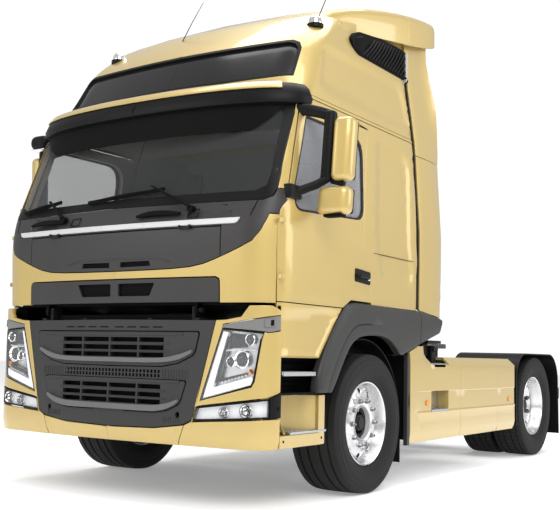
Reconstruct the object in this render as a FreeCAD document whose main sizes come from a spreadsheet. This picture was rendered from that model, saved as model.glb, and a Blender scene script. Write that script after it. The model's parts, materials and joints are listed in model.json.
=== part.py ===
# Tractor unit of a two-axle articulated lorry with a high-roof sleeper cab.
# Frame: +Z up from the ground, the front faces -Y, +X is the vehicle's left side.
# All lengths are millimetres. Outlines are written from the front axle line,
# and every body stands on a placement that puts the origin under the vehicle's middle.
import FreeCAD, Part
import math
import os
import re
import Sketcher

DOCUMENT = FreeCAD.newDocument("tractor_unit")

# Driving dimensions by sub-assembly: name and value.
SIZES = {
    "vehicle": [
        ("wheelbase", 3700), ("front_overhang", 1390), ("rear_overhang", 910),
        ("body_half", 1245), ("seam", 6), ("fit", 0.3), ("running", 0.05)],
    "frame": [
        ("rail_half", 425), ("rail_depth", 270), ("rail_flange", 80), ("rail_wall", 9),
        ("rail_top", 965), ("rail_front", 1060), ("rail_rear_gap", 60),
        ("member_depth", 100), ("member_width", 70), ("member_middle", 1750),
        ("member_coupling", 2700), ("outrigger_front", 850), ("outrigger_rear", 2600),
        ("outrigger_reach", 1100), ("outrigger_depth", 60)],
    "engine": [
        ("engine_reach", 740), ("engine_low", 570), ("engine_high", 1190),
        ("gearbox_length", 900), ("gearbox_big", 240), ("gearbox_small", 130),
        ("gearbox_height", 740), ("shaft_r", 45)],
    "axles": [
        ("kingpin_x", 950), ("kingpin_r", 20), ("eye_r", 42), ("eye_half", 60),
        ("lug_height", 35), ("web_near", 46), ("web_depth", 24), ("arm_length", 160),
        ("arm_width", 40), ("link_r", 16), ("link_eye_half", 20), ("link_pin_r", 10),
        ("beam_half", 45), ("spindle_r", 40), ("spindle_end", 1175),
        ("spring_x", 385), ("spring_width", 70), ("spring_reach", 720), ("leaf", 22),
        ("housing_r", 80), ("bulge_r", 210), ("bulge_half", 150), ("housing_end", 862),
        ("rear_spindle_r", 60), ("rear_spindle_end", 940), ("bellows_r", 105),
        ("bellows_y", 430), ("carrier", 40), ("carrier_half", 45)],
    "wheels": [
        ("front_r", 498), ("front_width", 386), ("front_plane", 1057),
        ("rear_r", 507), ("rear_width", 315), ("twin_pitch", 345), ("rear_plane", 890),
        ("front_tread_half", 165), ("rear_tread_half", 135), ("wall_r", 405), ("seat_r", 298.5),
        ("bead", 10), ("wheel_sides", 48), ("rim_sides", 24), ("front_rim_half", 160),
        ("rear_rim_half", 125), ("rim_wall", 14), ("disc", 18), ("hub_r", 130), ("dish", 45),
        ("rear_hub_r", 95), ("hub_stand", 10), ("cap_r", 60), ("rear_hub_end", 1110),
        ("bore_depth", 130),
        ("hand_hole_r", 28), ("hand_hole_ring", 205), ("rear_hole_ring", 225), ("hand_holes", 10)],
    "bumper": [
        ("bumper_low", 390), ("bumper_lip", 530), ("bumper_high", 1185), ("bumper_wall", 35),
        ("bumper_half", 1235), ("ear_high", 1275),
        ("grille_low_half", 680), ("grille_high_half", 865), ("grille_recess", 6),
        ("grille_depth", 40), ("slot_half", 470), ("slot_columns", 4), ("slot_rows", 3),
        ("slot_bar", 22), ("slot_rib", 16), ("upper_slots_low", 925),
        ("upper_slots_high", 1090), ("lower_slots_low", 655), ("lower_slots_high", 800),
        ("lamp_low", 687), ("lamp_high", 1150),
        ("lamp_depth", 90), ("lamp_stand", 4), ("fog_low", 556), ("fog_high", 655),
        ("beam_rear", 1120), ("beam_low", 420), ("beam_high", 540),
        ("stay_length", 120), ("radiator_half", 620), ("radiator_front", 1270),
        ("radiator_low", 560), ("radiator_high", 1225),
        ("pivot_x", 640), ("pivot_y", 1300), ("pivot_z", 1250), ("pivot_r", 18),
        ("pivot_wall", 24)],
    "steps": [
        ("step_front", 1190), ("step_rear", 600), ("box_low", 390), ("box_high", 714),
        ("box_wall", 20), ("box_inner", 985), ("well_low", 722), ("well_rear", 655),
        ("well_inner", 1090), ("well_wall", 15), ("tread_upper", 880), ("tread_lower", 500),
        ("tread_depth", 20)],
    "arches": [
        ("mudguard_r", 600), ("mudguard_wall", 6), ("mudguard_inner", 870),
        ("mudguard_outer", 1176), ("flap_low", 170), ("flap_wall", 12),
        ("trim_depth", 55), ("trim_stand", 17), ("trim_top", 1345), ("trim_heel", 1025),
        ("trim_tail", 1085), ("fender_inner", 555),
        ("fender_wall", 12), ("fender_low", 190), ("fender_high", 1045)],
    "skirts": [
        ("skirt_front", 616), ("skirt_rear", 2995), ("skirt_low", 310), ("skirt_high", 985),
        ("skirt_wall", 25), ("skirt_chamfer", 60), ("skirt_return", 1010), ("rise_rear", 960),
        ("hatch_front", 1060), ("hatch_rear", 1410), ("hatch_low", 540), ("hatch_high", 710),
        ("notch_depth", 60), ("tank_front", 960), ("tank_rear", 2500), ("tank_low", 330),
        ("tank_high", 895), ("tank_outer", 1140), ("tank_corner", 70)],
    "coupling": [
        ("coupling_lead", 725), ("coupling_top", 1125), ("coupling_half", 430),
        ("coupling_nose", 380), ("coupling_tail", 430), ("plate", 45), ("kingpin_bore", 25.4),
        ("throat", 170), ("trunnion_r", 25), ("trunnion_drop", 60), ("pedestal_half", 60),
        ("base_plate", 16), ("deck_front", 960), ("deck_rear", 2350), ("deck", 6)],
    "cab": [
        ("cab_rear", 820), ("wall", 60), ("skin", 8), ("skin_inset", 5), ("floor_low", 1285),
        ("floor_depth", 60), ("bow", 55), ("corner_width", 240), ("corner_depth", 200),
        ("corner_bulge", 0.17), ("pillar_width", 140), ("pillar_depth", 120),
        ("roof_corner_width", 240), ("roof_corner_depth", 200),
        ("hem_z", 955), ("hem_half", 1230), ("hem_front", 1355),
        ("belt_z", 1700), ("belt_front", 1390),
        ("ledge_z", 1830), ("ledge_front", 1385),
        ("screen_low_z", 1967), ("screen_low_half", 1243), ("screen_low_front", 1305),
        ("screen_top_z", 2590), ("screen_top_half", 1203), ("screen_top_front", 1090),
        ("header_z", 2710), ("header_half", 1190), ("header_front", 1000),
        ("sign_low_z", 2930), ("sign_low_half", 1160), ("sign_low_front", 900),
        ("sign_top_z", 3200), ("sign_top_half", 1118), ("sign_top_front", 760),
        ("brow_z", 3350), ("brow_half", 1085), ("brow_front", 600),
        ("crown_z", 3520), ("crown_half", 1020), ("crown_front", 390),
        ("roof_z", 3640), ("roof_half", 860), ("roof_front", 60)],
    "glass": [
        ("screen_sill", 1985), ("screen_head", 2600), ("screen_sill_half", 1120),
        ("screen_head_half", 1075)],
    "doors": [
        ("door_front", 1188), ("door_rear", 10), ("door_head", 2655), ("door_waist", 1870),
        ("door_pillar", 1010), ("hinge_x", 1252), ("hinge_y", 1192),
        ("hinge_r", 9), ("hinge_low", 1420), ("hinge_high", 1780), ("hinge_length", 60),
        ("window_front", 1040), ("window_rear", 200), ("window_sill_front", 1900),
        ("window_sill_rear", 1960), ("window_head", 2560), ("window_head_front", 900)],
    "front": [
        ("hatch_half", 870), ("flap_high", 1782), ("flap_panel", 25),
        ("flap_recess", 32), ("flap_axis_y", 1382), ("flap_hinge_x", 565), ("flap_hinge_length", 70),
        ("flap_barrel_r", 6), ("flap_pin_r", 3),
        ("strip_low", 1798), ("strip_high", 1832), ("strip_half", 1007), ("strip_stand", 14),
        ("panel_low", 1292), ("panel_high", 1450), ("panel_half", 860), ("panel_depth", 20)],
    "visor": [
        ("visor_front", 1310), ("visor_low", 2400), ("visor_rear", 975), ("visor_high", 2730),
        ("visor_wall", 35), ("visor_half", 1234)],
    "roof": [
        ("fin_front", -200), ("fin_corner", 770), ("fin_rear", 1260), ("fin_half", 1150),
        ("fin_nose_half", 930), ("fin_low", 3590), ("fin_high", 3790), ("fin_tail_high", 3855),
        ("fin_nose_high", 3600), ("fin_wall", 40),
        ("intake_front", -130), ("intake_rear", 780), ("intake_low", 3230),
        ("intake_high", 3480), ("side_fairing_rear", 1255), ("side_fairing_wall", 30),
        ("side_fairing_low", 1180),
        ("side_fairing_high", 3585)],
    "mirrors": [
        ("head_inner", 1335), ("head_outer", 1505), ("head_low", 2125), ("head_high", 2550),
        ("head_front", 840), ("head_depth", 150), ("wide_low", 1890), ("wide_high", 2080),
        ("wide_inner", 1275), ("stem_r", 14), ("stem_x", 1300), ("stem_y", 930),
        ("kerb_outer", 1475), ("kerb_height", 2665)],
    "cabin": [
        ("dash_rear", 700), ("dash_high", 1985), ("dash_low", 1600),
        ("dash_half", 1090), ("seat_x", 560), ("seat_half", 250), ("seat_high", 1760),
        ("seat_front", 520), ("seat_rear", 20), ("seat_back_high", 2450), ("bunk_front", 180),
        ("bunk_high", 1790), ("steering_r", 225), ("steering_y", 610),
        ("steering_z", 1930), ("steering_grip", 15), ("column_length", 330)],
}
ALIASES = {alias for group in SIZES.values() for alias, value in group}
SHEET = DOCUMENT.addObject("Spreadsheet::Sheet", "Sizes")
MIDDLE = "(front_overhang - wheelbase - rear_overhang) / 2"
SUBPARTS = []


def fill_sheet():
    """Write each driving dimension and its name into the spreadsheet."""
    row = 1
    for group, entries in SIZES.items():
        SHEET.set("A%d" % row, group)
        for alias, value in entries:
            row += 1
            SHEET.set("A%d" % row, alias)
            SHEET.set("B%d" % row, str(value))
            SHEET.setAlias("B%d" % row, alias)
        row += 2
    DOCUMENT.recompute()


def link(expression):
    """Return an expression with each size name pointed at its spreadsheet cell."""
    return re.sub(r"[a-z]\w*", lambda word: "Sizes." + word[0] if word[0] in ALIASES else word[0],
                  str(expression))


def number(expression):
    """Return the present value of an expression on the sizes."""
    return float(SHEET.evalExpression(link(expression)))


def bind(item, target, expression):
    """Drive one property of an object from the spreadsheet."""
    item.setExpression(target, link(expression))


def place_vertex(sketch, geometry, corner, point):
    """Hold one corner of a sketch at its two expressions."""
    for kind, expression in zip(("DistanceX", "DistanceY"), point):
        index = sketch.addConstraint(
            Sketcher.Constraint(kind, -1, 1, geometry, corner, number(expression)))
        if link(expression) != str(expression):
            bind(sketch, "Constraints[%d]" % index, expression)


def draw_loop(sketch, points):
    """Draw one closed outline. A point marked "via" is passed through by an arc."""
    spots = [FreeCAD.Vector(number(point[0]), number(point[1]), 0) for point in points]
    corners = [place for place, point in enumerate(points) if len(point) == 2]
    edges = []
    for turn, place in enumerate(corners):
        after = corners[(turn + 1) % len(corners)]
        between = (place + 1) % len(points)
        if between == after:
            edge = sketch.addGeometry(Part.LineSegment(spots[place], spots[after]), False)
            start, end = 1, 2
        else:
            edge = sketch.addGeometry(Part.Arc(spots[place], spots[between], spots[after]), False)
            start = 1 if sketch.getPoint(edge, 1).isEqual(spots[place], 1e-6) else 2
            end = 3 - start
            mark = sketch.addGeometry(Part.Point(spots[between]), True)
            place_vertex(sketch, mark, 1, points[between][:2])
            sketch.addConstraint(Sketcher.Constraint("PointOnObject", mark, 1, edge))
        edges.append((edge, start, end, points[place]))
    for turn, (edge, start, end, point) in enumerate(edges):
        before = edges[turn - 1]
        sketch.addConstraint(Sketcher.Constraint("Coincident", before[0], before[2], edge, start))
        place_vertex(sketch, edge, start, point)


def draw(body, plane, offset, loops):
    """Return a sketch of closed outlines on one of the body's own planes."""
    sketch = body.newObject("Sketcher::SketchObject", body.Name + "_outline")
    own_plane = next(item for item in body.Origin.OriginFeatures if item.Role == plane)
    sketch.AttachmentSupport = [(own_plane, "")]
    sketch.MapMode = "FlatFace"
    bind(sketch, "AttachmentOffset.Base.z", offset)
    for points in loops:
        draw_loop(sketch, points)
    return sketch


def new_body(name, along="0", height="0"):
    """Return an empty body that stands at a distance behind the front axle line."""
    body = DOCUMENT.addObject("PartDesign::Body", name)
    bind(body, "Placement.Base.y", "%s + %s" % (MIDDLE, along))
    bind(body, "Placement.Base.z", height)
    return body


def prism(name, plane, low, high, *loops):
    """Return a padded body: closed outlines, drawn on a plane, from low to high across it."""
    body = new_body(name)
    start = "-(%s)" % high if plane == "XZ_Plane" else low
    pad = body.newObject("PartDesign::Pad", name + "_pad")
    pad.Profile = draw(body, plane, start, loops)
    bind(pad, "Length", "(%s) - (%s)" % (high, low))
    return body


def side_prism(name, low, high, *loops):
    """Return a body whose outline is seen from the side, between two widths."""
    return prism(name, "YZ_Plane", low, high, *loops)


def front_prism(name, low, high, *loops):
    """Return a body whose outline is seen from the front, between two lengths."""
    return prism(name, "XZ_Plane", low, high, *loops)


def plan_prism(name, low, high, *loops):
    """Return a body whose outline is seen from above, between two heights."""
    return prism(name, "XY_Plane", low, high, *loops)


def loft(name, plane, sections):
    """Return a body that runs through outlines on parallel planes: offset and points."""
    body = new_body(name)
    sketches = [draw(body, plane, offset, [points]) for offset, points in sections]
    run = body.newObject("PartDesign::AdditiveLoft", name + "_loft")
    run.Profile = sketches[0]
    run.Sections = sketches[1:]
    run.Ruled = True
    return body


def block(name, across, along, height):
    """Return a box between two widths, two lengths and two heights."""
    box = DOCUMENT.addObject("Part::Box", name)
    for side, start, span in zip(("Length", "Width", "Height"), "xyz", (across, along, height)):
        bind(box, side, "(%s) - (%s)" % (span[1], span[0]))
        shift = MIDDLE + " + " if start == "y" else ""
        bind(box, "Placement.Base." + start, "%s(%s)" % (shift, span[0]))
    return box


TURNS = {"x": FreeCAD.Rotation(FreeCAD.Vector(0, 1, 0), 90),
         "y": FreeCAD.Rotation(FreeCAD.Vector(1, 0, 0), -90),
         "z": FreeCAD.Rotation()}


def rod(name, axis, radius, across, along, height, length, sides=""):
    """Return a bar that starts at a point and runs along an axis, round or many-sided."""
    bar = DOCUMENT.addObject("Part::Prism" if sides else "Part::Cylinder", name)
    bar.Placement = FreeCAD.Placement(FreeCAD.Vector(), TURNS[axis])
    if sides:
        bind(bar, "Polygon", sides)
    bind(bar, "Circumradius" if sides else "Radius", radius)
    bind(bar, "Height", length)
    bind(bar, "Placement.Base.x", across)
    bind(bar, "Placement.Base.y", "%s + (%s)" % (MIDDLE, along))
    bind(bar, "Placement.Base.z", height)
    return bar


def turned(name, axis, sides, stations, across, along, height):
    """Return a flat-faced solid about an axis, from distances along it and radii."""
    count = int(number(sides))
    turns = [2 * math.pi * place / count for place in range(count)]
    rings = [[FreeCAD.Vector(number(radius) * math.cos(turn), number(radius) * math.sin(turn),
                             number(reach)) for turn in turns] for reach, radius in stations]
    outlines = [rings[0], rings[-1]]
    for near, far in zip(rings, rings[1:]):
        outlines += [[near[place - 1], near[place], far[place], far[place - 1]]
                     for place in range(count)]
    shell = Part.Shell([Part.Face(Part.makePolygon(points + points[:1])) for points in outlines])
    shell.sewShape()
    piece = DOCUMENT.addObject("Part::Feature", name)
    piece.Shape = Part.Solid(shell)
    if piece.Shape.Volume < 0:
        piece.Shape = piece.Shape.reversed()
    piece.Placement = FreeCAD.Placement(FreeCAD.Vector(), TURNS[axis])
    for side, start in zip("xyz", (across, along, height)):
        shift = MIDDLE + " + " if side == "y" else ""
        bind(piece, "Placement.Base." + side, "%s(%s)" % (shift, start))
    return piece


def cut(name, base, *tools):
    """Return the base less its tools."""
    result = DOCUMENT.addObject("Part::Cut", name)
    result.Base = base
    result.Tool = tools[0] if len(tools) == 1 else fuse(name + "_tools", *tools)
    return result


def fuse(name, *pieces):
    """Return several pieces as one."""
    result = DOCUMENT.addObject("Part::MultiFuse", name)
    result.Shapes = list(pieces)
    result.Refine = True
    return result


def common(name, first, second):
    """Return what two pieces share."""
    result = DOCUMENT.addObject("Part::Common", name)
    result.Base = first
    result.Tool = second
    return result


def mirror(name, piece):
    """Return the piece on the other side of the vehicle."""
    result = DOCUMENT.addObject("Part::Mirroring", name)
    result.Source = piece
    result.Normal = FreeCAD.Vector(1, 0, 0)
    return result


def together(name, *pieces):
    """Return pieces that don't touch as one sub-part."""
    result = DOCUMENT.addObject("Part::Compound", name)
    result.Links = list(pieces)
    return result


def both_sides(name, piece):
    """Return a piece and its mirror image as one sub-part."""
    return together(name, piece, mirror(name + "_right", piece))


def subpart(label, piece):
    """Name a finished piece for its file."""
    piece.Label = label
    SUBPARTS.append(piece)
    return piece


# Cab forms: rings of the cab in plan, at named heights

CAB_LEVELS = [("hem_z", "hem_half", "hem_front", "corner"),
              ("belt_z", "body_half", "belt_front", "corner"),
              ("ledge_z", "body_half", "ledge_front", "corner"),
              ("screen_low_z", "screen_low_half", "screen_low_front", "pillar"),
              ("screen_top_z", "screen_top_half", "screen_top_front", "pillar"),
              ("header_z", "header_half", "header_front", "pillar")]
ROOF_LEVELS = [("header_z", "header_half", "header_front", "pillar"),
               ("sign_low_z", "sign_low_half", "sign_low_front", "roof_corner"),
               ("sign_top_z", "sign_top_half", "sign_top_front", "roof_corner"),
               ("brow_z", "brow_half", "brow_front", "roof_corner"),
               ("crown_z", "crown_half", "crown_front", "roof_corner"),
               ("roof_z", "roof_half", "roof_front", "roof_corner")]


def ring(half, front, corner, inset, rounded):
    """Return the outline of the cab in plan at one level, moved inwards by an inset."""
    via = ("via",) if rounded else ()
    inset = "(%s)" % inset
    width, depth = corner + "_width", corner + "_depth"
    tail = "cab_rear - " + inset
    side = "%s - %s" % (half, inset)
    edge = "%s - %s" % (half, width)
    nose = "-%s + bow + %s" % (front, inset)
    ear = "-%s + bow + %s + %s * 0.4" % (front, depth, inset)
    bulge_x = "%s - %s / 2 + corner_bulge * %s - %s * 0.7" % (half, width, depth, inset)
    bulge_y = ("-%s + bow + %s / 2 - corner_bulge * %s + %s * 0.7"
               % (front, depth, width, inset))
    return [(side, tail), (side, ear), (bulge_x, bulge_y) + via, (edge, nose),
            ("0", "-%s + %s" % (front, inset)) + via, ("-(%s)" % edge, nose),
            ("-(%s)" % bulge_x, bulge_y) + via, ("-(%s)" % side, ear),
            ("-(%s)" % side, tail)]


def cab_form(name, levels, inset="0", rounded=True):
    """Return a solid form of the cab between its levels, rounded or with plain corners."""
    return loft(name, "XY_Plane", [(level, ring(half, front, corner, inset, rounded))
                                   for level, half, front, corner in levels])


def build_frame():
    """Ladder frame: two channel rails, cross-members and outriggers for the side fairings."""
    foot = "rail_top - rail_depth"
    inside = "rail_half - rail_wall"
    tip = "rail_half - rail_flange"
    tail = "wheelbase + rear_overhang - rail_rear_gap"
    rail = front_prism("rail", "-rail_front", tail, [
        ("rail_half", "rail_top"), ("rail_half", foot), (tip, foot),
        (tip, foot + " + rail_wall"), (inside, foot + " + rail_wall"),
        (inside, "rail_top - rail_wall"), (tip, "rail_top - rail_wall"), (tip, "rail_top")])
    pieces = [rail, mirror("rail_right", rail)]
    top = "rail_top - rail_wall"
    for place, start in (("front", "-rail_front"), ("middle", "member_middle"),
                         ("coupling", "member_coupling"),
                         ("rear", tail + " - member_width")):
        pieces.append(block("member_" + place, ("-(%s)" % inside, inside),
                            (start, start + " + member_width"),
                            (top + " - member_depth", top)))
    reach = "outrigger_reach"
    for place in ("front", "rear"):
        start = "outrigger_" + place
        for side, span in (("left", ("rail_half", reach)), ("right", ("-" + reach, "-rail_half"))):
            pieces.append(block("outrigger_%s_%s" % (place, side), span,
                                (start, start + " + member_width"),
                                ("skirt_high - skirt_wall - outrigger_depth",
                                 "skirt_high - skirt_wall")))
    subpart("chassis_frame", fuse("frame", *pieces))


def build_engine():
    """Engine block between the rails, the gearbox behind it and the propeller shaft."""
    half = "rail_half - rail_flange - fit"
    subpart("engine_block", block("engine", ("-(%s)" % half, half),
                                  ("-engine_reach", "engine_reach"),
                                  ("engine_low", "engine_high")))
    gearbox = turned("gearbox", "y", "rim_sides", [
        ("0", "gearbox_big"), ("gearbox_length", "gearbox_small")],
        "0", "engine_reach", "gearbox_height")
    start = "engine_reach + gearbox_length"
    run = "wheelbase - bulge_r - engine_reach - gearbox_length"
    fall = "gearbox_height - rear_r"
    shaft = rod("shaft", "y", "shaft_r", "0", start, "gearbox_height",
                "sqrt((%s) ^ 2 + (%s) ^ 2)" % (run, fall), "rim_sides")
    slope = math.degrees(math.atan2(number(fall), number(run)))
    shaft.Placement.Rotation = FreeCAD.Rotation(FreeCAD.Vector(1, 0, 0), -90 - slope)
    housing = turned("drive_end", "x", "rim_sides", [
        ("-bulge_half", "bulge_r"), ("bulge_half", "bulge_r")], "0", "wheelbase", "rear_r")
    flange = block("gearbox_end", ("-rail_half", "rail_half"), ("0", start),
                   ("0", "rail_top"))
    subpart("drive_line", fuse("drive_line_solid", gearbox,
                               cut("drive_shaft_cut", shaft, housing, flange)))


def build_front_axle():
    """Drop beam with kingpin eyes, leaf springs on the rails and the knuckles' kingpins."""
    near = "kingpin_x - eye_r / 2"
    beam = front_prism("beam", "-beam_half", "beam_half", [
        (near, "front_r + eye_half - 20"), ("rail_half + 260", "front_r - 18"),
        ("-rail_half - 260", "front_r - 18"), ("-(%s)" % near, "front_r + eye_half - 20"),
        ("-(%s)" % near, "front_r - eye_half + 12"), ("-rail_half - 260", "front_r - 113"),
        ("rail_half + 260", "front_r - 113"), (near, "front_r - eye_half + 12")])
    eyes = []
    bores = []
    for side, sign in (("left", ""), ("right", "-")):
        middle = sign + "kingpin_x"
        eyes.append(rod("eye_" + side, "z", "eye_r", middle, "0", "front_r - eye_half",
                        "eye_half * 2"))
        bores.append(rod("eye_bore_" + side, "z", "kingpin_r + running", middle, "0",
                         "front_r - eye_half", "eye_half * 2"))
    subpart("front_axle", cut("front_axle_cut", fuse("front_axle_solid", beam, *eyes), *bores))
    rail_foot = "rail_top - rail_depth"
    seat = "front_r - 18"
    hanger = "spring_reach"
    spring = side_prism("spring", "spring_x - spring_width / 2", "spring_x + spring_width / 2", [
        ("-(%s)" % hanger, rail_foot), ("-(%s)" % hanger, rail_foot + " - leaf * 2"),
        ("0", seat, "via"), (hanger, rail_foot + " - leaf * 2"), (hanger, rail_foot),
        ("%s - leaf" % hanger, rail_foot), ("0", seat + " + leaf", "via"),
        ("-%s + leaf" % hanger, rail_foot)])
    return both_sides("front_springs_pair", spring)


def build_knuckle(side, sign):
    """Steering knuckle: two lugs over the axle's eye, kingpin, spindle and steering arm."""
    name = "knuckle_" + side
    middle = sign + "kingpin_x"
    top = "front_r + eye_half + fit"
    foot = "front_r - eye_half - fit - lug_height"
    pieces = [
        rod(name + "_top", "z", "eye_r", middle, "0", top, "lug_height", "rim_sides"),
        rod(name + "_low", "z", "eye_r", middle, "0", foot, "lug_height", "rim_sides"),
        rod(name + "_pin", "z", "kingpin_r", middle, "0", foot,
            "(eye_half + fit + lug_height) * 2"),
        rod(name + "_arm_pin", "z", "link_pin_r", middle, "arm_length",
            foot + " - link_eye_half * 2 - fit", "link_eye_half * 2 + fit + lug_height")]
    web = ("kingpin_x + web_near", "kingpin_x + web_near + web_depth")
    lug = ("kingpin_x", "kingpin_x + web_near")
    spindle = ("kingpin_x + web_near", "spindle_end")
    if sign:
        web, lug, spindle = [("-(%s)" % span[1], "-(%s)" % span[0]) for span in (web, lug, spindle)]
    pieces.append(block(name + "_web", web, ("-eye_r", "eye_r"),
                        (foot, top + " + lug_height")))
    for place, low in (("upper", top), ("lower", foot)):
        pieces.append(block("%s_%s" % (name, place), lug, ("-eye_r", "eye_r"),
                            (low, low + " + lug_height")))
    pieces.append(block(name + "_arm", ("%s - arm_width / 2" % middle, "%s + arm_width / 2" % middle),
                        ("0", "arm_length + arm_width / 2"), (foot, foot + " + lug_height")))
    pieces.append(rod(name + "_spindle", "x", "spindle_r", spindle[0], "0", "front_r",
                      "(%s) - (%s)" % (spindle[1], spindle[0])))
    subpart(name, fuse(name + "_solid", *pieces))


def build_tie_rod():
    """Track rod between the steering arms' pins."""
    height = "front_r - eye_half - fit * 2 - lug_height - link_eye_half"
    bar = rod("track_bar", "x", "link_r", "-kingpin_x", "arm_length", height,
              "kingpin_x * 2", "rim_sides")
    eyes = []
    bores = []
    for side, sign in (("left", ""), ("right", "-")):
        middle = sign + "kingpin_x"
        eyes.append(rod("track_eye_" + side, "z", "link_r * 1.4", middle, "arm_length",
                        height + " - link_eye_half", "link_eye_half * 2"))
        bores.append(rod("track_bore_" + side, "z", "link_pin_r + running", middle,
                         "arm_length", height + " - link_eye_half", "link_eye_half * 2"))
    subpart("tie_rod", cut("tie_rod_cut", fuse("tie_rod_solid", bar, *eyes), *bores))


def build_rear_axle(leaf_springs):
    """Driven axle housing, with the air springs on their carriers."""
    casing = turned("casing", "x", "rim_sides", [
        ("-housing_end", "housing_r"), ("-bulge_half - bulge_r / 2", "housing_r"),
        ("-bulge_half", "bulge_r"), ("bulge_half", "bulge_r"),
        ("bulge_half + bulge_r / 2", "housing_r"), ("housing_end", "housing_r")],
        "0", "wheelbase", "rear_r")
    spindle = rod("rear_spindle", "x", "rear_spindle_r", "-rear_spindle_end", "wheelbase",
                  "rear_r", "rear_spindle_end * 2")
    subpart("rear_axle", fuse("housing", casing, spindle))
    top = "rear_r - housing_r - fit"
    middle = "rail_half - bellows_r / 2"
    carrier = block("carrier", (middle + " - carrier_half", middle + " + carrier_half"),
                    ("wheelbase - bellows_y - bellows_r", "wheelbase + bellows_y + bellows_r"),
                    (top + " - carrier", top))
    pieces = [carrier]
    for place, sign in (("front", "-"), ("rear", "+")):
        pieces.append(rod("bellows_" + place, "z", "bellows_r", middle,
                          "wheelbase %s bellows_y" % sign, top,
                          "rail_top - rail_depth - (%s)" % top, "rim_sides"))
    air_springs = both_sides("air_springs_pair", fuse("air_spring", *pieces))
    subpart("suspension_springs", together("springs", leaf_springs, air_springs))


def tyre(name, radius, half, tread_half, rim_half, plane, along):
    """Return one tyre: bore, two walls that bulge over the rim, and the tread."""
    walls = [(rim_half, "seat_r + bead")] + ([(half, "wall_r")] if half else [])
    walls.append((tread_half, radius))
    left = [("-(%s)" % across, up) for across, up in walls]
    outside = turned(name + "_outside", "x", "wheel_sides", left + walls[::-1], plane, along,
                     radius)
    bore = rod(name + "_bore", "x", "seat_r", "%s - %s" % (plane, "200"), along, radius, "400",
               "wheel_sides")
    return cut(name, outside, bore)


def hand_holes(name, ring_r, along, height):
    """Return the ring of hand holes that goes through a wheel disc."""
    holes = []
    for place in range(int(number("hand_holes"))):
        turn = 2 * math.pi * place / number("hand_holes")
        holes.append(rod("%s_hole_%d" % (name, place), "x", "hand_hole_r", "0",
                         "%s + %s * %.6f" % (along, ring_r, math.cos(turn)),
                         "%s + %s * %.6f" % (height, ring_r, math.sin(turn)),
                         "rear_hub_end + 200", "hand_holes"))
    return holes


def front_rim(name):
    """Return a front wheel: barrel, domed disc and hub with its bearing bore."""
    inner = "front_plane - front_rim_half"
    outer = "front_plane + front_rim_half"
    barrel = "seat_r - rim_wall"
    def form(part, stations, sides="rim_sides"):
        return turned(name + part, "x", sides, stations, "0", "0", "front_r")
    drum = form("_drum", [(inner, "seat_r"), (outer, "seat_r")], "wheel_sides")
    face = form("_face", [(outer + " - dish", barrel + " - rim_wall"), (outer, barrel)])
    dome = form("_dome", [(outer + " - dish", barrel + " - rim_wall"),
                          (outer + " - rim_wall", "hub_r"), (outer + " + hub_stand", "cap_r")])
    hollow = form("_hollow", [(inner, barrel), (outer + " - dish - disc", barrel),
                              (outer + " - rim_wall - disc", "hub_r")])
    hub = form("_hub", [("spindle_end - bore_depth", "spindle_r + disc"),
                        (outer + " - rim_wall - disc", "hub_r")])
    bore = rod(name + "_bore", "x", "spindle_r + running", "spindle_end - bore_depth - 1", "0",
               "front_r", "bore_depth + fit + 1")
    shell = cut(name + "_shell", fuse(name + "_front", cut(name + "_open", drum, face), dome),
                hollow)
    return cut(name, fuse(name + "_whole", shell, hub), bore,
               *hand_holes(name, "hand_hole_ring", "0", "front_r"))


def rear_rims(name):
    """Return a twin wheel: one barrel, the dished disc and the hub that stands out of it."""
    inner = "rear_plane - twin_pitch / 2 - rear_rim_half"
    outer = "rear_plane + twin_pitch / 2 + rear_rim_half"
    barrel = "seat_r - rim_wall"
    def form(part, stations, sides="rim_sides"):
        return turned(name + part, "x", sides, stations, "0", "wheelbase", "rear_r")
    drum = form("_drum", [(inner, "seat_r"), (outer, "seat_r")], "wheel_sides")
    face = form("_face", [("rear_plane + disc", barrel), (outer, barrel)])
    hollow = form("_hollow", [(inner, barrel), ("rear_plane - disc", barrel)])
    hub = form("_hub", [("housing_end + fit", "rear_spindle_r + disc"),
                        ("rear_plane - disc", "hub_r"), ("rear_plane + disc", "hub_r"),
                        ("rear_hub_end", "rear_hub_r")])
    bore = rod(name + "_bore", "x", "rear_spindle_r + running", "housing_end + fit - 1",
               "wheelbase", "rear_r", "rear_spindle_end - housing_end + 1")
    return cut(name, fuse(name + "_whole", cut(name + "_shell", drum, face, hollow), hub), bore,
               *hand_holes(name, "rear_hole_ring", "wheelbase", "rear_r"))


def build_wheels():
    """Four wheel bodies: single front wheels and twin rear wheels."""
    front_tyre = tyre("front_tyre", "front_r", "front_width / 2", "front_tread_half",
                      "front_rim_half", "front_plane", "0")
    rear_tyres = together("rear_tyres", *[
        tyre("rear_tyre_" + place, "rear_r", half, "rear_tread_half", "rear_rim_half",
             "rear_plane %s twin_pitch / 2" % sign, "wheelbase")
        for place, sign, half in (("inner", "-", ""), ("outer", "+", "rear_width / 2"))])
    for label, piece in (("front_tyre", front_tyre), ("front_rim", front_rim("front_wheel")),
                         ("rear_tyres", rear_tyres), ("rear_rims", rear_rims("rear_wheel"))):
        subpart(label + "_left", piece)
        subpart(label + "_right", mirror(piece.Name + "_mirrored", piece))


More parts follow.
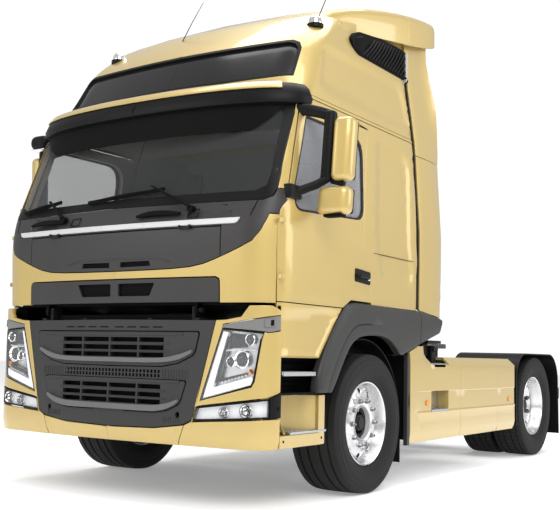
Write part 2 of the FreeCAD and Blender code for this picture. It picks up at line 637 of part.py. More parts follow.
def bumper_band(name, low, high, stand, depth):
    """Return the bumper's skin in plan, between two heights, with its face moved forward."""
    def path(inset):
        side = "bumper_half - (%s)" % inset
        nose = "-front_overhang + bow + (%s)" % inset
        corner = "bumper_half - corner_width"
        bulge_x = "bumper_half - corner_width / 2 + 25 - (%s) * 0.7" % inset
        bulge_y = "-(front_overhang + step_front) / 2 + bow / 2 - 35 + (%s) * 0.7" % inset
        return [(side, "-step_front - seam * 2"), (side, "-step_front - 18"),
                (bulge_x, bulge_y, "via"), (corner, nose),
                ("0", "-front_overhang + (%s)" % inset, "via"), ("-(%s)" % corner, nose),
                ("-(%s)" % bulge_x, bulge_y, "via"), ("-(%s)" % side, "-step_front - 18"),
                ("-(%s)" % side, "-step_front - seam * 2")]
    outer = path("-(%s)" % stand)
    inner = path(depth)
    return plan_prism(name, low, high, outer + inner[::-1])


def trapezoid(low_half, high_half, low, high, shrink="0"):
    """Return a symmetric four-sided outline that widens upwards."""
    return [("-(%s) + %s" % (low_half, shrink), "%s + %s" % (low, shrink)),
            ("%s - %s" % (low_half, shrink), "%s + %s" % (low, shrink)),
            ("%s - %s" % (high_half, shrink), "%s - %s" % (high, shrink)),
            ("-(%s) + %s" % (high_half, shrink), "%s - %s" % (high, shrink))]


def lamp_outline(shrink):
    """Return the headlamp's opening as seen from the front."""
    return [("808 + " + shrink, "lamp_low + " + shrink), ("935 + " + shrink, "lamp_high - " + shrink),
            ("1300", "lamp_high + 10 - " + shrink), ("1300", "lamp_high - 70 + " + shrink),
            ("1185 - " + shrink, "lamp_high - 80"), ("1120 - " + shrink, "lamp_low + 90 + " + shrink)]


def fog_outline(shrink):
    """Return the fog lamp's opening as seen from the front."""
    return [("750 + " + shrink, "fog_low + " + shrink), ("780 + " + shrink, "fog_high - 20 - " + shrink),
            ("1300", "fog_high + 20 - " + shrink), ("1300", "fog_low + 5 + " + shrink)]


def build_front():
    """Bumper skin, grille, headlamps and fog lamps, and the beam that carries them."""
    skin = bumper_band("bumper_skin", "bumper_low", "bumper_high", "0", "bumper_wall")
    reach = ("-front_overhang - 200", "-step_front + 100")
    grille_gap = front_prism("grille_gap", *reach, trapezoid(
        "grille_low_half", "grille_high_half", "bumper_lip", "bumper_high"))
    lamp_gap = front_prism("lamp_gap", *reach, lamp_outline("0"))
    fog_gap = front_prism("fog_gap", *reach, fog_outline("0"))
    ear = common("bumper_ear", bumper_band("ear_band", "bumper_high - 5", "ear_high", "0",
                                           "bumper_wall"),
                 front_prism("ear_shape", *reach, [
                     ("1090", "bumper_high - 5"), ("1215", "bumper_high - 5"),
                     ("1200", "ear_high"), ("1130", "ear_high")]))
    subpart("front_bumper", cut("front_bumper_cut",
                                fuse("front_bumper_solid", skin, ear, mirror("ear_right", ear)),
                                grille_gap, lamp_gap, fog_gap,
                                mirror("lamp_gap_right", lamp_gap),
                                mirror("fog_gap_right", fog_gap)))
    band = bumper_band("grille_band", "bumper_lip", "bumper_high", "-grille_recess",
                       "grille_recess + grille_depth")
    plate = common("grille_plate", band, front_prism("grille_outline", *reach, trapezoid(
        "grille_low_half", "grille_high_half", "bumper_lip", "bumper_high")))
    slots = []
    column = "(slot_half * 2 + slot_rib) / slot_columns"
    for bank in ("upper", "lower"):
        low = bank + "_slots_low"
        row = "(%s_slots_high - %s + slot_bar) / slot_rows" % (bank, low)
        for across in range(int(number("slot_columns"))):
            for up in range(int(number("slot_rows"))):
                start = "-slot_half + %d * (%s)" % (across, column)
                foot = "%s + %d * (%s)" % (low, up, row)
                slots.append(block("slot_%s_%d_%d" % (bank, across, up),
                                   (start, "%s + (%s) - slot_rib" % (start, column)), reach,
                                   (foot, "%s + (%s) - slot_bar" % (foot, row))))
    subpart("grille", cut("grille_cut", plate, *slots))
    lamp_band = bumper_band("lamp_band", "lamp_low - 10", "lamp_high + 10", "lamp_stand",
                            "lamp_depth")
    lamp = common("headlamp", lamp_band, front_prism("lamp_shape", *reach, lamp_outline("fit")))
    subpart("headlamps", both_sides("headlamps_pair", lamp))
    fog_band = bumper_band("fog_band", "fog_low - 10", "fog_high + 30", "0", "lamp_depth")
    fog = common("fog_lamp", fog_band, front_prism("fog_shape", *reach, fog_outline("fit")))
    subpart("fog_lamps", both_sides("fog_lamps_pair", fog))
    end = "box_inner - seam"
    nose = "-front_overhang + bow + bumper_wall"
    face = plan_prism("beam_face", "beam_low", "bumper_lip - seam", [
        (end, "-beam_rear"), (end, nose), ("0", "-front_overhang + bumper_wall", "via"),
        ("-(%s)" % end, nose), ("-(%s)" % end, "-beam_rear")])
    stays = []
    for side, span in (("left", ("rail_half - rail_flange", "rail_half")),
                       ("right", ("-rail_half", "-rail_half + rail_flange"))):
        stays.append(block("stay_" + side, span, ("-rail_front - stay_length", "-rail_front"),
                           ("beam_low", "rail_top")))
    for side, sign in (("left", ""), ("right", "-")):
        near, far = sign + "pivot_x", sign + "(pivot_x + pivot_wall)"
        near, far = (far, near) if sign else (near, far)
        stays.append(block("pivot_post_" + side, (near, far),
                           ("-pivot_y - pivot_r", "-pivot_y + pivot_wall * 3"),
                           ("beam_low", "pivot_z + pivot_wall")))
        stays.append(rod("pivot_pin_" + side, "x", "pivot_r",
                         "-pivot_x - pivot_wall * 3" if sign else "pivot_x", "-pivot_y",
                         "pivot_z", "pivot_wall * 3"))
    subpart("bumper_beam", fuse("bumper_beam_solid", face, *stays))
    subpart("radiator", block("cooler", ("-radiator_half", "radiator_half"),
                              ("-radiator_front", "-rail_front - stay_length"),
                              ("radiator_low", "radiator_high")))


def build_steps():
    """Lower step boxes on the frame, and the step wells that hang under the cab."""
    box = side_prism("step_box", "box_inner", "bumper_half", [
        ("-step_front", "box_low"), ("-step_rear", "box_low"), ("-step_rear", "box_high"),
        ("-step_front", "box_high")])
    hollow = block("step_hollow", ("box_inner + box_wall", "bumper_half + 10"),
                   ("-step_front + box_wall", "-step_rear - 130"),
                   ("tread_lower", "box_high + 10"))
    along = ("-rail_front", "-rail_front + member_width")
    stay = block("step_stay", ("rail_half", "box_inner"), along, ("beam_low", "beam_high"))
    stay_up = block("step_stay_up", ("rail_half", "rail_half + 60"), along,
                    ("beam_low", "rail_top - 20"))
    subpart("lower_steps", both_sides("lower_steps_pair", fuse(
        "lower_step", cut("step_box_cut", box, hollow), stay, stay_up)))
    well = front_prism("step_well", "-step_front + seam", "-well_rear", [
        ("well_inner", "floor_low"), ("well_inner", "well_low"), ("bumper_half", "well_low"),
        ("bumper_half", "well_low + well_wall"),
        ("well_inner + well_wall", "well_low + well_wall"),
        ("well_inner + well_wall", "tread_upper - tread_depth"),
        ("bumper_half", "tread_upper - tread_depth"), ("bumper_half", "tread_upper"),
        ("well_inner + well_wall", "tread_upper"), ("well_inner + well_wall", "floor_low")])
    trim = block("well_trim", ("body_half - trim_depth - fit", "body_half + trim_stand"), ("-760", "0"),
                 ("0", "floor_low"))
    subpart("upper_steps", both_sides("upper_steps_pair", cut("upper_step", well, trim)))


def build_arches():
    """Mudguards over the front wheels with their flaps, and the grey arch trims of the cab."""
    drop = "front_r - 60"
    guard = side_prism("mudguard", "mudguard_inner", "mudguard_outer", [
        ("-mudguard_r * 0.96", "front_r + mudguard_r * 0.28"),
        ("0", "front_r + mudguard_r", "via"),
        ("mudguard_r * 0.96", "front_r + mudguard_r * 0.28"),
        ("mudguard_r + flap_wall", drop), ("mudguard_r + flap_wall", "flap_low"),
        ("mudguard_r + flap_wall * 2", "flap_low"), ("mudguard_r + flap_wall * 2", drop),
        ("mudguard_r * 0.96 + flap_wall", "front_r + mudguard_r * 0.28"),
        ("0", "front_r + mudguard_r + mudguard_wall", "via"),
        ("-mudguard_r * 0.96 - mudguard_wall", "front_r + mudguard_r * 0.28")])
    stay = block("mudguard_stay", ("rail_half", "mudguard_inner"), ("-35", "35"),
                 ("front_r + mudguard_r + mudguard_wall - 40", "front_r + mudguard_r + mudguard_wall"))
    post = block("mudguard_post", ("rail_half", "rail_half + 40"), ("-35", "35"),
                 ("rail_top - 120", "front_r + mudguard_r + mudguard_wall"))
    subpart("front_mudguards", both_sides("front_mudguards_pair",
                                          fuse("front_mudguard", guard, stay, post)))
    trim = side_prism("arch_trim", "body_half - trim_depth", "body_half + trim_stand",
                      trim_outline())
    subpart("arch_trims", both_sides("arch_trims_pair", trim))


def trim_outline():
    """Return the arch trim as seen from the side: outer edge, rear end and wheel opening."""
    return [("-745", "730"), ("-718", "880", "via"), ("-640", "1008"), ("-560", "1110"),
            ("-400", "1288"), ("-345", "1327", "via"), ("-270", "1356"), ("cab_rear", "trim_top"),
            ("side_fairing_rear - 20", "trim_top - 45"), ("side_fairing_rear - 60", "side_fairing_low"),
            ("cab_rear", "trim_tail"), ("600", "trim_heel"), ("483", "1000"), ("330", "1090", "via"),
            ("179", "1123"), ("-60", "1123"), ("-260", "1072", "via"), ("-400", "940"),
            ("-560", "730")]


def build_rear_fenders():
    """Black three-piece fenders over the twin wheels, with stays and flaps."""
    middle = "wheelbase"
    def path(inset):
        return [(middle + " - 655 + " + inset, "fender_low + 160"),
                (middle + " - 655 + " + inset, "720"),
                (middle + " - 580 + (%s) * 0.7" % inset, "960 - (%s) * 0.7" % inset, "via"),
                (middle + " - 380", "fender_high - " + inset),
                (middle + " + 380", "fender_high - " + inset),
                (middle + " + 580 - (%s) * 0.7" % inset, "960 - (%s) * 0.7" % inset, "via"),
                (middle + " + 665 - " + inset, "720"),
                (middle + " + 690 - " + inset, "fender_low")]
    fender = side_prism("fender", "fender_inner", "body_half",
                        path("0") + path("fender_wall")[::-1])
    stay = block("fender_stay", ("rail_half", "fender_inner"),
                 (middle + " - 30", middle + " + 30"), ("rail_top - 40", "fender_high"))
    subpart("rear_fenders", both_sides("rear_fenders_pair", fuse("rear_fender", fender, stay)))


def build_skirts():
    """Painted side fairings with a step opening and a notch, over tanks on the rails."""
    lip = "skirt_high - skirt_wall"
    face = front_prism("skirt_skin", "skirt_front", "skirt_rear", [
        ("body_half", "skirt_low"), ("body_half", "skirt_high - skirt_chamfer"),
        ("body_half - skirt_chamfer", "skirt_high"), ("skirt_return", "skirt_high"),
        ("skirt_return", lip), ("body_half - skirt_chamfer - skirt_wall / 2", lip),
        ("body_half - skirt_wall", "skirt_high - skirt_chamfer - skirt_wall / 2"),
        ("body_half - skirt_wall", "skirt_low")])
    opening = block("skirt_opening", ("body_half - skirt_wall * 2", "body_half + 10"),
                    ("hatch_front", "hatch_rear"), ("hatch_low", "hatch_high"))
    notch = block("skirt_notch", ("body_half - 180", "body_half + 10"),
                  ("hatch_front", "hatch_rear"), ("skirt_high - notch_depth", "skirt_high + 10"))
    rise = side_prism("skirt_rise", "body_half - skirt_wall", "body_half", [
        ("skirt_front", "skirt_high - skirt_chamfer * 2"), ("rise_rear", "skirt_high - skirt_chamfer * 2"),
        ("rise_rear", "trim_tail - seam * 2"), ("cab_rear", "trim_tail - seam * 2"),
        ("skirt_front", "trim_heel - seam * 2")])
    subpart("side_skirts", both_sides("side_skirts_pair", fuse(
        "side_skirt", cut("side_skirt_cut", face, opening, notch), rise)))
    inner = "rail_half + fit"
    edge = "tank_corner * 0.293"
    tank = front_prism("tank", "tank_front", "tank_rear", [
        (inner, "tank_low + tank_corner"), ("%s + %s" % (inner, edge), "tank_low + " + edge, "via"),
        (inner + " + tank_corner", "tank_low"), ("tank_outer - tank_corner", "tank_low"),
        ("tank_outer - " + edge, "tank_low + " + edge, "via"),
        ("tank_outer", "tank_low + tank_corner"), ("tank_outer", "tank_high - tank_corner"),
        ("tank_outer - " + edge, "tank_high - " + edge, "via"),
        ("tank_outer - tank_corner", "tank_high"), (inner + " + tank_corner", "tank_high"),
        ("%s + %s" % (inner, edge), "tank_high - " + edge, "via"),
        (inner, "tank_high - tank_corner")])
    subpart("fuel_tanks", both_sides("fuel_tanks_pair", tank))


def build_coupling():
    """Deck plate, fifth wheel with its jaw opening, pedestals and the rear light bar."""
    middle = "(wheelbase - coupling_lead)"
    subpart("deck_plate", block("deck_sheet", ("-rail_half", "rail_half"),
                                ("deck_front", "deck_rear"), ("rail_top", "rail_top + deck")))
    pivot = "coupling_top - plate - trunnion_drop"
    base = block("coupling_foot", ("-rail_half", "rail_half"),
                 (middle + " - 250", middle + " + 250"), ("rail_top", "rail_top + base_plate"))
    pedestals = []
    for side, span in (("left", ("330", "410")), ("right", ("-410", "-330"))):
        pedestals.append(block("pedestal_" + side, span,
                               (middle + " - pedestal_half", middle + " + pedestal_half"),
                               ("rail_top + base_plate", pivot + " + trunnion_r + 10")))
    bore = rod("trunnion_bore", "x", "trunnion_r + running", "-420", middle, pivot, "840")
    subpart("coupling_base", cut("coupling_base_cut", fuse("coupling_base_solid", base, *pedestals),
                                 bore))
    slab = plan_prism("coupling_slab", "coupling_top - plate", "coupling_top", [
        ("-coupling_half + 120", middle + " - coupling_nose"),
        ("0", middle + " - coupling_nose - 30", "via"),
        ("coupling_half - 120", middle + " - coupling_nose"),
        ("coupling_half", middle + " - 150"), ("coupling_half", middle + " + 200"),
        ("coupling_half - 90", middle + " + coupling_tail"),
        ("throat", middle + " + coupling_tail"), ("kingpin_bore", middle + " + 90"),
        ("kingpin_bore", middle), ("0", middle + " - kingpin_bore", "via"),
        ("-kingpin_bore", middle), ("-kingpin_bore", middle + " + 90"),
        ("-throat", middle + " + coupling_tail"),
        ("-coupling_half + 90", middle + " + coupling_tail"),
        ("-coupling_half", middle + " + 200"), ("-coupling_half", middle + " - 150")])
    lugs = []
    for side, span in (("left", ("255", "315")), ("right", ("-315", "-255"))):
        lugs.append(block("lug_" + side, span, (middle + " - 45", middle + " + 45"),
                          (pivot + " - trunnion_r + 5", "coupling_top - plate")))
    for side, start in (("left", "315"), ("right", "-405")):
        lugs.append(rod("trunnion_" + side, "x", "trunnion_r", start, middle, pivot, "90"))
    subpart("fifth_wheel", fuse("fifth_wheel_solid", slab, *lugs))
    tail = "wheelbase + rear_overhang"
    bar = block("tail_beam", ("-body_half + 60", "body_half - 60"),
                (tail + " - rail_rear_gap + fit", tail + " - 20"), ("560", "680"))
    posts = [block("tail_post_" + side, span, (tail + " - rail_rear_gap + fit", tail + " - 20"),
                   ("680", "rail_top - 60"))
             for side, span in (("left", ("rail_half - rail_flange", "rail_half")),
                                ("right", ("-rail_half", "-rail_half + rail_flange")))]
    subpart("tail_bar", fuse("tail_bar_solid", bar, *posts))
    lamp = block("tail_lamp", ("body_half - 520", "body_half - 90"), (tail + " - 20", tail),
                 ("570", "670"))
    subpart("tail_lamps", both_sides("tail_lamps_pair", lamp))


def door_outline(gap):
    """Return the door as seen from the side, made larger by a gap."""
    return [("-door_front - " + gap, "hem_z - " + gap), ("-700 + %s * 0.4" % gap, "hem_z - " + gap),
            ("-510 + " + gap, "1192 - " + gap), ("-405 + %s * 0.8" % gap, "1304 - %s * 0.8" % gap),
            ("-290", "1368 - " + gap), ("door_rear + " + gap, "1366 - " + gap),
            ("door_rear + " + gap, "door_head + " + gap),
            ("-door_pillar + 40 - " + gap, "door_head + " + gap),
            ("-door_pillar - 95 - " + gap, "1975"),
            ("-door_front - " + gap, "door_waist + 20 + " + gap)]


def window_outline():
    """Return the door window as seen from the side."""
    return [("-window_front", "window_sill_front + 25"), ("-window_front + 30", "window_sill_front"),
            ("-window_rear - 50", "window_sill_rear"), ("-window_rear", "window_sill_rear + 50"),
            ("-window_rear", "window_head - 40"), ("-window_rear - 40", "window_head"),
            ("-window_head_front + 20", "window_head"), ("-window_head_front - 30", "window_head - 30")]


def hinge(name, low, sign):
    """Return one hinge leaf with its barrel: it reaches forward to the pillar or back to the door."""
    height = (low, low + " + hinge_length / 2 - fit")
    barrel = rod(name + "_barrel", "z", "hinge_r", "hinge_x", "-hinge_y", low,
                 "hinge_length / 2 - fit")
    along = ("-hinge_y - 26", "-hinge_y") if sign == "-" else ("-hinge_y", "-hinge_y + 26")
    leaf = block(name + "_leaf", ("hinge_x - wall", "hinge_x"), along, height)
    return fuse(name, barrel, leaf)


def build_cab():
    """Cab shell with its doors, windows and windscreen, and the parts set into its front."""
    outer = cab_form("cab_outer", CAB_LEVELS)
    inner = cab_form("cab_inner", CAB_LEVELS, "wall", False)
    everywhere = ("-body_half - 50", "body_half + 50")
    length = ("-front_overhang - 200", "cab_rear + 50")
    above = block("above_floor", everywhere, length, ("floor_low", "header_z + 10"))
    walls = cut("cab_walls", common("cab_above", outer, above), inner)
    slab = block("floor_slab", everywhere, length, ("floor_low", "floor_low + floor_depth"))
    sill = side_prism("sill_gap", "body_half - wall - seam * 4", "body_half + 50",
                      door_outline("seam"))
    corner = block("sill_corner", ("body_half - wall - seam * 18", "body_half"),
                   ("-door_front - seam", "-door_front + wall * 2"),
                   ("floor_low", "floor_low + floor_depth"))
    floor = cut("cab_floor", common("cab_floor_raw", inner, slab), sill, corner,
                mirror("sill_gap_right", sill), mirror("sill_corner_right", corner))
    lugs = []
    for side, sign in (("left", ""), ("right", "-")):
        near, far = "pivot_x + pivot_wall + seam", "pivot_x + pivot_wall * 2"
        span = ("-(%s)" % far, "-(%s)" % near) if sign else (near, far)
        lug = block("pivot_lug_" + side, span, ("-pivot_y - pivot_wall", "-pivot_y + pivot_wall"),
                    ("pivot_z - pivot_wall", "floor_low + seam"))
        bore = rod("pivot_bore_" + side, "x", "pivot_r + running", span[0], "-pivot_y",
                   "pivot_z", "pivot_wall")
        lugs.append(cut("pivot_eye_" + side, lug, bore))
    side_gap = side_prism("door_gap", "-body_half - 50", "body_half + 50", door_outline("seam"))
    trim_gap = side_prism("trim_gap", "body_half - trim_depth", "body_half + trim_stand",
                          trim_outline())
    screen_gap = front_prism("screen_gap", "-front_overhang - 50", "-700", trapezoid(
        "screen_sill_half", "screen_head_half", "screen_sill", "screen_head"))
    hinge_gaps = []
    leaves = []
    door_leaves = []
    for place in ("low", "high"):
        base = "hinge_" + place
        hinge_gaps.append(rod("hinge_gap_" + place, "z", "hinge_r + 3", "hinge_x", "-hinge_y",
                              base + " - fit", "hinge_length + fit * 2"))
        leaves.append(hinge("pillar_leaf_" + place, base, "-"))
        door_leaves.append(hinge("door_leaf_" + place, base + " + hinge_length / 2", "+"))
    recess_form = cab_form("recess_form", CAB_LEVELS, "flap_recess", False)
    flap_gap = front_prism("flap_gap", "-front_overhang - 50", "-1100", flap_outline("0"))
    recess = cut("flap_space", flap_gap, recess_form)
    panel_form = cab_form("panel_form", CAB_LEVELS, "panel_depth", False)
    panel_shape = front_prism("panel_shape", "-front_overhang - 50", "-1100", trapezoid(
        "panel_half", "panel_half", "panel_low", "panel_high"))
    panel = common("panel_skin", cut("panel_space", panel_shape, panel_form), outer)
    shell = cut("cab_cut", walls, side_gap, trim_gap, mirror("trim_gap_right", trim_gap),
                screen_gap, recess, panel, *hinge_gaps,
                *[mirror(gap.Name + "_right", gap) for gap in hinge_gaps])
    subpart("cab_shell", fuse("cab_shell_solid", shell, floor, *lugs, *leaves,
                              *[mirror(leaf.Name + "_right", leaf) for leaf in leaves]))
    glass_outer = cab_form("glass_outer", CAB_LEVELS, "skin_inset")
    glass_inner = cab_form("glass_inner", CAB_LEVELS, "skin_inset + skin")
    glass_band = cut("glass_band", glass_outer, glass_inner)
    subpart("windscreen", common("windscreen_glass", glass_band, screen_gap))
    door_shape = side_prism("door_shape", "800", "body_half + 50", door_outline("0"))
    window_gap = side_prism("window_gap", "800", "body_half + 50", window_outline())
    blank = cut("door_blank", common("door_solid", door_shape, outer), inner, window_gap,
                *hinge_gaps)
    door = fuse("door", blank, *door_leaves)
    subpart("door_left", door)
    subpart("door_right", mirror("door_mirrored", door))
    door_glass = common("door_glass", glass_band, window_gap)
    subpart("door_glass_left", door_glass)
    subpart("door_glass_right", mirror("door_glass_mirrored", door_glass))
    flap_form = cab_form("flap_form", CAB_LEVELS, "flap_panel", False)
    flap_shape = front_prism("flap_shape", "-front_overhang - 50", "-1100", flap_outline("seam"))
    flap_skin = common("flap_skin", cut("flap_space_inner", flap_shape, flap_form), outer)
    barrels, bores, pins = [], [], []
    far = "flap_hinge_x + flap_hinge_length"
    for side, start in (("left", "flap_hinge_x"), ("right", "-(%s)" % far)):
        end = "(%s + flap_hinge_length)" % start
        barrels.append(rod("flap_barrel_" + side, "x", "flap_barrel_r", start, "-flap_axis_y",
                           "flap_high", "flap_hinge_length"))
        barrels.append(block("flap_leaf_" + side, (start, end),
                             ("-flap_axis_y - 4", "-flap_axis_y + 25"),
                             ("flap_high - 18", "flap_high - 2")))
        bores.append(rod("flap_bore_" + side, "x", "flap_pin_r + running", start,
                         "-flap_axis_y", "flap_high", "flap_hinge_length"))
        pins.append(rod("flap_pin_" + side, "x", "flap_pin_r", start + " - 12", "-flap_axis_y",
                        "flap_high", "flap_hinge_length + 24"))
        for place, low in (("near", start + " - 12"), ("far", end + " + 2")):
            pins.append(block("flap_lug_%s_%s" % (side, place), (low, low + " + 10"),
                              ("-flap_axis_y - 6", "-flap_axis_y + 6"),
                              ("flap_high - 6", "strip_low + 6")))
    subpart("front_hatch", cut("front_hatch_cut", fuse("front_hatch_solid", flap_skin, *barrels),
                               *bores))
    vents = [block("vent_" + side, span, ("-front_overhang - 50", "-1100"), ("1375", "1435"))
             for side, span in (("left", ("30", "360")), ("right", ("-360", "-30")))]
    strip_form = cab_form("strip_form", CAB_LEVELS, "-strip_stand")
    strip_shape = front_prism("strip_shape", "-front_overhang - 50", "-1100", trapezoid(
        "strip_half", "strip_half", "strip_low", "strip_high"))
    strip = cut("front_strip_cut", common("strip_raw", strip_form, strip_shape), outer)
    subpart("front_trim", together("front_trim_pieces", cut("front_panel_cut", panel, *vents),
                                   fuse("front_strip", strip, *pins)))
    return outer


def flap_outline(gap):
    """Return the service hatch below the windscreen, with its curved lower edge."""
    return [("-hatch_half + " + gap, "1590 + " + gap), ("0", "1512 + " + gap, "via"),
            ("hatch_half - " + gap, "1590 + " + gap), ("hatch_half - " + gap, "flap_high - " + gap),
            ("-hatch_half + " + gap, "flap_high - " + gap)]


def visor_section(shift, lift):
    """Return the sun visor's section from the side, moved back and up towards its tips."""
    back = " + " + shift
    up = " + " + lift
    return [("-visor_front" + back, "visor_low" + up), ("-visor_rear - 190" + back, "visor_high - 30"),
            ("-visor_rear - 60" + back, "visor_high"), ("-visor_rear + 250" + back, "visor_high"),
            ("-visor_rear + 250" + back, "visor_high - visor_wall"),
            ("-visor_rear - 110" + back, "visor_high - visor_wall - 30"),
            ("-visor_front + visor_wall" + back, "visor_low" + up)]


def build_roof(cab_outer):
    """High roof with its deflector, air intakes, side fairings and sun visor."""
    outer = cab_form("roof_outer", ROOF_LEVELS)
    inner = cab_form("roof_inner", ROOF_LEVELS[:-1], "wall", False)
    subpart("cab_roof", cut("cab_roof_cut", outer, inner))
    visor = loft("visor", "YZ_Plane", [
        (offset, visor_section(shift, lift)) for offset, shift, lift in (
            ("-visor_half", "330", "240"), ("-visor_half * 0.8", "130", "60"),
            ("-visor_half * 0.4", "35", "10"), ("0", "0", "0"),
            ("visor_half * 0.4", "35", "10"), ("visor_half * 0.8", "130", "60"),
            ("visor_half", "330", "240"))])
    spaces = [block("door_space_" + side, span, ("-door_pillar", "0"),
                    ("visor_low", "door_head + seam * 2"))
              for side, span in (("left", ("visor_half - 150", "visor_half + 50")),
                                 ("right", ("-visor_half - 50", "-visor_half + 150")))]
    subpart("sun_visor", cut("sun_visor_cut", visor, outer, cab_outer, *spaces))
    def section(half, low, high, inset):
        side = "%s - %s" % (half, inset)
        top = "%s - %s" % (high, inset)
        return [("-(%s)" % side, low), (side, low), (side, top + " - 70"), (side + " - 90", top),
                ("-(%s) + 90" % side, top), ("-(%s)" % side, top + " - 70")]
    stations = [("fin_front", "fin_nose_half", "fin_low - 90", "fin_nose_high"),
                ("fin_corner", "fin_half", "fin_low", "fin_high"),
                ("fin_rear", "fin_half", "fin_low + 50", "fin_tail_high")]
    hull = loft("fin_hull", "XZ_Plane", [("-(%s)" % along, section(half, low, high, "0"))
                                         for along, half, low, high in stations])
    stations[0] = ("fin_front - 1", "fin_nose_half", "fin_low - 130", "fin_nose_high")
    stations[1] = ("fin_corner", "fin_half", "fin_low - 40", "fin_high")
    stations[2] = ("fin_rear + 1", "fin_half", "fin_low + 10", "fin_tail_high")
    hollow = loft("fin_hollow", "XZ_Plane", [
        ("-(%s)" % along, section(half, low, high, "fin_wall"))
        for along, half, low, high in stations])
    subpart("roof_spoiler", cut("roof_spoiler_cut", hull, hollow, outer))
    intake = side_prism("intake", "1000", "fin_half - 22", [
        ("intake_front", "intake_low"), ("intake_rear", "intake_low"),
        ("intake_rear", "intake_high + 20"), ("intake_rear / 2", "intake_high + 10", "via"),
        ("intake_front + 60", "intake_high - 80")])
    subpart("air_intakes", both_sides("air_intakes_pair", cut("air_intake", intake, outer)))
    profile = [("body_half", "trim_top + seam"), ("body_half", "screen_low_z"),
               ("header_half", "header_z"), ("sign_low_half", "sign_low_z"),
               ("sign_top_half", "sign_top_z"), ("brow_half", "brow_z"),
               ("crown_half + 10", "side_fairing_high - 80")]
    inside = [(across + " - side_fairing_wall", up) for across, up in reversed(profile)]
    fairing = front_prism("side_fairing", "cab_rear", "side_fairing_rear", profile + inside)
    subpart("side_fairings", both_sides("side_fairings_pair", fairing))
    return outer


def build_mirrors(cab_outer):
    """Door mirrors: tall and wide-angle heads on a stem with two brackets, and a kerb mirror."""
    def head(name, inner, low, high):
        return front_prism(name, "-head_front", "-head_front + head_depth", [
            (inner, low + " + 30"), (inner + " + 30", low), ("head_outer - 30", low),
            ("head_outer", low + " + 30"), ("head_outer", high + " - 40"),
            ("head_outer - 40", high), (inner + " + 40", high), (inner, high + " - 40")])
    tall = head("tall_head", "head_inner", "head_low", "head_high")
    wide = head("wide_head", "wide_inner", "wide_low", "wide_high")
    stem = rod("stem", "z", "stem_r", "stem_x", "-stem_y", "wide_high - 60",
               "door_head - 20 - wide_high + 60")
    stubs = [block("stem_" + place, ("stem_x - 10", "stem_x + 80"), ("-stem_y - 10", "-head_front + 30"),
                   (low, low + " + 24")) for place, low in
             (("top", "head_high - 80"), ("middle", "head_low + 40"), ("foot", "wide_high - 55"))]
    brackets = [block("bracket_" + place, ("1100", "stem_x + 10"), ("-stem_y - 40", "-stem_y + 40"),
                      (low, low + " + 30")) for place, low in
                (("low", "wide_high - 60"), ("high", "door_head - 50"))]
    mirror_left = cut("mirror_cut", fuse("mirror_solid", tall, wide, stem, *stubs, *brackets),
                      cab_outer)
    subpart("mirror_left", mirror_left)
    subpart("mirror_right", mirror("mirror_mirrored", mirror_left))


def build_kerb_mirror(cab_outer):
    """Round-backed kerb mirror that hangs out on an arm over the kerb side."""
    head = side_prism("kerb_head", "-kerb_outer", "-kerb_outer + 110", [
        ("-921", "kerb_height"), ("-766", "kerb_height + 75", "via"), ("-611", "kerb_height + 20"),
        ("-766", "kerb_height - 75", "via")])
    arm = block("kerb_arm", ("-kerb_outer + 110", "-1000"), ("-800", "-750"),
                ("door_head - 40", "door_head - 10"))
    subpart("kerb_mirror", cut("kerb_mirror_cut", fuse("kerb_mirror_solid", head, arm),
                               cab_outer))


def build_wipers(cab_outer):
    """Two wiper arms with their blades, over the lower edge of the windscreen."""
    form = cab_form("wiper_form", CAB_LEVELS, "-16")
    arms = []
    for place, foot, knee, tip in (("left", 330, 20, -140), ("right", -420, -730, -890)):
        shape = front_prism("wiper_" + place, "-front_overhang - 50", "-900", [
            (str(foot + 20), "1900"), (str(foot + 25), "1925"), (str(knee + 20), "2060"),
            (str(knee + 150), "2052"), (str(knee + 150), "2066"), (str(tip - 150), "2020"),
            (str(tip - 150), "2006"), (str(knee), "2040"), (str(foot - 15), "1900")])
        arms.append(cut("wiper_cut_" + place, common("wiper_raw_" + place, shape, form),
                        cab_outer))
    subpart("wipers", together("wipers_pair", *arms))


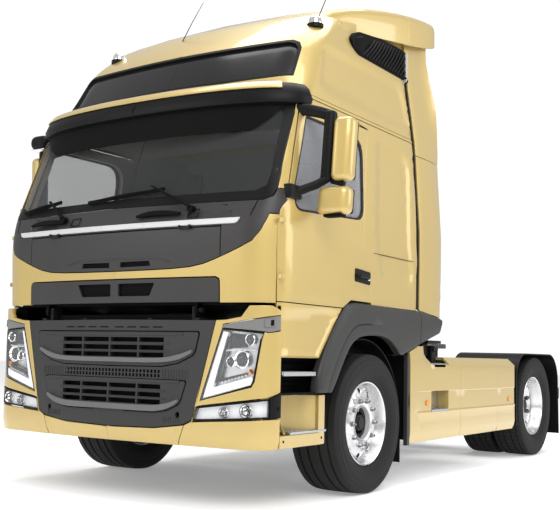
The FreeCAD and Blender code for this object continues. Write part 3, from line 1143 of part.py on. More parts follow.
def build_cabin():
    """What shows through the glass: dashboard, steering wheel, seats and bunk."""
    inner = cab_form("cabin_space", CAB_LEVELS, "wall + fit", False)
    dash = side_prism("dash", "-dash_half", "dash_half", [
        ("-1330", "1700"), ("-1330", "1950"), ("-1190", "dash_high"), ("-820", "dash_high - 40"),
        ("-dash_rear", "dash_high - 160"), ("-dash_rear - 40", "dash_low"), ("-1000", "1500"),
        ("-1330", "1500")])
    subpart("dashboard", common("dashboard_solid", dash, inner))
    centre = ("seat_x", "-steering_y", "steering_z")
    rim = rod("steering_disc", "z", "steering_r + steering_grip", *centre, "steering_grip * 2",
              "rim_sides")
    eye = rod("steering_eye", "z", "steering_r - steering_grip", *centre, "steering_grip * 2",
              "rim_sides")
    bar = rod("steering_bar", "x", "steering_grip", "seat_x - steering_r", centre[1], centre[2],
              "steering_r * 2")
    hub = rod("steering_hub", "z", "steering_grip * 4", *centre, "steering_grip * 2",
              "rim_sides")
    column = rod("steering_column", "z", "steering_grip * 2", *centre, "column_length",
                 "rim_sides")
    for piece, angle in ((rim, -28), (eye, -28), (hub, -28 + 180), (column, -28 + 180)):
        piece.Placement = FreeCAD.Placement(
            FreeCAD.Vector(), FreeCAD.Rotation(FreeCAD.Vector(1, 0, 0), angle))
        for axis, value in zip("xyz", (centre[0], MIDDLE + " + " + centre[1], centre[2])):
            bind(piece, "Placement.Base." + axis, value)
    wheel = fuse("steering_solid", cut("steering_ring", rim, eye), bar, hub, column)
    subpart("steering_wheel", cut("steering_cut", wheel, dash))
    seats = []
    for side, sign in (("left", ""), ("right", "-")):
        middle = sign + "seat_x"
        seats.append(side_prism("seat_" + side, middle + " - seat_half", middle + " + seat_half", [
            ("-seat_front", "floor_low + floor_depth"), ("-seat_front", "seat_high"),
            ("-seat_rear - 120", "seat_high - 40"), ("-seat_rear - 20", "seat_back_high"),
            ("-seat_rear + 110", "seat_back_high"), ("-seat_rear", "seat_high - 60"),
            ("-seat_rear", "floor_low + floor_depth")]))
    subpart("seats", together("seats_pair", *seats))
    bunk = block("bunk_block", ("-body_half", "body_half"), ("bunk_front", "cab_rear"),
                 ("floor_low + floor_depth", "bunk_high"))
    subpart("bunk", common("bunk_solid", bunk, inner))


def check_and_write():
    """Recompute the document, stop on any failed object and write each sub-part."""
    DOCUMENT.recompute()
    failed = [item.Name for item in DOCUMENT.Objects
              if "Invalid" in item.State or "Error" in item.State]
    if failed:
        raise RuntimeError("objects failed: %s" % ", ".join(failed))
    os.makedirs("parts", exist_ok=True)
    for piece in SUBPARTS:
        shape = piece.Shape
        if shape.isNull() or not shape.isValid() or not shape.Solids:
            raise RuntimeError("bad shape: %s" % piece.Label)
        shape.exportStep("parts/%s.step" % piece.Label)
        box = shape.BoundBox
        print("%-20s solids %2d  volume %8.2f l  x %5.0f %5.0f  y %5.0f %5.0f  z %5.0f %5.0f" % (
            piece.Label, len(shape.Solids), shape.Volume / 1e6, box.XMin, box.XMax, box.YMin,
            box.YMax, box.ZMin, box.ZMax))


fill_sheet()
build_frame()
build_engine()
LEAF_SPRINGS = build_front_axle()
build_knuckle("left", "")
build_knuckle("right", "-")
build_tie_rod()
build_rear_axle(LEAF_SPRINGS)
build_wheels()
build_front()
build_steps()
build_arches()
build_rear_fenders()
build_skirts()
build_coupling()
CAB_OUTER = build_cab()
build_roof(CAB_OUTER)
build_mirrors(CAB_OUTER)
build_kerb_mirror(CAB_OUTER)
build_wipers(CAB_OUTER)
build_cabin()
check_and_write()
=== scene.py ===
"""Studio scene of a two-axle tractor unit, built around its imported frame."""
from __future__ import annotations

import json
import logging
import math
from dataclasses import dataclass, field
from enum import Enum
from typing import Callable, Iterable, Sequence

import bmesh
import bpy
import numpy as np
from mathutils import Matrix, Vector
from mathutils.geometry import delaunay_2d_cdt

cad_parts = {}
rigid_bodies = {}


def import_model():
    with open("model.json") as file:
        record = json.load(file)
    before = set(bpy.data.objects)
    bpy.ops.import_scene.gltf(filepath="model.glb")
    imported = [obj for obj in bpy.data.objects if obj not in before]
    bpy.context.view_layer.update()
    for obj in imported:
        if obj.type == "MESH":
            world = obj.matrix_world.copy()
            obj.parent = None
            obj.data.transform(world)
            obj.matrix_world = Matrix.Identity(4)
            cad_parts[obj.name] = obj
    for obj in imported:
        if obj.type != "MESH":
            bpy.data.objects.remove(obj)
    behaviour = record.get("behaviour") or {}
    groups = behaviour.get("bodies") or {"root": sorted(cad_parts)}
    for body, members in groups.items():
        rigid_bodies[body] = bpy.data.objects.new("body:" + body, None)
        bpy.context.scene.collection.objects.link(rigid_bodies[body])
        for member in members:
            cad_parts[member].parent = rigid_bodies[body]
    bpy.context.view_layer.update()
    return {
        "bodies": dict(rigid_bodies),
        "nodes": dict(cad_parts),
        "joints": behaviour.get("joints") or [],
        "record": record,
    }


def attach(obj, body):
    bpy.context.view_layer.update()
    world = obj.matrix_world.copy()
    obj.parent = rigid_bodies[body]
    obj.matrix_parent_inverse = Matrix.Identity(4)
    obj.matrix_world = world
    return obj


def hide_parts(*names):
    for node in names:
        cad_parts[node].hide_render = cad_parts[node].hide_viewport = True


LOG = logging.getLogger("tractor_unit")
AXLE_LINE = -1.61  # the front axle line, along the frame's y
SAME_SPOT = 1e-5  # points closer than this are one
BEVEL_ABOVE = 50.0  # degrees of turn from which an edge is broken
Point2 = tuple[float, float]
Point3 = tuple[float, float, float]


class Signal:
    """A shader socket that takes part in Python expressions."""

    def __init__(self, graph: "Graph", socket: bpy.types.NodeSocket) -> None:
        """Hold a socket and the graph it belongs to."""
        self.graph = graph
        self.socket = socket

    def _with(self, operation: str, first: object, second: object) -> "Signal":
        """Add one Math node between two values."""
        return self.graph.node("ShaderNodeMath", {"operation": operation}, {0: first, 1: second})

    def __add__(self, other: object) -> "Signal":
        """Return the sum."""
        return self._with("ADD", self, other)

    __radd__ = __add__

    def __mul__(self, other: object) -> "Signal":
        """Return the product."""
        return self._with("MULTIPLY", self, other)

    __rmul__ = __mul__

    def __sub__(self, other: object) -> "Signal":
        """Return the difference."""
        return self._with("SUBTRACT", self, other)

    def __rsub__(self, other: object) -> "Signal":
        """Return the reflected difference."""
        return self._with("SUBTRACT", other, self)

    def wave(self, period: float) -> "Signal":
        """Return a rounded wave from 0 to 1 that repeats over a length."""
        turned = self._with("SINE", self * (2 * math.pi / period), 0.0)
        return turned * 0.5 + 0.5


class Graph:
    """The node tree of one material, with a Principled shader at its end."""

    def __init__(self, name: str) -> None:
        """Start an empty tree for a new material.

        Args:
            name: the material's name.
        """
        self.material = bpy.data.materials.new(name)
        self.material.use_nodes = True
        self.tree = self.material.node_tree
        self.tree.nodes.clear()
        self.out = self.tree.nodes.new("ShaderNodeOutputMaterial")
        self.shader = self.tree.nodes.new("ShaderNodeBsdfPrincipled")
        self.tree.links.new(self.shader.outputs[0], self.out.inputs["Surface"])

    def node(self, kind: str, settings: dict[str, object] | None = None,
             inputs: dict[object, object] | None = None, output: object = 0) -> Signal:
        """Add one node.

        Args:
            kind: the node's type.
            settings: its own settings, set first.
            inputs: values or signals for its sockets, by name or number.
            output: the socket to return, by name or number.

        Returns:
            The chosen output as a signal.
        """
        made = self.tree.nodes.new(kind)
        for name, value in (settings or {}).items():
            setattr(made, name, value)
        for name, value in (inputs or {}).items():
            if isinstance(value, Signal):
                self.tree.links.new(value.socket, made.inputs[name])
            else:
                made.inputs[name].default_value = value
        return Signal(self, made.outputs[output])

    def place(self) -> Signal:
        """Return the object's own coordinates, which are metres in the row frame."""
        return self.node("ShaderNodeTexCoord", output="Object")

    def axes(self) -> tuple[Signal, Signal, Signal]:
        """Return the three coordinates apart."""
        split = self.node("ShaderNodeSeparateXYZ", inputs={0: self.place()})
        return tuple(Signal(self, output) for output in split.socket.node.outputs)

    def noise(self, scale: float, detail: float = 2.0) -> Signal:
        """Return a cloudy value about 0.5."""
        return self.node("ShaderNodeTexNoise", inputs={
            "Vector": self.place(), "Scale": scale, "Detail": detail})

    def blend(self, mask: object, first: object, second: object) -> Signal:
        """Mix two colours by a mask.

        Args:
            mask: how much of the second colour shows, from 0 to 1.
            first: a colour or a signal.
            second: a colour or a signal.

        Returns:
            The mixed colour.
        """
        made = self.node("ShaderNodeMix", {"data_type": "RGBA"}, {0: mask}).socket.node
        for socket, value in ((made.inputs[6], first), (made.inputs[7], second)):
            if isinstance(value, Signal):
                self.tree.links.new(value.socket, socket)
            else:
                socket.default_value = (*value, 1.0)
        return Signal(self, made.outputs[2])

    def relief(self, height: Signal, distance: float, strength: float = 1.0) -> None:
        """Drive the surface's normal from a height.

        Args:
            height: the signal taken as a height.
            distance: how high it stands at 1, in metres.
            strength: how strongly it shows.
        """
        bump = self.node("ShaderNodeBump", inputs={
            "Height": height, "Distance": distance, "Strength": strength})
        self.tree.links.new(bump.socket, self.shader.inputs["Normal"])

    def finish(self, **sockets: object) -> bpy.types.Material:
        """Set the shader's sockets and return the material.

        Args:
            **sockets: values or signals by the sockets' names, with _ for a space.

        Returns:
            The finished material.
        """
        for name, value in sockets.items():
            socket = self.shader.inputs[name.replace("_", " ")]
            if isinstance(value, Signal):
                self.tree.links.new(value.socket, socket)
            elif isinstance(value, tuple) and len(value) == 3 and socket.type == "RGBA":
                socket.default_value = (*value, 1.0)
            else:
                socket.default_value = value
        return self.material


class Coat(Enum):
    """How a finish is made up."""

    PAINT = "paint"
    PLASTIC = "plastic"
    RUBBER = "rubber"
    METAL = "metal"
    CAST = "cast"
    GLASS = "glass"
    CLOTH = "cloth"


@dataclass(frozen=True)
class Finish:
    """One finish: its colour, its make-up and the scale of its grain."""

    name: str
    coat: Coat
    colour: Point3
    rough: float = 0.4
    grain: float = 400.0
    depth: float = 0.00005
    slot: str = ""
    gloss: float = 0.32
    alpha: float = 1.0
    made: dict[str, bpy.types.Material] = field(default_factory=dict, compare=False, hash=False)

    def material(self) -> bpy.types.Material:
        """Return the material, built once.

        Returns:
            The material.
        """
        if self.name not in self.made:
            builders: dict[Coat, Callable[[], bpy.types.Material]] = {
                Coat.PAINT: self._paint, Coat.PLASTIC: self._plastic, Coat.RUBBER: self._rubber,
                Coat.METAL: self._metal, Coat.CAST: self._cast, Coat.GLASS: self._glass,
                Coat.CLOTH: self._cloth}
            self.made[self.name] = builders[self.coat]()
        return self.made[self.name]

    def _shade(self, factor: float) -> Point3:
        """Return the colour made lighter or darker."""
        return tuple(min(1.0, part * factor) for part in self.colour)

    def _paint(self) -> bpy.types.Material:
        """Metallic lacquer: fine flakes under a clear coat.

        Returns:
            The new material.
        """
        graph = Graph(self.name)
        flakes = graph.noise(900.0, 1.0)
        cloud = graph.noise(1.6, 2.0)
        base = graph.blend(flakes, self._shade(0.93), self._shade(1.07))
        base = graph.blend(cloud * 0.25, base, self._shade(0.9))
        graph.relief(graph.noise(45.0, 2.0), 0.0002, 0.12)
        return graph.finish(Base_Color=base, Metallic=0.35, Roughness=flakes * 0.08 + self.rough,
                            Coat_Weight=0.8, Coat_Roughness=0.06)

    def _plastic(self) -> bpy.types.Material:
        """Moulded plastic with a fine pebble grain.

        Returns:
            The new material.
        """
        graph = Graph(self.name)
        grain = graph.noise(self.grain, 3.0)
        wear = graph.noise(3.0, 4.0)
        base = graph.blend(wear, self._shade(0.85), self._shade(1.15))
        graph.relief(grain, self.depth, 0.6)
        return graph.finish(Base_Color=base, Roughness=wear * 0.12 + (self.rough - 0.06),
                            Specular_IOR_Level=self.gloss)

    def _rubber(self) -> bpy.types.Material:
        """Rubber: dark, dull, with a dusty bloom.

        Returns:
            The new material.
        """
        graph = Graph(self.name)
        dust = graph.noise(6.0, 5.0)
        base = graph.blend(dust, self._shade(0.7), self._shade(1.5))
        graph.relief(graph.noise(self.grain, 4.0), self.depth, 0.7)
        return graph.finish(Base_Color=base, Roughness=dust * 0.15 + self.rough,
                            Specular_IOR_Level=0.25)

    def _metal(self) -> bpy.types.Material:
        """Bare or plated metal with fine machining lines.

        Returns:
            The new material.
        """
        graph = Graph(self.name)
        cloud = graph.noise(14.0, 4.0)
        lines = graph.noise(self.grain, 1.0)
        base = graph.blend(cloud, self._shade(0.88), self._shade(1.06))
        graph.relief(lines, self.depth, 0.35)
        return graph.finish(Base_Color=base, Metallic=1.0,
                            Roughness=cloud * 0.14 + (self.rough - 0.05))

    def _cast(self) -> bpy.types.Material:
        """Painted casting with a sand-cast skin and cloudy patches of dust.

        Returns:
            The new material.
        """
        graph = Graph(self.name)
        skin = graph.noise(self.grain, 6.0)
        dust = graph.noise(5.0, 5.0)
        base = graph.blend(dust, self._shade(0.75), self._shade(1.6))
        graph.relief(skin, self.depth * 4, 0.8)
        return graph.finish(Base_Color=base, Metallic=0.2, Roughness=skin * 0.2 + self.rough,
                            Specular_IOR_Level=0.3)

    def _glass(self) -> bpy.types.Material:
        """Tinted pane: mostly see-through, with a sharp gloss.

        Returns:
            The new material.
        """
        graph = Graph(self.name)
        cloud = graph.noise(4.0, 2.0)
        base = graph.blend(cloud, self._shade(0.9), self._shade(1.1))
        return graph.finish(Base_Color=base, Roughness=self.rough, Alpha=self.alpha,
                            Specular_IOR_Level=self.gloss, Coat_Weight=0.3,
                            Coat_Roughness=0.02)

    def _cloth(self) -> bpy.types.Material:
        """Woven seat cloth.

        Returns:
            The new material.
        """
        graph = Graph(self.name)
        x, y, z = graph.axes()
        weave = x.wave(0.004) * (y + z).wave(0.004)
        base = graph.blend(weave, self._shade(0.7), self._shade(1.3))
        graph.relief(weave, 0.0006, 0.8)
        return graph.finish(Base_Color=base, Roughness=0.9)


GOLD = Finish("gold_lacquer", Coat.PAINT, (0.50, 0.365, 0.115), 0.32, slot="roof_paint")
DARK = Finish("dark_moulding", Coat.PLASTIC, (0.030, 0.0285, 0.028), 0.42, slot="dark_plastic")
BLACK = Finish("black_moulding", Coat.PLASTIC, (0.0055, 0.0055, 0.0055), 0.42,
               slot="black_plastic", gloss=0.12)
GLOSS = Finish("gloss_black", Coat.PLASTIC, (0.010, 0.010, 0.011), 0.14, 60.0, 0.00001,
               slot="black_plastic")
MATT = Finish("matt_black", Coat.PLASTIC, (0.004, 0.004, 0.004), 0.6, slot="black_plastic",
              gloss=0.06)
LIPS = Finish("pale_grey_moulding", Coat.PLASTIC, (0.115, 0.113, 0.112), 0.4, slot="trim_grey")
HOUSING = Finish("housing_grey", Coat.PLASTIC, (0.16, 0.16, 0.155), 0.4, slot="trim_grey")
BOLTS = Finish("wheel_nut_steel", Coat.METAL, (0.32, 0.32, 0.33), 0.35, slot="alloy")
GREY = Finish("grey_moulding", Coat.PLASTIC, (0.025, 0.0245, 0.024), 0.45, slot="trim_grey")
SILVER = Finish("silver_moulding", Coat.PLASTIC, (0.50, 0.50, 0.51), 0.28, slot="silver")
STEEL = Finish("tread_steel", Coat.METAL, (0.48, 0.49, 0.50), 0.36, 160.0, slot="alloy")
RUBBER = Finish("tyre_rubber", Coat.RUBBER, (0.010, 0.010, 0.010), 0.66, 60.0, 0.0004, slot="tyre")
SEAL = Finish("seal_rubber", Coat.RUBBER, (0.010, 0.010, 0.010), 0.55, 120.0, 0.0001,
              slot="rubber")
ALLOY = Finish("polished_alloy", Coat.METAL, (0.66, 0.66, 0.67), 0.26, 250.0, slot="alloy")
TANK = Finish("brushed_alloy", Coat.METAL, (0.55, 0.56, 0.57), 0.32, 120.0, slot="tank_alloy")
CHROME = Finish("chrome", Coat.METAL, (0.9, 0.9, 0.9), 0.08, 200.0, 0.00001, slot="alloy")
CAST = Finish("painted_casting", Coat.CAST, (0.016, 0.016, 0.017), 0.5, 90.0, slot="cast")
CHASSIS = Finish("chassis_paint", Coat.CAST, (0.007, 0.007, 0.007), 0.5, 30.0, 0.00002,
                 slot="frame_steel")
GREASE = Finish("greased_plate", Coat.METAL, (0.16, 0.15, 0.14), 0.35, 40.0, 0.0003,
                slot="greased_steel")
PANE = Finish("tinted_pane", Coat.GLASS, (0.06, 0.065, 0.065), 0.03, slot="glass", alpha=0.22)
DOOR_PANE = Finish("door_pane_tint", Coat.GLASS, (0.42, 0.43, 0.46), 0.03, slot="glass",
                   alpha=0.34)
LENS = Finish("lamp_lens", Coat.GLASS, (0.80, 0.83, 0.85), 0.03, slot="lamp_clear", alpha=0.06)
RED = Finish("red_lens", Coat.PLASTIC, (0.35, 0.010, 0.010), 0.15, 300.0, slot="lamp_red")
AMBER = Finish("amber_lens", Coat.PLASTIC, (0.80, 0.26, 0.02), 0.15, 300.0, slot="lamp_clear")
WHITE = Finish("light_guide", Coat.PLASTIC, (0.80, 0.81, 0.84), 0.2, 300.0, slot="lamp_clear")
LINING = Finish("cab_lining", Coat.PLASTIC, (0.34, 0.32, 0.29), 0.75, slot="dark_plastic")
CLOTH = Finish("seat_cloth", Coat.CLOTH, (0.06, 0.055, 0.05), slot="cloth")

NODE_FINISH: dict[str, Finish] = {name: finish for finish, names in (
    (CHASSIS, ("chassis_frame", "suspension_springs", "bumper_beam", "tail_bar", "tie_rod")),
    (CAST, ("engine_block", "drive_line", "front_axle", "rear_axle", "coupling_base",
            "knuckle_left", "knuckle_right")),
    (BLACK, ("front_mudguards", "rear_fenders")), (TANK, ("fuel_tanks", "deck_plate")),
    (MATT, ("radiator",)), (RED, ("tail_lamps",)), (GREASE, ("fifth_wheel",)))
    for name in names}


def unit(vector: Sequence[float]) -> np.ndarray:
    """Return a vector at length one."""
    vector = np.asarray(vector, float)
    return vector / max(float(np.linalg.norm(vector)), 1e-12)


@dataclass
class Shape:
    """Points and faces in metres: x across, y behind the front axle line, z up."""

    points: list[Point3] = field(default_factory=list)
    faces: list[tuple[int, ...]] = field(default_factory=list)

    def __add__(self, other: "Shape") -> "Shape":
        """Return both shapes as one.

        Args:
            other: the shape to add.

        Returns:
            The joined shape.
        """
        shift = len(self.points)
        return Shape(self.points + other.points,
                     self.faces + [tuple(spot + shift for spot in face) for face in other.faces])

    def mapped(self, move: Callable[[Point3], Point3], flip: bool = False) -> "Shape":
        """Return the shape with each point moved, and its faces turned over on request."""
        faces = [face[::-1] for face in self.faces] if flip else list(self.faces)
        return Shape([tuple(move(point)) for point in self.points], faces)

    def moved(self, across: float = 0.0, along: float = 0.0, up: float = 0.0) -> "Shape":
        """Return the shape shifted."""
        return self.mapped(lambda p: (p[0] + across, p[1] + along, p[2] + up))

    def turned(self, axis: str, degrees: float, about: Point3 = (0.0, 0.0, 0.0)) -> "Shape":
        """Return the shape turned round an axis through a point.

        Args:
            axis: the name of the axis.
            degrees: how far to turn.
            about: a point on the axis.

        Returns:
            The turned shape.
        """
        turn = Matrix.Rotation(math.radians(degrees), 3, axis)
        centre = Vector(about)
        return self.mapped(lambda p: tuple(turn @ (Vector(p) - centre) + centre))

    def mirrored(self) -> "Shape":
        """Return the shape on the other side of the vehicle."""
        return self.mapped(lambda p: (-p[0], p[1], p[2]), True)

    def both(self) -> "Shape":
        """Return the shape together with its mirror image."""
        return self + self.mirrored()


def join(shapes: Iterable[Shape]) -> Shape:
    """Return many shapes as one.

    Args:
        shapes: the shapes to join.

    Returns:
        The joined shape.
    """
    whole = Shape()
    for shape in shapes:
        shift = len(whole.points)
        whole.points += shape.points
        whole.faces += [tuple(spot + shift for spot in face) for face in shape.faces]
    return whole


def resample(loop: Sequence[Point2], step: float, closed: bool = True) -> list[Point2]:
    """Return a line with points added so that no run is longer than a step.

    Args:
        loop: the line.
        step: the longest run allowed, or 0 to leave it.
        closed: whether its last point joins its first.

    Returns:
        The points.
    """
    result: list[Point2] = []
    count = len(loop)
    for place in range(count if closed else count - 1):
        start, end = loop[place], loop[(place + 1) % count]
        parts = max(1, math.ceil(math.dist(start, end) / step)) if step else 1
        result += [(start[0] + (end[0] - start[0]) * part / parts,
                    start[1] + (end[1] - start[1]) * part / parts) for part in range(parts)]
    return result if closed else result + [tuple(loop[-1])]


def between(start: Point2, end: Point2, shares: Iterable[float]) -> list[Point2]:
    """Return the points at shares of the way from one to another."""
    return [(start[0] + (end[0] - start[0]) * share, start[1] + (end[1] - start[1]) * share)
            for share in shares]


def oblong(left: float, right: float, low: float, high: float) -> list[Point2]:
    """Return the four corners of an upright oblong."""
    return [(left, low), (right, low), (right, high), (left, high)]


def rounded(loop: Sequence[Point2], radius: float | Sequence[float],
            parts: int = 5) -> list[Point2]:
    """Return a closed outline with its corners rounded.

    Args:
        loop: the outline.
        radius: how far each corner's curve reaches, for all or one by one.
        parts: how many edges a curve has.

    Returns:
        The new outline.
    """
    result: list[Point2] = []
    count = len(loop)
    for place, corner in enumerate(loop):
        reach = radius[place] if isinstance(radius, (list, tuple)) else radius
        corner = np.array(corner, float)
        before = np.array(loop[place - 1], float) - corner
        after = np.array(loop[(place + 1) % count], float) - corner
        if reach <= 0:
            result.append(tuple(corner))
            continue
        back = min(reach, np.linalg.norm(before) * 0.48)
        front = min(reach, np.linalg.norm(after) * 0.48)
        start, end = corner + unit(before) * back, corner + unit(after) * front
        for part in range(parts + 1):
            share = part / parts
            spot = (start * (1 - share) ** 2 + corner * 2 * share * (1 - share) + end * share ** 2)
            result.append((float(spot[0]), float(spot[1])))
    return result


def smooth_line(points: Sequence[Sequence[float]], parts: int = 6) -> list[tuple[float, ...]]:
    """Return points along a soft curve through the given ones.

    Args:
        points: the points that the curve goes through.
        parts: how many edges it has between two of them.

    Returns:
        The points of the curve.
    """
    spots = [np.array(point, float) for point in points]
    spots = [spots[0] * 2 - spots[1], *spots, spots[-1] * 2 - spots[-2]]
    result = []
    for a, b, c, d in zip(spots, spots[1:], spots[2:], spots[3:]):
        for part in range(parts):
            t = part / parts
            result.append(tuple(0.5 * (2 * b + (c - a) * t + (2 * a - 5 * b + 4 * c - d) * t * t
                                       + (3 * b - a - 3 * c + d) * t ** 3)))
    return result + [tuple(spots[-2])]


def inside(loops: Sequence[Sequence[Point2]], spots: np.ndarray) -> np.ndarray:
    """Return which spots lie within an odd number of the loops.

    Args:
        loops: closed outlines.
        spots: the spots to test.

    Returns:
        True for each spot that lies within.
    """
    odd = np.zeros(len(spots), bool)
    for loop in loops:
        ring = np.array(loop, float)
        for (x0, y0), (x1, y1) in zip(ring, np.roll(ring, -1, 0)):
            if y0 == y1:
                continue
            crosses = (y0 > spots[:, 1]) != (y1 > spots[:, 1])
            odd ^= crosses & (spots[:, 0] < (x1 - x0) * (spots[:, 1] - y0) / (y1 - y0) + x0)
    return odd


def clearance(loops: Sequence[Sequence[Point2]], spots: np.ndarray) -> np.ndarray:
    """Return each spot's distance to the nearest loop.

    Args:
        loops: closed outlines.
        spots: the spots to measure from.

    Returns:
        The distances.
    """
    best = np.full(len(spots), 1e9)
    for loop in loops:
        ring = np.array(loop, float)
        for start, end in zip(ring, np.roll(ring, -1, 0)):
            run = end - start
            share = np.clip(((spots - start) @ run) / max(run @ run, 1e-12), 0.0, 1.0)
            best = np.minimum(best, np.linalg.norm(spots - start - share[:, None] * run, axis=1))
    return best


def fill(loops: Sequence[Sequence[Point2]], lines: Sequence[Sequence[Point2]] = (),
         step: float = 0.0) -> tuple[np.ndarray, list[tuple[int, int, int]]]:
    """Fill an outline, less its holes, with triangles.

    Args:
        loops: the closed outline and its holes.
        lines: closed loops that the triangles keep to, for creases.
        step: the spacing of points on the loops and inside, or 0 for none.

    Returns:
        The points, and triangles of their numbers.
    """
    every = [resample(loop, step) for loop in (*loops, *lines)]
    borders = every[:len(loops)]
    points = [spot for loop in every for spot in loop]
    edges = []
    start = 0
    for loop in every:
        edges += [(start + spot, start + (spot + 1) % len(loop)) for spot in range(len(loop))]
        start += len(loop)
    if step:
        ring = np.array(borders[0])
        low, high = ring.min(0), ring.max(0)
        grid = np.stack(np.meshgrid(np.arange(low[0] + step / 2, high[0], step),
                                    np.arange(low[1] + step / 2, high[1], step)), -1).reshape(-1, 2)
        if len(grid):
            grid = grid[inside(borders, grid)]
        if len(grid):
            grid = grid[clearance(every, grid) > step * 0.45]
        points += [tuple(spot) for spot in grid]
    found = delaunay_2d_cdt([Vector(spot) for spot in points], edges, [], 0, 1e-6)
    spots = np.array([tuple(spot) for spot in found[0]])
    triangles = np.array([face for face in found[2] if len(face) == 3])
    keep = inside(borders, spots[triangles].mean(1))
    return spots, [tuple(int(spot) for spot in face) for face in triangles[keep]]


def thicken(outer: np.ndarray, inner: np.ndarray, triangles: list[tuple[int, int, int]]) -> Shape:
    """Return a closed plate between two copies of the same triangles.

    Args:
        outer: the points of the face.
        inner: the points of the back.
        triangles: the triangles of the face.

    Returns:
        The closed plate.
    """
    count = len(outer)
    sides: dict[tuple[int, int], tuple[int, int]] = {}
    for face in triangles:
        for a, b in zip(face, face[1:] + face[:1]):
            if (b, a) in sides:
                del sides[(b, a)]
            else:
                sides[(a, b)] = (a, b)
    faces: list[tuple[int, ...]] = list(triangles)
    faces += [tuple(spot + count for spot in face[::-1]) for face in triangles]
    faces += [(b, a, a + count, b + count) for a, b in sides]
    return Shape([tuple(spot) for spot in outer] + [tuple(spot) for spot in inner], faces)


class Plane(Enum):
    """The plane that a flat outline is drawn on."""

    FRONT = "front"
    SIDE = "side"
    PLAN = "plan"


def slab(plane: Plane, low: float, high: float, *loops: Sequence[Point2],
         step: float = 0.0) -> Shape:
    """Return an outline with holes as a plate between two depths.

    Args:
        plane: the plane of the outline.
        low: the depth of one face.
        high: the depth of the other.
        *loops: the outline and its holes.
        step: the spacing of its points, or 0 for none.

    Returns:
        The plate.
    """
    spots, triangles = fill(loops, step=step)

    def lay(depth: float) -> np.ndarray:
        """Return the outline's points at one depth.

        Args:
            depth: the depth.

        Returns:
            The points in space.
        """
        a, b, c = spots[:, 0], spots[:, 1], np.full(len(spots), depth)
        columns = {Plane.FRONT: (a, c, b), Plane.SIDE: (c, a, b), Plane.PLAN: (a, b, c)}[plane]
        return np.stack(columns, 1)

    return thicken(lay(low), lay(high), triangles)


def box(low: Point3, high: Point3) -> Shape:
    """Return a box between two corners, as a part of a larger shape.

    Args:
        low: the corner with the smallest coordinates.
        high: the corner with the largest.

    Returns:
        The box.
    """
    points = [(x, y, z) for x in (low[0], high[0]) for y in (low[1], high[1])
              for z in (low[2], high[2])]
    return Shape(points, [(0, 1, 3, 2), (4, 6, 7, 5), (0, 4, 5, 1), (2, 3, 7, 6),
                          (0, 2, 6, 4), (1, 5, 7, 3)])


def skin_rings(rings: Sequence[Sequence[Point3]], closed: bool = True,
               around: bool = False) -> Shape:
    """Return the surface through rings of equally many points.

    Args:
        rings: the rings, in order.
        closed: whether a ring's last point joins its first.
        around: whether the last ring joins the first, which leaves no caps.

    Returns:
        The surface.
    """
    count = len(rings[0])
    points = [tuple(point) for ring in rings for point in ring]
    faces: list[tuple[int, ...]] = []
    total = len(rings)
    for row in range(total if around else total - 1):
        following = (row + 1) % total
        for spot in range(count if closed else count - 1):
            after = (spot + 1) % count
            faces.append((row * count + spot, row * count + after,
                          following * count + after, following * count + spot))
    if not around:
        faces.append(tuple(range(count))[::-1])
        faces.append(tuple((total - 1) * count + spot for spot in range(count)))
    return Shape(points, faces)


def turned(profile: Sequence[Point2], centre: Point3, sides: int = 64, axis: str = "x",
           closed: bool = False) -> Shape:
    """Return a turned form from distances along an axis and radii.

    Args:
        profile: distances along the axis, each with a radius.
        centre: the place of the axis's zero.
        sides: how many steps the turn has.
        axis: the name of the axis.
        closed: whether the profile's last point joins its first.

    Returns:
        The turned form.
    """
    rings = []
    for step in range(sides):
        angle = 2 * math.pi * step / sides
        across, up = math.cos(angle), math.sin(angle)
        ring = []
        for reach, radius in profile:
            local = {"x": (reach, radius * across, radius * up),
                     "y": (radius * across, reach, radius * up),
                     "z": (radius * across, radius * up, reach)}[axis]
            ring.append(tuple(a + b for a, b in zip(centre, local)))
        rings.append(ring)
    return skin_rings(rings, closed=closed, around=True)


def tube(path: Sequence[Point3], radius: float | Callable[[float], float], sides: int = 10,
         squash: float = 1.0) -> Shape:
    """Return a round bar along a path.

    Args:
        path: the points along its middle.
        radius: its radius, or the radius at each share of the path.
        sides: how many sides it has.
        squash: its height over its width.

    Returns:
        The bar.
    """
    spots = [np.array(point, float) for point in path]
    rings = []
    lift = np.array((0.0, 0.0, 1.0))
    for place, spot in enumerate(spots):
        ahead = unit(spots[min(place + 1, len(spots) - 1)] - spots[max(place - 1, 0)])
        if place == 0:
            lift = np.array((0.0, 0.0, 1.0)) if abs(ahead[2]) < 0.9 else np.array((1.0, 0.0, 0.0))
        level = unit(np.cross(ahead, lift))
        lift = unit(np.cross(level, ahead))
        size = radius(place / (len(spots) - 1)) if callable(radius) else radius
        rings.append([tuple(spot + level * size * math.cos(turn) + lift * size * squash
                            * math.sin(turn))
                      for turn in (2 * math.pi * side / sides for side in range(sides))])
    return skin_rings(rings)


def plug(low: float, high: float, radius: float, centre: Point3, sides: int = 16,
         axis: str = "x") -> Shape:
    """Return a plain round plug between two distances along an axis."""
    return turned([(low, 0.0), (low, radius), (high, radius), (high, 0.0)], centre, sides, axis)


def bolt(centre: Point3, radius: float, height: float) -> Shape:
    """Return a hexagon nut or bolt head with a chamfered top on a washer.

    Args:
        centre: the middle of its foot.
        radius: its radius over the corners.
        height: how far it stands out.

    Returns:
        The bolt, along x.
    """
    profile = [(0.0, 0.0), (0.0, radius * 1.35), (height * 0.12, radius * 1.35),
               (height * 0.12, radius), (height * 0.85, radius), (height, radius * 0.8),
               (height, 0.0)]
    return turned(profile, centre, 6)


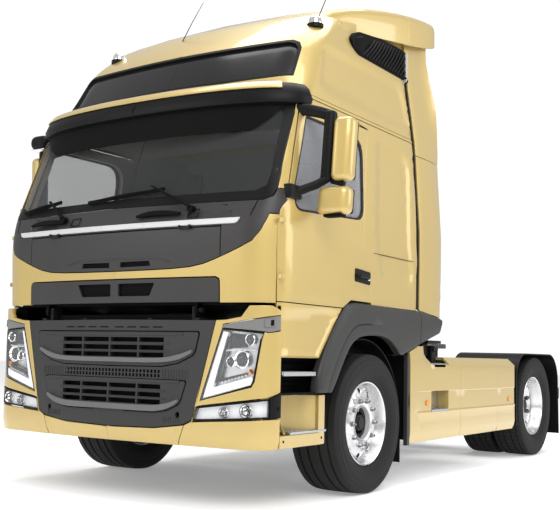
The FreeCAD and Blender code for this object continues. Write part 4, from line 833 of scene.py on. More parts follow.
def piece(name: str, shape: Shape, finish: Finish, body: str, replaces: Sequence[str] = (),
          bevel: float = 0.0, angle: float = 32.0) -> bpy.types.Object:
    """Make one piece of the vehicle.

    Args:
        name: the piece's name.
        shape: its form, from the front axle line.
        finish: its finish.
        body: the body it rides.
        replaces: the CAD nodes it stands for.
        bevel: how far its sharp edges are broken, in metres.
        angle: the turn in degrees above which an edge stays sharp.

    Returns:
        The new object.
    """
    mesh = bpy.data.meshes.new(name)
    mesh.from_pydata([(x, y + AXLE_LINE, z) for x, y, z in shape.points], [], shape.faces)
    work = bmesh.new()
    work.from_mesh(mesh)
    bmesh.ops.remove_doubles(work, verts=work.verts, dist=SAME_SPOT)
    bmesh.ops.recalc_face_normals(work, faces=work.faces)
    work.to_mesh(mesh)
    work.free()
    mesh.polygons.foreach_set("use_smooth", [True] * len(mesh.polygons))
    mesh.set_sharp_from_angle(angle=math.radians(angle))
    mesh.materials.append(finish.material())
    item = bpy.data.objects.new(name, mesh)
    bpy.context.collection.objects.link(item)
    if bevel:
        edge = item.modifiers.new("edge", "BEVEL")
        edge.width, edge.segments, edge.limit_method = bevel, 2, "ANGLE"
        edge.angle_limit, edge.use_clamp_overlap = math.radians(BEVEL_ABOVE), False
        edge.harden_normals = True
    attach(item, body)
    if replaces:
        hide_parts(*replaces)
    LOG.info("%s: %d faces on %s", name, len(mesh.polygons), body)
    return item


class CabSurface:
    """The outer skin of the cab, from its hem to its roof, as a table of points."""

    LEVELS = np.array([
        # height, half width, front, corner width, corner depth
        (0.955, 1.230, 1.355, 0.24, 0.20), (1.700, 1.245, 1.390, 0.24, 0.20),
        (1.830, 1.245, 1.385, 0.24, 0.20), (1.967, 1.243, 1.305, 0.14, 0.12),
        (2.590, 1.203, 1.090, 0.14, 0.12), (2.710, 1.190, 1.000, 0.14, 0.12),
        (2.930, 1.160, 0.900, 0.24, 0.20), (3.200, 1.118, 0.760, 0.24, 0.20),
        (3.350, 1.085, 0.600, 0.24, 0.20), (3.520, 1.020, 0.390, 0.24, 0.20),
        (3.640, 0.860, 0.060, 0.24, 0.20)])
    BOW = 0.055
    REAR = 0.820
    REAR_CORNER = 0.07
    PITCH = 0.01
    COLUMNS = 700
    GIRTH = 5.2  # from the nose's middle to past the rear wall's middle
    LOWEST, HIGHEST = 0.94, 3.6405
    EASING = 7  # entries of the table on either side of a level
    EASED_OVER = (0.80, 3.80)
    FACE_PARTS, CORNER_POINTS = 30, 24
    SWELL = 0.17  # how far the front corner's middle stands out, as a share of its size
    FIRST_SIDE = 40  # the first column that can lie on the side

    def __init__(self) -> None:
        """Work out the table of points and normals."""
        self.heights = np.arange(self.LOWEST, self.HIGHEST, self.PITCH)
        levels = [self._eased(column) for column in self.LEVELS.T[1:]]
        self.reach = self.GIRTH
        self.spans = np.linspace(0.0, self.reach, self.COLUMNS)
        plans = np.array([self._ring(*values) for values in zip(*levels)])
        self.table = np.concatenate(
            [plans, np.broadcast_to(self.heights[:, None, None], (*plans.shape[:2], 1))], 2)
        ahead = np.gradient(self.table, axis=1)
        lift = np.gradient(self.table, axis=0)
        normals = np.cross(lift, ahead)
        normals /= np.maximum(np.linalg.norm(normals, axis=2, keepdims=True), 1e-12)
        inward = normals[len(normals) // 2, 0, 1] > 0  # outwards at the nose is minus y
        self.normals = -normals if inward else normals

    def _eased(self, values: np.ndarray) -> np.ndarray:
        """Return a level's value over the heights, with its corners eased.

        Args:
            values: the column of values, one for each level.

        Returns:
            The value at each height.
        """
        fine = np.arange(*self.EASED_OVER, self.PITCH)
        line = np.interp(fine, self.LEVELS[:, 0], values)
        span = 2 * self.EASING + 1
        line = np.convolve(np.pad(line, self.EASING, mode="edge"), np.ones(span) / span,
                           mode="valid")
        return np.interp(self.heights, fine, line)

    def _arc(self, start: Point2, through: Point2, end: Point2, parts: int) -> np.ndarray:
        """Return points on the arc through three points.

        Args:
            start: where the arc starts.
            through: a point on it.
            end: where it ends.
            parts: how many points to return.

        Returns:
            The points.
        """
        a, b, c = (np.array(point, float) for point in (start, through, end))
        centre = np.linalg.solve(2 * np.array([b - a, c - a]),
                                 np.array([b @ b - a @ a, c @ c - a @ a]))
        radius = np.linalg.norm(a - centre)
        turns = np.unwrap([math.atan2(*(point - centre)[::-1]) for point in (a, b, c)])
        path = np.linspace(turns[0], turns[2], parts)
        return centre + radius * np.stack([np.cos(path), np.sin(path)], 1)

    def _ring(self, half: float, front: float, width: float, depth: float) -> np.ndarray:
        """Return the plan of one level, from the nose's middle to the rear wall's middle.

        Args:
            half: half the width.
            front: how far the nose stands out.
            width: the front corner's width.
            depth: the front corner's depth.

        Returns:
            The points at even spacing.
        """
        nose, edge = -front + self.BOW, half - width
        face = self._arc((-edge, nose), (0.0, -front), (edge, nose),
                         2 * self.FACE_PARTS + 1)[self.FACE_PARTS:]
        middle = (half - width / 2 + self.SWELL * depth, nose + depth / 2 - self.SWELL * width)
        corner = self._arc((edge, nose), middle, (half, nose + depth), self.CORNER_POINTS)[1:]
        soft = self.REAR_CORNER
        turn = np.linspace(0.0, math.pi / 2, 10)
        back = np.stack([half - soft + soft * np.cos(turn),
                         self.REAR - soft + soft * np.sin(turn)], 1)
        path = np.concatenate([face, corner, back, [(0.0, self.REAR)]])
        length = np.concatenate([[0.0], np.cumsum(np.linalg.norm(np.diff(path, axis=0), axis=1))])
        return np.stack([np.interp(self.spans, length, path[:, 0]),
                         np.interp(self.spans, length, path[:, 1])], 1)

    def _row(self, height: float) -> np.ndarray:
        """Return the table's row nearest to a height."""
        return self.table[int(np.clip(round((height - self.heights[0]) / self.PITCH), 0,
                                      len(self.heights) - 1))]

    def front(self, across: float, height: float) -> Point2:
        """Return the table's place of a point on the front, by its distance across.

        Args:
            across: the distance from the middle.
            height: the height.

        Returns:
            The place: a distance round the skin, and the height.
        """
        row = self._row(height)
        last = int(np.argmax(row[:, 0] > row[:, 0].max() - 1e-4))
        return float(np.interp(across, row[:last + 1, 0], self.spans[:last + 1])), height

    def side(self, along: float, height: float) -> Point2:
        """Return the table's place of a point on the side, by its distance along.

        Args:
            along: the distance behind the front axle line.
            height: the height.

        Returns:
            The place: a distance round the skin, and the height.
        """
        row = self._row(height)
        last = int(np.argmax(row[:, 1] > self.REAR - 1e-4))
        part = slice(self.FIRST_SIDE, last + 1)
        return float(np.interp(along, row[part, 1], self.spans[part])), height

    def back(self, across: float, height: float) -> Point2:
        """Return the table's place of a point on the rear wall.

        Args:
            across: the distance from the middle.
            height: the height.

        Returns:
            The place: a distance round the skin, and the height.
        """
        row = self._row(height)
        last = int(np.argmax(row[:, 1] > self.REAR - 1e-4))
        return float(self.spans[last] + row[last, 0] - across), height

    def fronts(self, *spots: Point2) -> list[Point2]:
        """Return the table's places of points on the front."""
        return [self.front(*spot) for spot in spots]

    def sides(self, *spots: Point2) -> list[Point2]:
        """Return the table's places of points on the side."""
        return [self.side(*spot) for spot in spots]

    def point(self, place: Point2, stand: float = 0.0) -> Point3:
        """Return one point in space, moved out from the skin by a distance."""
        return tuple(float(value) for value in self.at(np.array([place]), stand)[0])

    def over(self, spots: Sequence[Point2], stand: float) -> list[Point3]:
        """Return points over the front, by their signed distance across and their height.

        Args:
            spots: distances across, minus on the right, with heights.
            stand: how far the points stand off the skin.

        Returns:
            The points in space.
        """
        found = self.at(np.array([self.front(abs(x), z) for x, z in spots]), stand)
        return [(math.copysign(float(p[0]), x) if abs(x) > 1e-6 else 0.0, float(p[1]),
                 float(p[2])) for (x, _), p in zip(spots, found)]

    def at(self, spots: np.ndarray, stand: np.ndarray | float = 0.0) -> np.ndarray:
        """Return points in space, moved out from the skin by a distance.

        Args:
            spots: places in the table.
            stand: how far each point stands off the skin.

        Returns:
            The points in space.
        """
        rows = np.clip((spots[:, 1] - self.heights[0]) / self.PITCH, 0, len(self.heights) - 1.001)
        columns = np.clip(spots[:, 0] / self.reach * (self.COLUMNS - 1), 0, self.COLUMNS - 1.001)
        row, column = rows.astype(int), columns.astype(int)
        a, b = (rows - row)[:, None], (columns - column)[:, None]

        def mix(table: np.ndarray) -> np.ndarray:
            """Return the table's values between its entries."""
            return ((1 - a) * (1 - b) * table[row, column] + a * (1 - b) * table[row + 1, column]
                    + (1 - a) * b * table[row, column + 1] + a * b * table[row + 1, column + 1])

        reach = np.broadcast_to(np.asarray(stand, float), (len(spots),))[:, None]
        return mix(self.table) + mix(self.normals) * reach

    def panel(self, loops: Sequence[Sequence[Point2]], depth: float = 0.03, stand: float = 0.0,
              step: float = 0.05, relief: Sequence["Emboss"] = ()) -> Shape:
        """Return a plate that follows the skin.

        Args:
            loops: its outline and holes, in the table's places.
            depth: how thick it is, measured inwards.
            stand: how far its face stands off the skin.
            step: the spacing of its points.
            relief: the embossed areas on its face.

        Returns:
            The plate.
        """
        lines = [line for mark in relief for line in mark.lines()]
        spots, triangles = fill(loops, lines, step)
        lift = np.full(len(spots), stand)
        for mark in relief:
            lift = lift + mark.height(spots)
        return thicken(self.at(spots, lift), self.at(spots, stand - depth), triangles)


@dataclass
class Emboss:
    """An area of a panel that is pressed in or out."""

    outline: list[Point2]
    rise: float = 0.006
    slope: float = 0.02

    def _inner(self) -> list[Point2]:
        """Return the outline moved inwards by the slope's width.

        Returns:
            The inner outline.
        """
        ring = np.array(self.outline, float)
        ahead = np.roll(ring, -1, 0) - np.roll(ring, 1, 0)
        ahead /= np.maximum(np.linalg.norm(ahead, axis=1, keepdims=True), 1e-9)
        area = np.sum(ring[:, 0] * np.roll(ring[:, 1], -1) - ring[:, 1] * np.roll(ring[:, 0], -1))
        turn = np.stack([-ahead[:, 1], ahead[:, 0]], 1) * (1 if area > 0 else -1)
        return [tuple(spot) for spot in ring + turn * self.slope]

    def lines(self) -> list[list[Point2]]:
        """Return the loops at the foot and the head of the slope."""
        return [self.outline, self._inner()]

    def height(self, spots: np.ndarray) -> np.ndarray:
        """Return how far each spot stands out.

        Args:
            spots: places in the table.

        Returns:
            The heights.
        """
        within = inside([self.outline], spots)
        share = np.clip(clearance([self.outline], spots) / self.slope, 0.0, 1.0)
        return np.where(within, share * share * (3 - 2 * share) * self.rise, 0.0)


@dataclass
class Studio:
    """The camera at the photograph's place, soft lights and a pale floor."""

    eye: Point3 = (4.52993, -7.77553, 0.97190)
    azimuth: float = 33.584
    pitch: float = 5.991
    roll: float = 1.270
    lens: float = 61.375
    sensor: float = 36.0
    far: float = 200.0
    floor_reach: float = 60.0
    ambient: float = 0.60
    backdrop: float = 0.45
    lamps: tuple[tuple[str, Point3, Point3, float, float], ...] = (
        # name, place, aim, size, power
        ("key_light", (7.0, -8.0, 7.5), (0.0, -1.0, 1.5), 6.0, 680.0),
        ("side_light", (9.0, 4.0, 5.0), (0.0, 0.5, 1.2), 6.0, 300.0),
        ("front_light", (-4.0, -10.0, 4.5), (0.0, -2.0, 1.5), 5.0, 200.0),
        ("top_light", (0.0, 0.0, 11.0), (0.0, 0.0, 0.0), 9.0, 950.0))

    def camera(self) -> None:
        """Put the camera where the photograph was taken from."""
        turn, tip, lean = (math.radians(v) for v in (self.azimuth, self.pitch, self.roll))
        ahead = Vector((-math.sin(turn) * math.cos(tip), math.cos(turn) * math.cos(tip),
                        math.sin(tip)))
        level = Vector((math.cos(turn), math.sin(turn), 0.0))
        lift = level.cross(ahead)
        right = level * math.cos(lean) + lift * math.sin(lean)
        up = lift * math.cos(lean) - level * math.sin(lean)
        data = bpy.data.cameras.new("camera")
        data.lens, data.sensor_width, data.clip_end = self.lens, self.sensor, self.far
        camera = bpy.data.objects.new("camera", data)
        bpy.context.collection.objects.link(camera)
        camera.matrix_world = Matrix.Translation(self.eye) @ Matrix(
            (right, up, -ahead)).transposed().to_4x4()
        bpy.context.scene.camera = camera

    def light(self, name: str, place: Point3, aim: Point3, size: float, power: float) -> None:
        """Add one soft square light.

        Args:
            name: the light's name.
            place: where it stands.
            aim: what it points at.
            size: the length of its side.
            power: its power in watts.
        """
        data = bpy.data.lights.new(name, "AREA")
        data.shape, data.size, data.energy = "SQUARE", size, power
        lamp = bpy.data.objects.new(name, data)
        bpy.context.collection.objects.link(lamp)
        lamp.location = place
        lamp.rotation_euler = (Vector(aim) - Vector(place)).to_track_quat("-Z", "Y").to_euler()

    def build(self) -> None:
        """Make the camera, lights, sky and floor."""
        self.camera()
        for lamp in self.lamps:
            self.light(*lamp)
        self.sky()
        self.floor()

    def sky(self) -> None:
        """Make the pale room, which looks brighter to the camera than it lights."""
        world = bpy.data.worlds.new("pale_room")
        bpy.context.scene.world = world
        bpy.context.scene.view_settings.view_transform = "Standard"
        world.use_nodes = True
        tree = world.node_tree
        ground = tree.nodes["Background"]
        ground.inputs[0].default_value = (1.0, 1.0, 1.0, 1.0)
        seen = tree.nodes.new("ShaderNodeLightPath")
        power = tree.nodes.new("ShaderNodeMath")
        power.operation = "MULTIPLY_ADD"
        power.inputs[1].default_value = self.backdrop
        power.inputs[2].default_value = self.ambient
        tree.links.new(seen.outputs["Is Camera Ray"], power.inputs[0])
        tree.links.new(power.outputs[0], ground.inputs[1])

    def floor(self) -> None:
        """Make the plain pale floor."""
        graph = Graph("pale_floor")
        spread = graph.noise(0.6, 3.0)
        graph.finish(Base_Color=graph.blend(spread, (0.92, 0.92, 0.92), (0.95, 0.95, 0.95)),
                     Roughness=0.65, Emission_Color=(1.0, 1.0, 1.0), Emission_Strength=0.26)
        mesh = bpy.data.meshes.new("floor")
        reach = self.floor_reach
        mesh.from_pydata([(*spot, 0.0) for spot in oblong(-reach, reach, -reach, reach)], [],
                         [(0, 1, 2, 3)])
        mesh.materials.append(graph.material)
        floor = bpy.data.objects.new("floor", mesh)
        bpy.context.collection.objects.link(floor)


@dataclass
class CabShell:
    """The painted shell of the cab: cheeks, pillars, sides, rear wall, cowl and lining."""

    skin: CabSurface
    hem: float = 1.296
    cheek_top: float = 1.857
    header: float = 2.662
    roofline: float = 2.704
    trim_top: float = 1.348
    rear_half: float = 1.11

    def cowl_edge(self, gap: float = 0.0) -> list[Point2]:
        """Return the lower edge of the dark cowl, from the middle outwards.

        Args:
            gap: how far the line is moved up.

        Returns:
            The places along it.
        """
        return [self.skin.front(x, z + gap) for x, z in (
            (0.0, 1.512), (0.3, 1.514), (0.5, 1.518), (0.637, 1.526), (0.74, 1.544),
            (0.83, 1.572), (0.92, 1.605), (1.02, 1.645), (1.092, 1.682), (1.141, 1.750),
            (1.168, 1.820), (1.178, self.cheek_top))]

    def pillar_line(self, gap: float) -> list[Point2]:
        """Return the pillar's edge along the windscreen, from its foot up.

        Args:
            gap: how far the line is moved towards the windscreen.

        Returns:
            The places along it.
        """
        return [self.skin.front(1.197 - gap, 2.032)] + [self.skin.side(y - gap, z) for y, z in (
            (-1.150, 2.12), (-1.124, 2.20), (-1.086, 2.30), (-1.046, 2.40), (-1.006, 2.50),
            (-0.980, 2.56), (-0.932, self.header))]

    def shut_line(self, gap: float = 0.0) -> list[Point2]:
        """Return the door's front edge beside the pillar, from its foot up.

        Args:
            gap: how far the line is moved back.

        Returns:
            The places along it.
        """
        return [self.skin.side(y + gap, z) for y, z in (
            (-1.117, 2.032), (-1.096, 2.10), (-1.064, 2.20), (-1.034, 2.30), (-1.002, 2.40),
            (-0.970, 2.50), (-0.950, 2.56), (-0.912, 2.655))]

    def build(self) -> None:
        """Make the shell's pieces."""
        front, side, back = self.skin.front, self.skin.side, self.skin.back
        low = [front(0.0, 1.464), front(0.835, 1.464), front(0.862, 1.452), front(0.868, 1.43),
               front(0.868, self.hem), side(-1.194, self.hem), side(-1.194, self.cheek_top)]
        cheeks = self.skin.panel([low + self.cowl_edge()[::-1]], 0.03)
        piece("cab_cheeks", cheeks.both(), GOLD, "cab", ["cab_shell"], bevel=0.003)
        upper = [*self.shut_line(-0.010), side(-0.915, 2.661), side(0.016, 2.661),
                 side(0.016, 1.348), side(0.79, self.trim_top),
                 back(self.rear_half, self.trim_top),
                 back(self.rear_half, self.roofline), side(0.75, self.roofline),
                 front(0.0, self.roofline), front(0.0, self.header),
                 *self.pillar_line(0.0)[::-1]]
        press = Emboss(rounded(self.skin.sides(
            (0.15, 2.59), (0.60, 2.575), (0.672, 2.48), (0.70, 1.62), (0.66, 1.53),
            (0.17, 1.55)), 0.06), -0.008, 0.022)
        sides = self.skin.panel([upper], 0.03, relief=[press])
        piece("cab_sides", sides.both(), GOLD, "cab", bevel=0.003)
        lining = self.skin.panel([upper], 0.022, stand=-0.031)
        piece("cab_lining", lining.both(), LINING, "cab")
        wall = slab(Plane.FRONT, 0.79, 0.8202, rounded(
            oblong(-1.118, 1.118, self.trim_top, self.roofline), 0.01), step=0.2)
        ribs = join(box((x - 0.03, 0.818, 1.45), (x + 0.03, 0.826, 2.6))
                    for x in (-0.75, -0.25, 0.25, 0.75))
        piece("cab_rear_wall", wall + ribs, GOLD, "cab", bevel=0.003)
        self.cabin()
        seam = self.skin.panel([self.skin.sides((0.025, 1.731), (0.785, 1.728), (0.785, 1.732),
                                                (0.025, 1.735))], 0.002, 0.0008, 0.1)
        piece("side_seams", seam.both(), MATT, "cab")
        self.cowl()

    def cabin(self) -> None:
        """Make the plain walls, shelf and floor that close the cabin."""
        front, side, back = self.skin.front, self.skin.side, self.skin.back
        inner_wall = slab(Plane.FRONT, 0.765, 0.788, oblong(-1.15, 1.15, 1.34, 2.78))
        shelf = slab(Plane.PLAN, 2.665, 2.695, oblong(-1.12, 1.12, -0.93, 0.10))
        liner = slab(Plane.PLAN, 3.30, 3.32, oblong(-1.02, 1.02, -0.45, 0.76))
        band = self.skin.panel([[front(0.0, 2.69), side(-0.2, 2.69), back(0.0, 2.69),
                                 back(0.0, 2.76), side(-0.2, 2.76), front(0.0, 2.76)]],
                               0.008, -0.0315)
        piece("cabin_liner", inner_wall + shelf + liner, LINING, "cab", bevel=0.004)
        piece("cabin_band", band.both(), LINING, "cab")
        plan = [(1.19, -1.12), (1.19, -0.72), (1.19, 0.80), (-1.19, 0.80), (-1.19, -0.72),
                (-1.19, -1.12), (-0.96, -1.29), (0.96, -1.29)]
        floor = slab(Plane.PLAN, 1.285, 1.345, plan)
        lugs = join(turned([(x, 0.0191), (x, 0.046), (x + 0.018, 0.046), (x + 0.018, 0.0191)],
                           (0.0, -1.30, 1.25), 24, closed=True)
                    + box((x, -1.33, 1.262), (x + 0.018, -1.27, 1.29))
                    for x in (0.67, -0.688))
        front_wall = slab(Plane.FRONT, -1.295, -1.28, oblong(-0.88, 0.88, 1.30, 1.93))
        piece("cab_floor", floor + lugs + front_wall, MATT, "cab")

    def cowl(self) -> None:
        """Make the dark cowl between the hatch, the cheeks and the windscreen."""
        front, side = self.skin.front, self.skin.side
        wing = [front(0.0, 1.79), front(0.873, 1.79), front(0.873, 1.592),
                *self.cowl_edge(0.006)[6:], side(-1.194, 1.863), side(-1.194, 1.892),
                side(-1.111, 1.975), side(-1.103, 2.026), front(1.199, 2.026),
                front(1.185, 1.975), front(1.13, 1.948), front(0.0, 1.962)]
        recess = Emboss(rounded(self.skin.fronts(
            (0.60, 1.846), (0.93, 1.842), (0.93, 1.895), (0.60, 1.905)), 0.015), -0.012, 0.01)
        half = self.skin.panel([wing], 0.025, relief=[recess])
        seam = self.skin.panel([self.skin.fronts((1.07, 1.845), (1.076, 1.845), (1.10, 1.945),
                                                 (1.094, 1.945))], 0.001, 0.0012)
        piece("cab_cowl", half.both(), DARK, "cab", bevel=0.0025)
        grips = []
        for start in (0.18, -0.88):
            arc = smooth_line([(start, 1.872), (start + 0.10, 1.885), (start + 0.24, 1.884),
                               (start + 0.36, 1.876)])
            grips.append(tube(self.skin.over(arc, 0.020),
                              lambda share: 0.013 + 0.012 * math.sin(math.pi * share), 8, 0.8))
            frame = oblong(start + 0.42, start + 0.50, 1.852, 1.905)
            grips.append(tube(self.skin.over([*frame, frame[0]], 0.006), 0.003, 6))
        piece("cowl_grips", join(grips) + seam.both(), MATT, "cab")


@dataclass
class FrontHatch:
    """The dark service hatch below the windscreen, on its own hinges."""

    skin: CabSurface
    shell: CabShell
    half: float = 0.867
    top: float = 1.782

    def build(self) -> None:
        """Make the hatch, its slots, the bright strip and the lower panel."""
        front = self.skin.front
        edge = self.shell.cowl_edge(0.006)[:6] + [front(self.half, 1.592)]
        outline = edge + [front(self.half, self.top), front(0.0, self.top)]
        slot = self.skin.fronts((0.05, 1.541), (0.315, 1.545), (0.305, 1.578), (0.05, 1.576))
        half = self.skin.panel([outline, slot], 0.024, 0.0, 0.04)
        piece("front_hatch_skin", half.both(), DARK, "front_hatch", ["front_hatch"], bevel=0.0025)
        ledge = self.skin.fronts((0.0, 1.592), (0.36, 1.590), (0.47, 1.566), (0.475, 1.571),
                                 (0.37, 1.600), (0.0, 1.602))
        piece("hatch_ledges", self.skin.panel([ledge], 0.004, 0.004, 0.03).both(), DARK,
              "front_hatch", bevel=0.0015)
        back = self.skin.fronts(*oblong(0.03, 0.33, 1.53, 1.588))
        piece("hatch_slots", self.skin.panel([back], 0.003, -0.021).both(), MATT, "front_hatch")
        ends = [turned([(0.0, 0.0031), (0.0, 0.006), (0.07, 0.006), (0.07, 0.0031)],
                       (x, -1.382, 1.782), 16, closed=True) for x in (0.565, -0.635)]
        piece("hatch_barrels", join(ends), CHASSIS, "front_hatch")
        strip = self.skin.panel([self.skin.fronts((0.0, 1.797), (0.968, 1.797), (0.990, 1.805),
                                                  (1.007, 1.833), (0.0, 1.833))],
                                0.016, 0.014, 0.03)
        piece("bright_strip", strip.both(), SILVER, "cab", ["front_trim"], bevel=0.004)
        pins = [tube([(x - 0.012, -1.382, 1.782), (x + 0.082, -1.382, 1.782)], 0.003, 10)
                + box((x - 0.012, -1.388, 1.776), (x - 0.002, -1.365, 1.802))
                + box((x + 0.072, -1.388, 1.776), (x + 0.082, -1.365, 1.802))
                for x in (0.565, -0.635)]
        piece("hatch_pins", join(pins), CHASSIS, "cab")
        self.lower_panel()

    def lower_panel(self) -> None:
        """Make the fixed panel under the hatch, with its two vents."""
        lower = self.skin.fronts((0.0, 1.300), (0.861, 1.300), (0.861, 1.428), (0.853, 1.446),
                                 (0.833, 1.457), (0.0, 1.457))
        dark_inset = rounded(self.skin.fronts((0.035, 1.345), (0.31, 1.345), (0.352, 1.43),
                                        (0.035, 1.43)), 0.012)
        half = self.skin.panel([lower, dark_inset], 0.02, 0.002, 0.04)
        piece("lower_panel", half.both(), DARK, "cab", bevel=0.003)
        slats = join(self.skin.panel([self.skin.fronts(*oblong(0.035, 0.345, z, z + 0.006))],
                                     0.008, -0.011) for z in (1.370, 1.400))
        backing = self.skin.panel([self.skin.fronts(*oblong(0.03, 0.357, 1.34, 1.435))],
                                  0.004, -0.0205)
        piece("lower_vents", (slats + backing).both(), MATT, "cab")


@dataclass
class CabRoof:
    """The high roof: painted skin, sign recess, gutter, beacons and aerials."""

    skin: CabSurface
    low: float = 2.735
    top: float = 3.638
    sign: tuple[Point2, ...] = ((0.0, 2.875), (1.066, 2.875), (1.040, 3.115), (1.015, 3.165),
                                (0.965, 3.187), (0.0, 3.190))

    def edge(self, grow: float) -> list[Point2]:
        """Return the sign's half outline, made larger or smaller."""
        return [self.skin.front(max(x + (grow if x else 0.0), 0.0), z + grow * lift)
                for (x, z), lift in zip(self.sign, (-1, -1, 0, 0.7, 1, 1))]

    def build(self) -> None:
        """Make the roof's pieces."""
        front, side, back = self.skin.front, self.skin.side, self.skin.back
        levels = np.linspace(self.low, self.top, 12)
        outline = [front(0.0, self.low), side(-0.2, self.low), side(0.7, self.low)]
        outline += [back(0.0, level) for level in levels]
        outline += [side(0.4, self.top), front(0.0, self.top), *self.edge(0.0)[::-1]]
        press = Emboss(rounded(self.skin.sides(
            (-0.655, 2.842), (-0.50, 2.822), (0.66, 2.803), (0.775, 2.84), (0.70, 3.13),
            (0.62, 3.176), (-0.43, 3.172), (-0.55, 3.148)), 0.05), -0.009, 0.024)
        half = self.skin.panel([outline], 0.03, relief=[press])
        piece("roof_skin", half.both(), GOLD, "cab", ["cab_roof"], bevel=0.003)
        ring = [(x, y) for x, y, _ in self.skin.at(np.array(
            [(u, self.top) for u in np.linspace(0.0, back(0.0, self.top)[0], 60)]))]
        cap = ring + [(-x, y) for x, y in ring[::-1][1:-1]]
        piece("roof_cap", slab(Plane.PLAN, self.top - 0.03, self.top, cap, step=0.15), GOLD,
              "cab", bevel=0.003)
        gutter = [front(0.0, 2.709), side(-0.2, 2.709), back(0.0, 2.709), back(0.0, 2.730),
                  side(-0.2, 2.730), front(0.0, 2.730)]
        piece("roof_gutter", self.skin.panel([gutter], 0.03, 0.003).both(), GOLD, "cab",
              bevel=0.003)
        face = self.skin.panel([self.edge(0.002)], 0.012, -0.020)
        piece("sign_face", face.both(), GLOSS, "cab", bevel=0.002)
        outer, inner = self.edge(0.0), self.edge(-0.022)
        frame = self.skin.panel([outer[1:] + inner[:0:-1]], 0.026, 0.002, 0.04)
        foot = self.skin.panel([[outer[0], outer[1], inner[1], inner[0]]], 0.026, 0.002, 0.04)
        piece("sign_rim", (frame + foot).both(), BLACK, "cab", bevel=0.002)
        self.fittings()

    def fittings(self) -> None:
        """Make the beacons and thin aerials on the roof's front."""
        domes, feet, whips = [], [], []
        for x in (1.0, -0.86):
            base = (x, self.skin.point(self.skin.front(abs(x), 3.345))[1] + 0.03, 3.36)
            domes.append(turned([(0.0, 0.0), (0.0, 0.050), (0.030, 0.050), (0.055, 0.040),
                                 (0.070, 0.022), (0.075, 0.0)], base, 24, "z"))
            feet.append(turned([(-0.03, 0.0), (-0.03, 0.062), (0.0, 0.062), (0.004, 0.054),
                                (0.004, 0.0)], base, 24, "z"))
        for x, lean in ((0.98, 0.10), (-0.20, 0.14)):
            foot = (x, self.skin.point(self.skin.front(abs(x), 3.40))[1] + 0.02, 3.40)
            whips.append(tube([foot, (x + lean * 0.6, foot[1] + 0.02, 3.56),
                               (x + lean * 1.2, foot[1] + 0.05, 3.72)],
                              lambda share: 0.004 - 0.002 * share, 6))
        piece("roof_beacons", join(domes), CHROME, "cab")
        piece("beacon_feet", join(feet), BLACK, "cab")
        piece("roof_aerials", join(whips), MATT, "cab")


@dataclass
class Glazing:
    """The windscreen with its dark border, and the two wipers."""

    skin: CabSurface
    shell: CabShell

    def build(self) -> None:
        """Make the windscreen, its border and the wipers."""
        front = self.skin.front
        outer = [front(0.0, 1.968), front(1.12, 1.953), front(1.178, 1.982),
                 *self.shell.pillar_line(0.005), front(0.0, self.shell.header)]
        inner = self.skin.fronts((0.0, 2.030), (1.06, 2.020), (1.128, 2.050), (1.138, 2.12),
                                 (1.122, 2.56), (1.09, 2.60), (0.0, 2.61))
        pane = self.skin.panel([outer], 0.006, -0.006, 0.06)
        piece("windscreen_pane", pane.both(), PANE, "cab", ["windscreen"])
        border = self.skin.panel([outer + inner[::-1]], 0.002, -0.0045, 0.05)
        piece("windscreen_border", border.both(), BLACK, "cab")
        self.wipers()

    def wipers(self) -> None:
        """Make two wipers that lie across the foot of the windscreen."""
        parts = []
        for pivot, knee, ends in (
                ((0.63, 1.900), (0.24, 2.085), ((-0.36, 2.020), (0.33, 2.072))),
                ((-0.53, 1.893), (-0.75, 2.045), ((-1.05, 1.99), (-0.66, 2.05)))):
            arm = between(pivot, knee, (0.0, 0.15, 0.4, 0.7, 1.0))
            parts.append(tube(self.skin.over(arm, 0.045),
                              lambda share: 0.020 - 0.008 * share, 8, 0.6))
            blade = between(*ends, np.linspace(0, 1, 9))
            parts.append(tube(self.skin.over(blade, 0.012), 0.009, 6, 1.6))
            parts.append(tube(self.skin.over(blade[1:-1], 0.026),
                              lambda share: 0.004 + 0.009 * math.sin(math.pi * share), 6, 0.7))
            parts.append(turned([(-0.03, 0.0), (-0.03, 0.024), (0.012, 0.022), (0.02, 0.012),
                                 (0.02, 0.0)], self.skin.over([pivot], 0.02)[0], 16, "y"))
        piece("wiper_pair", join(parts), MATT, "cab", ["wipers"])


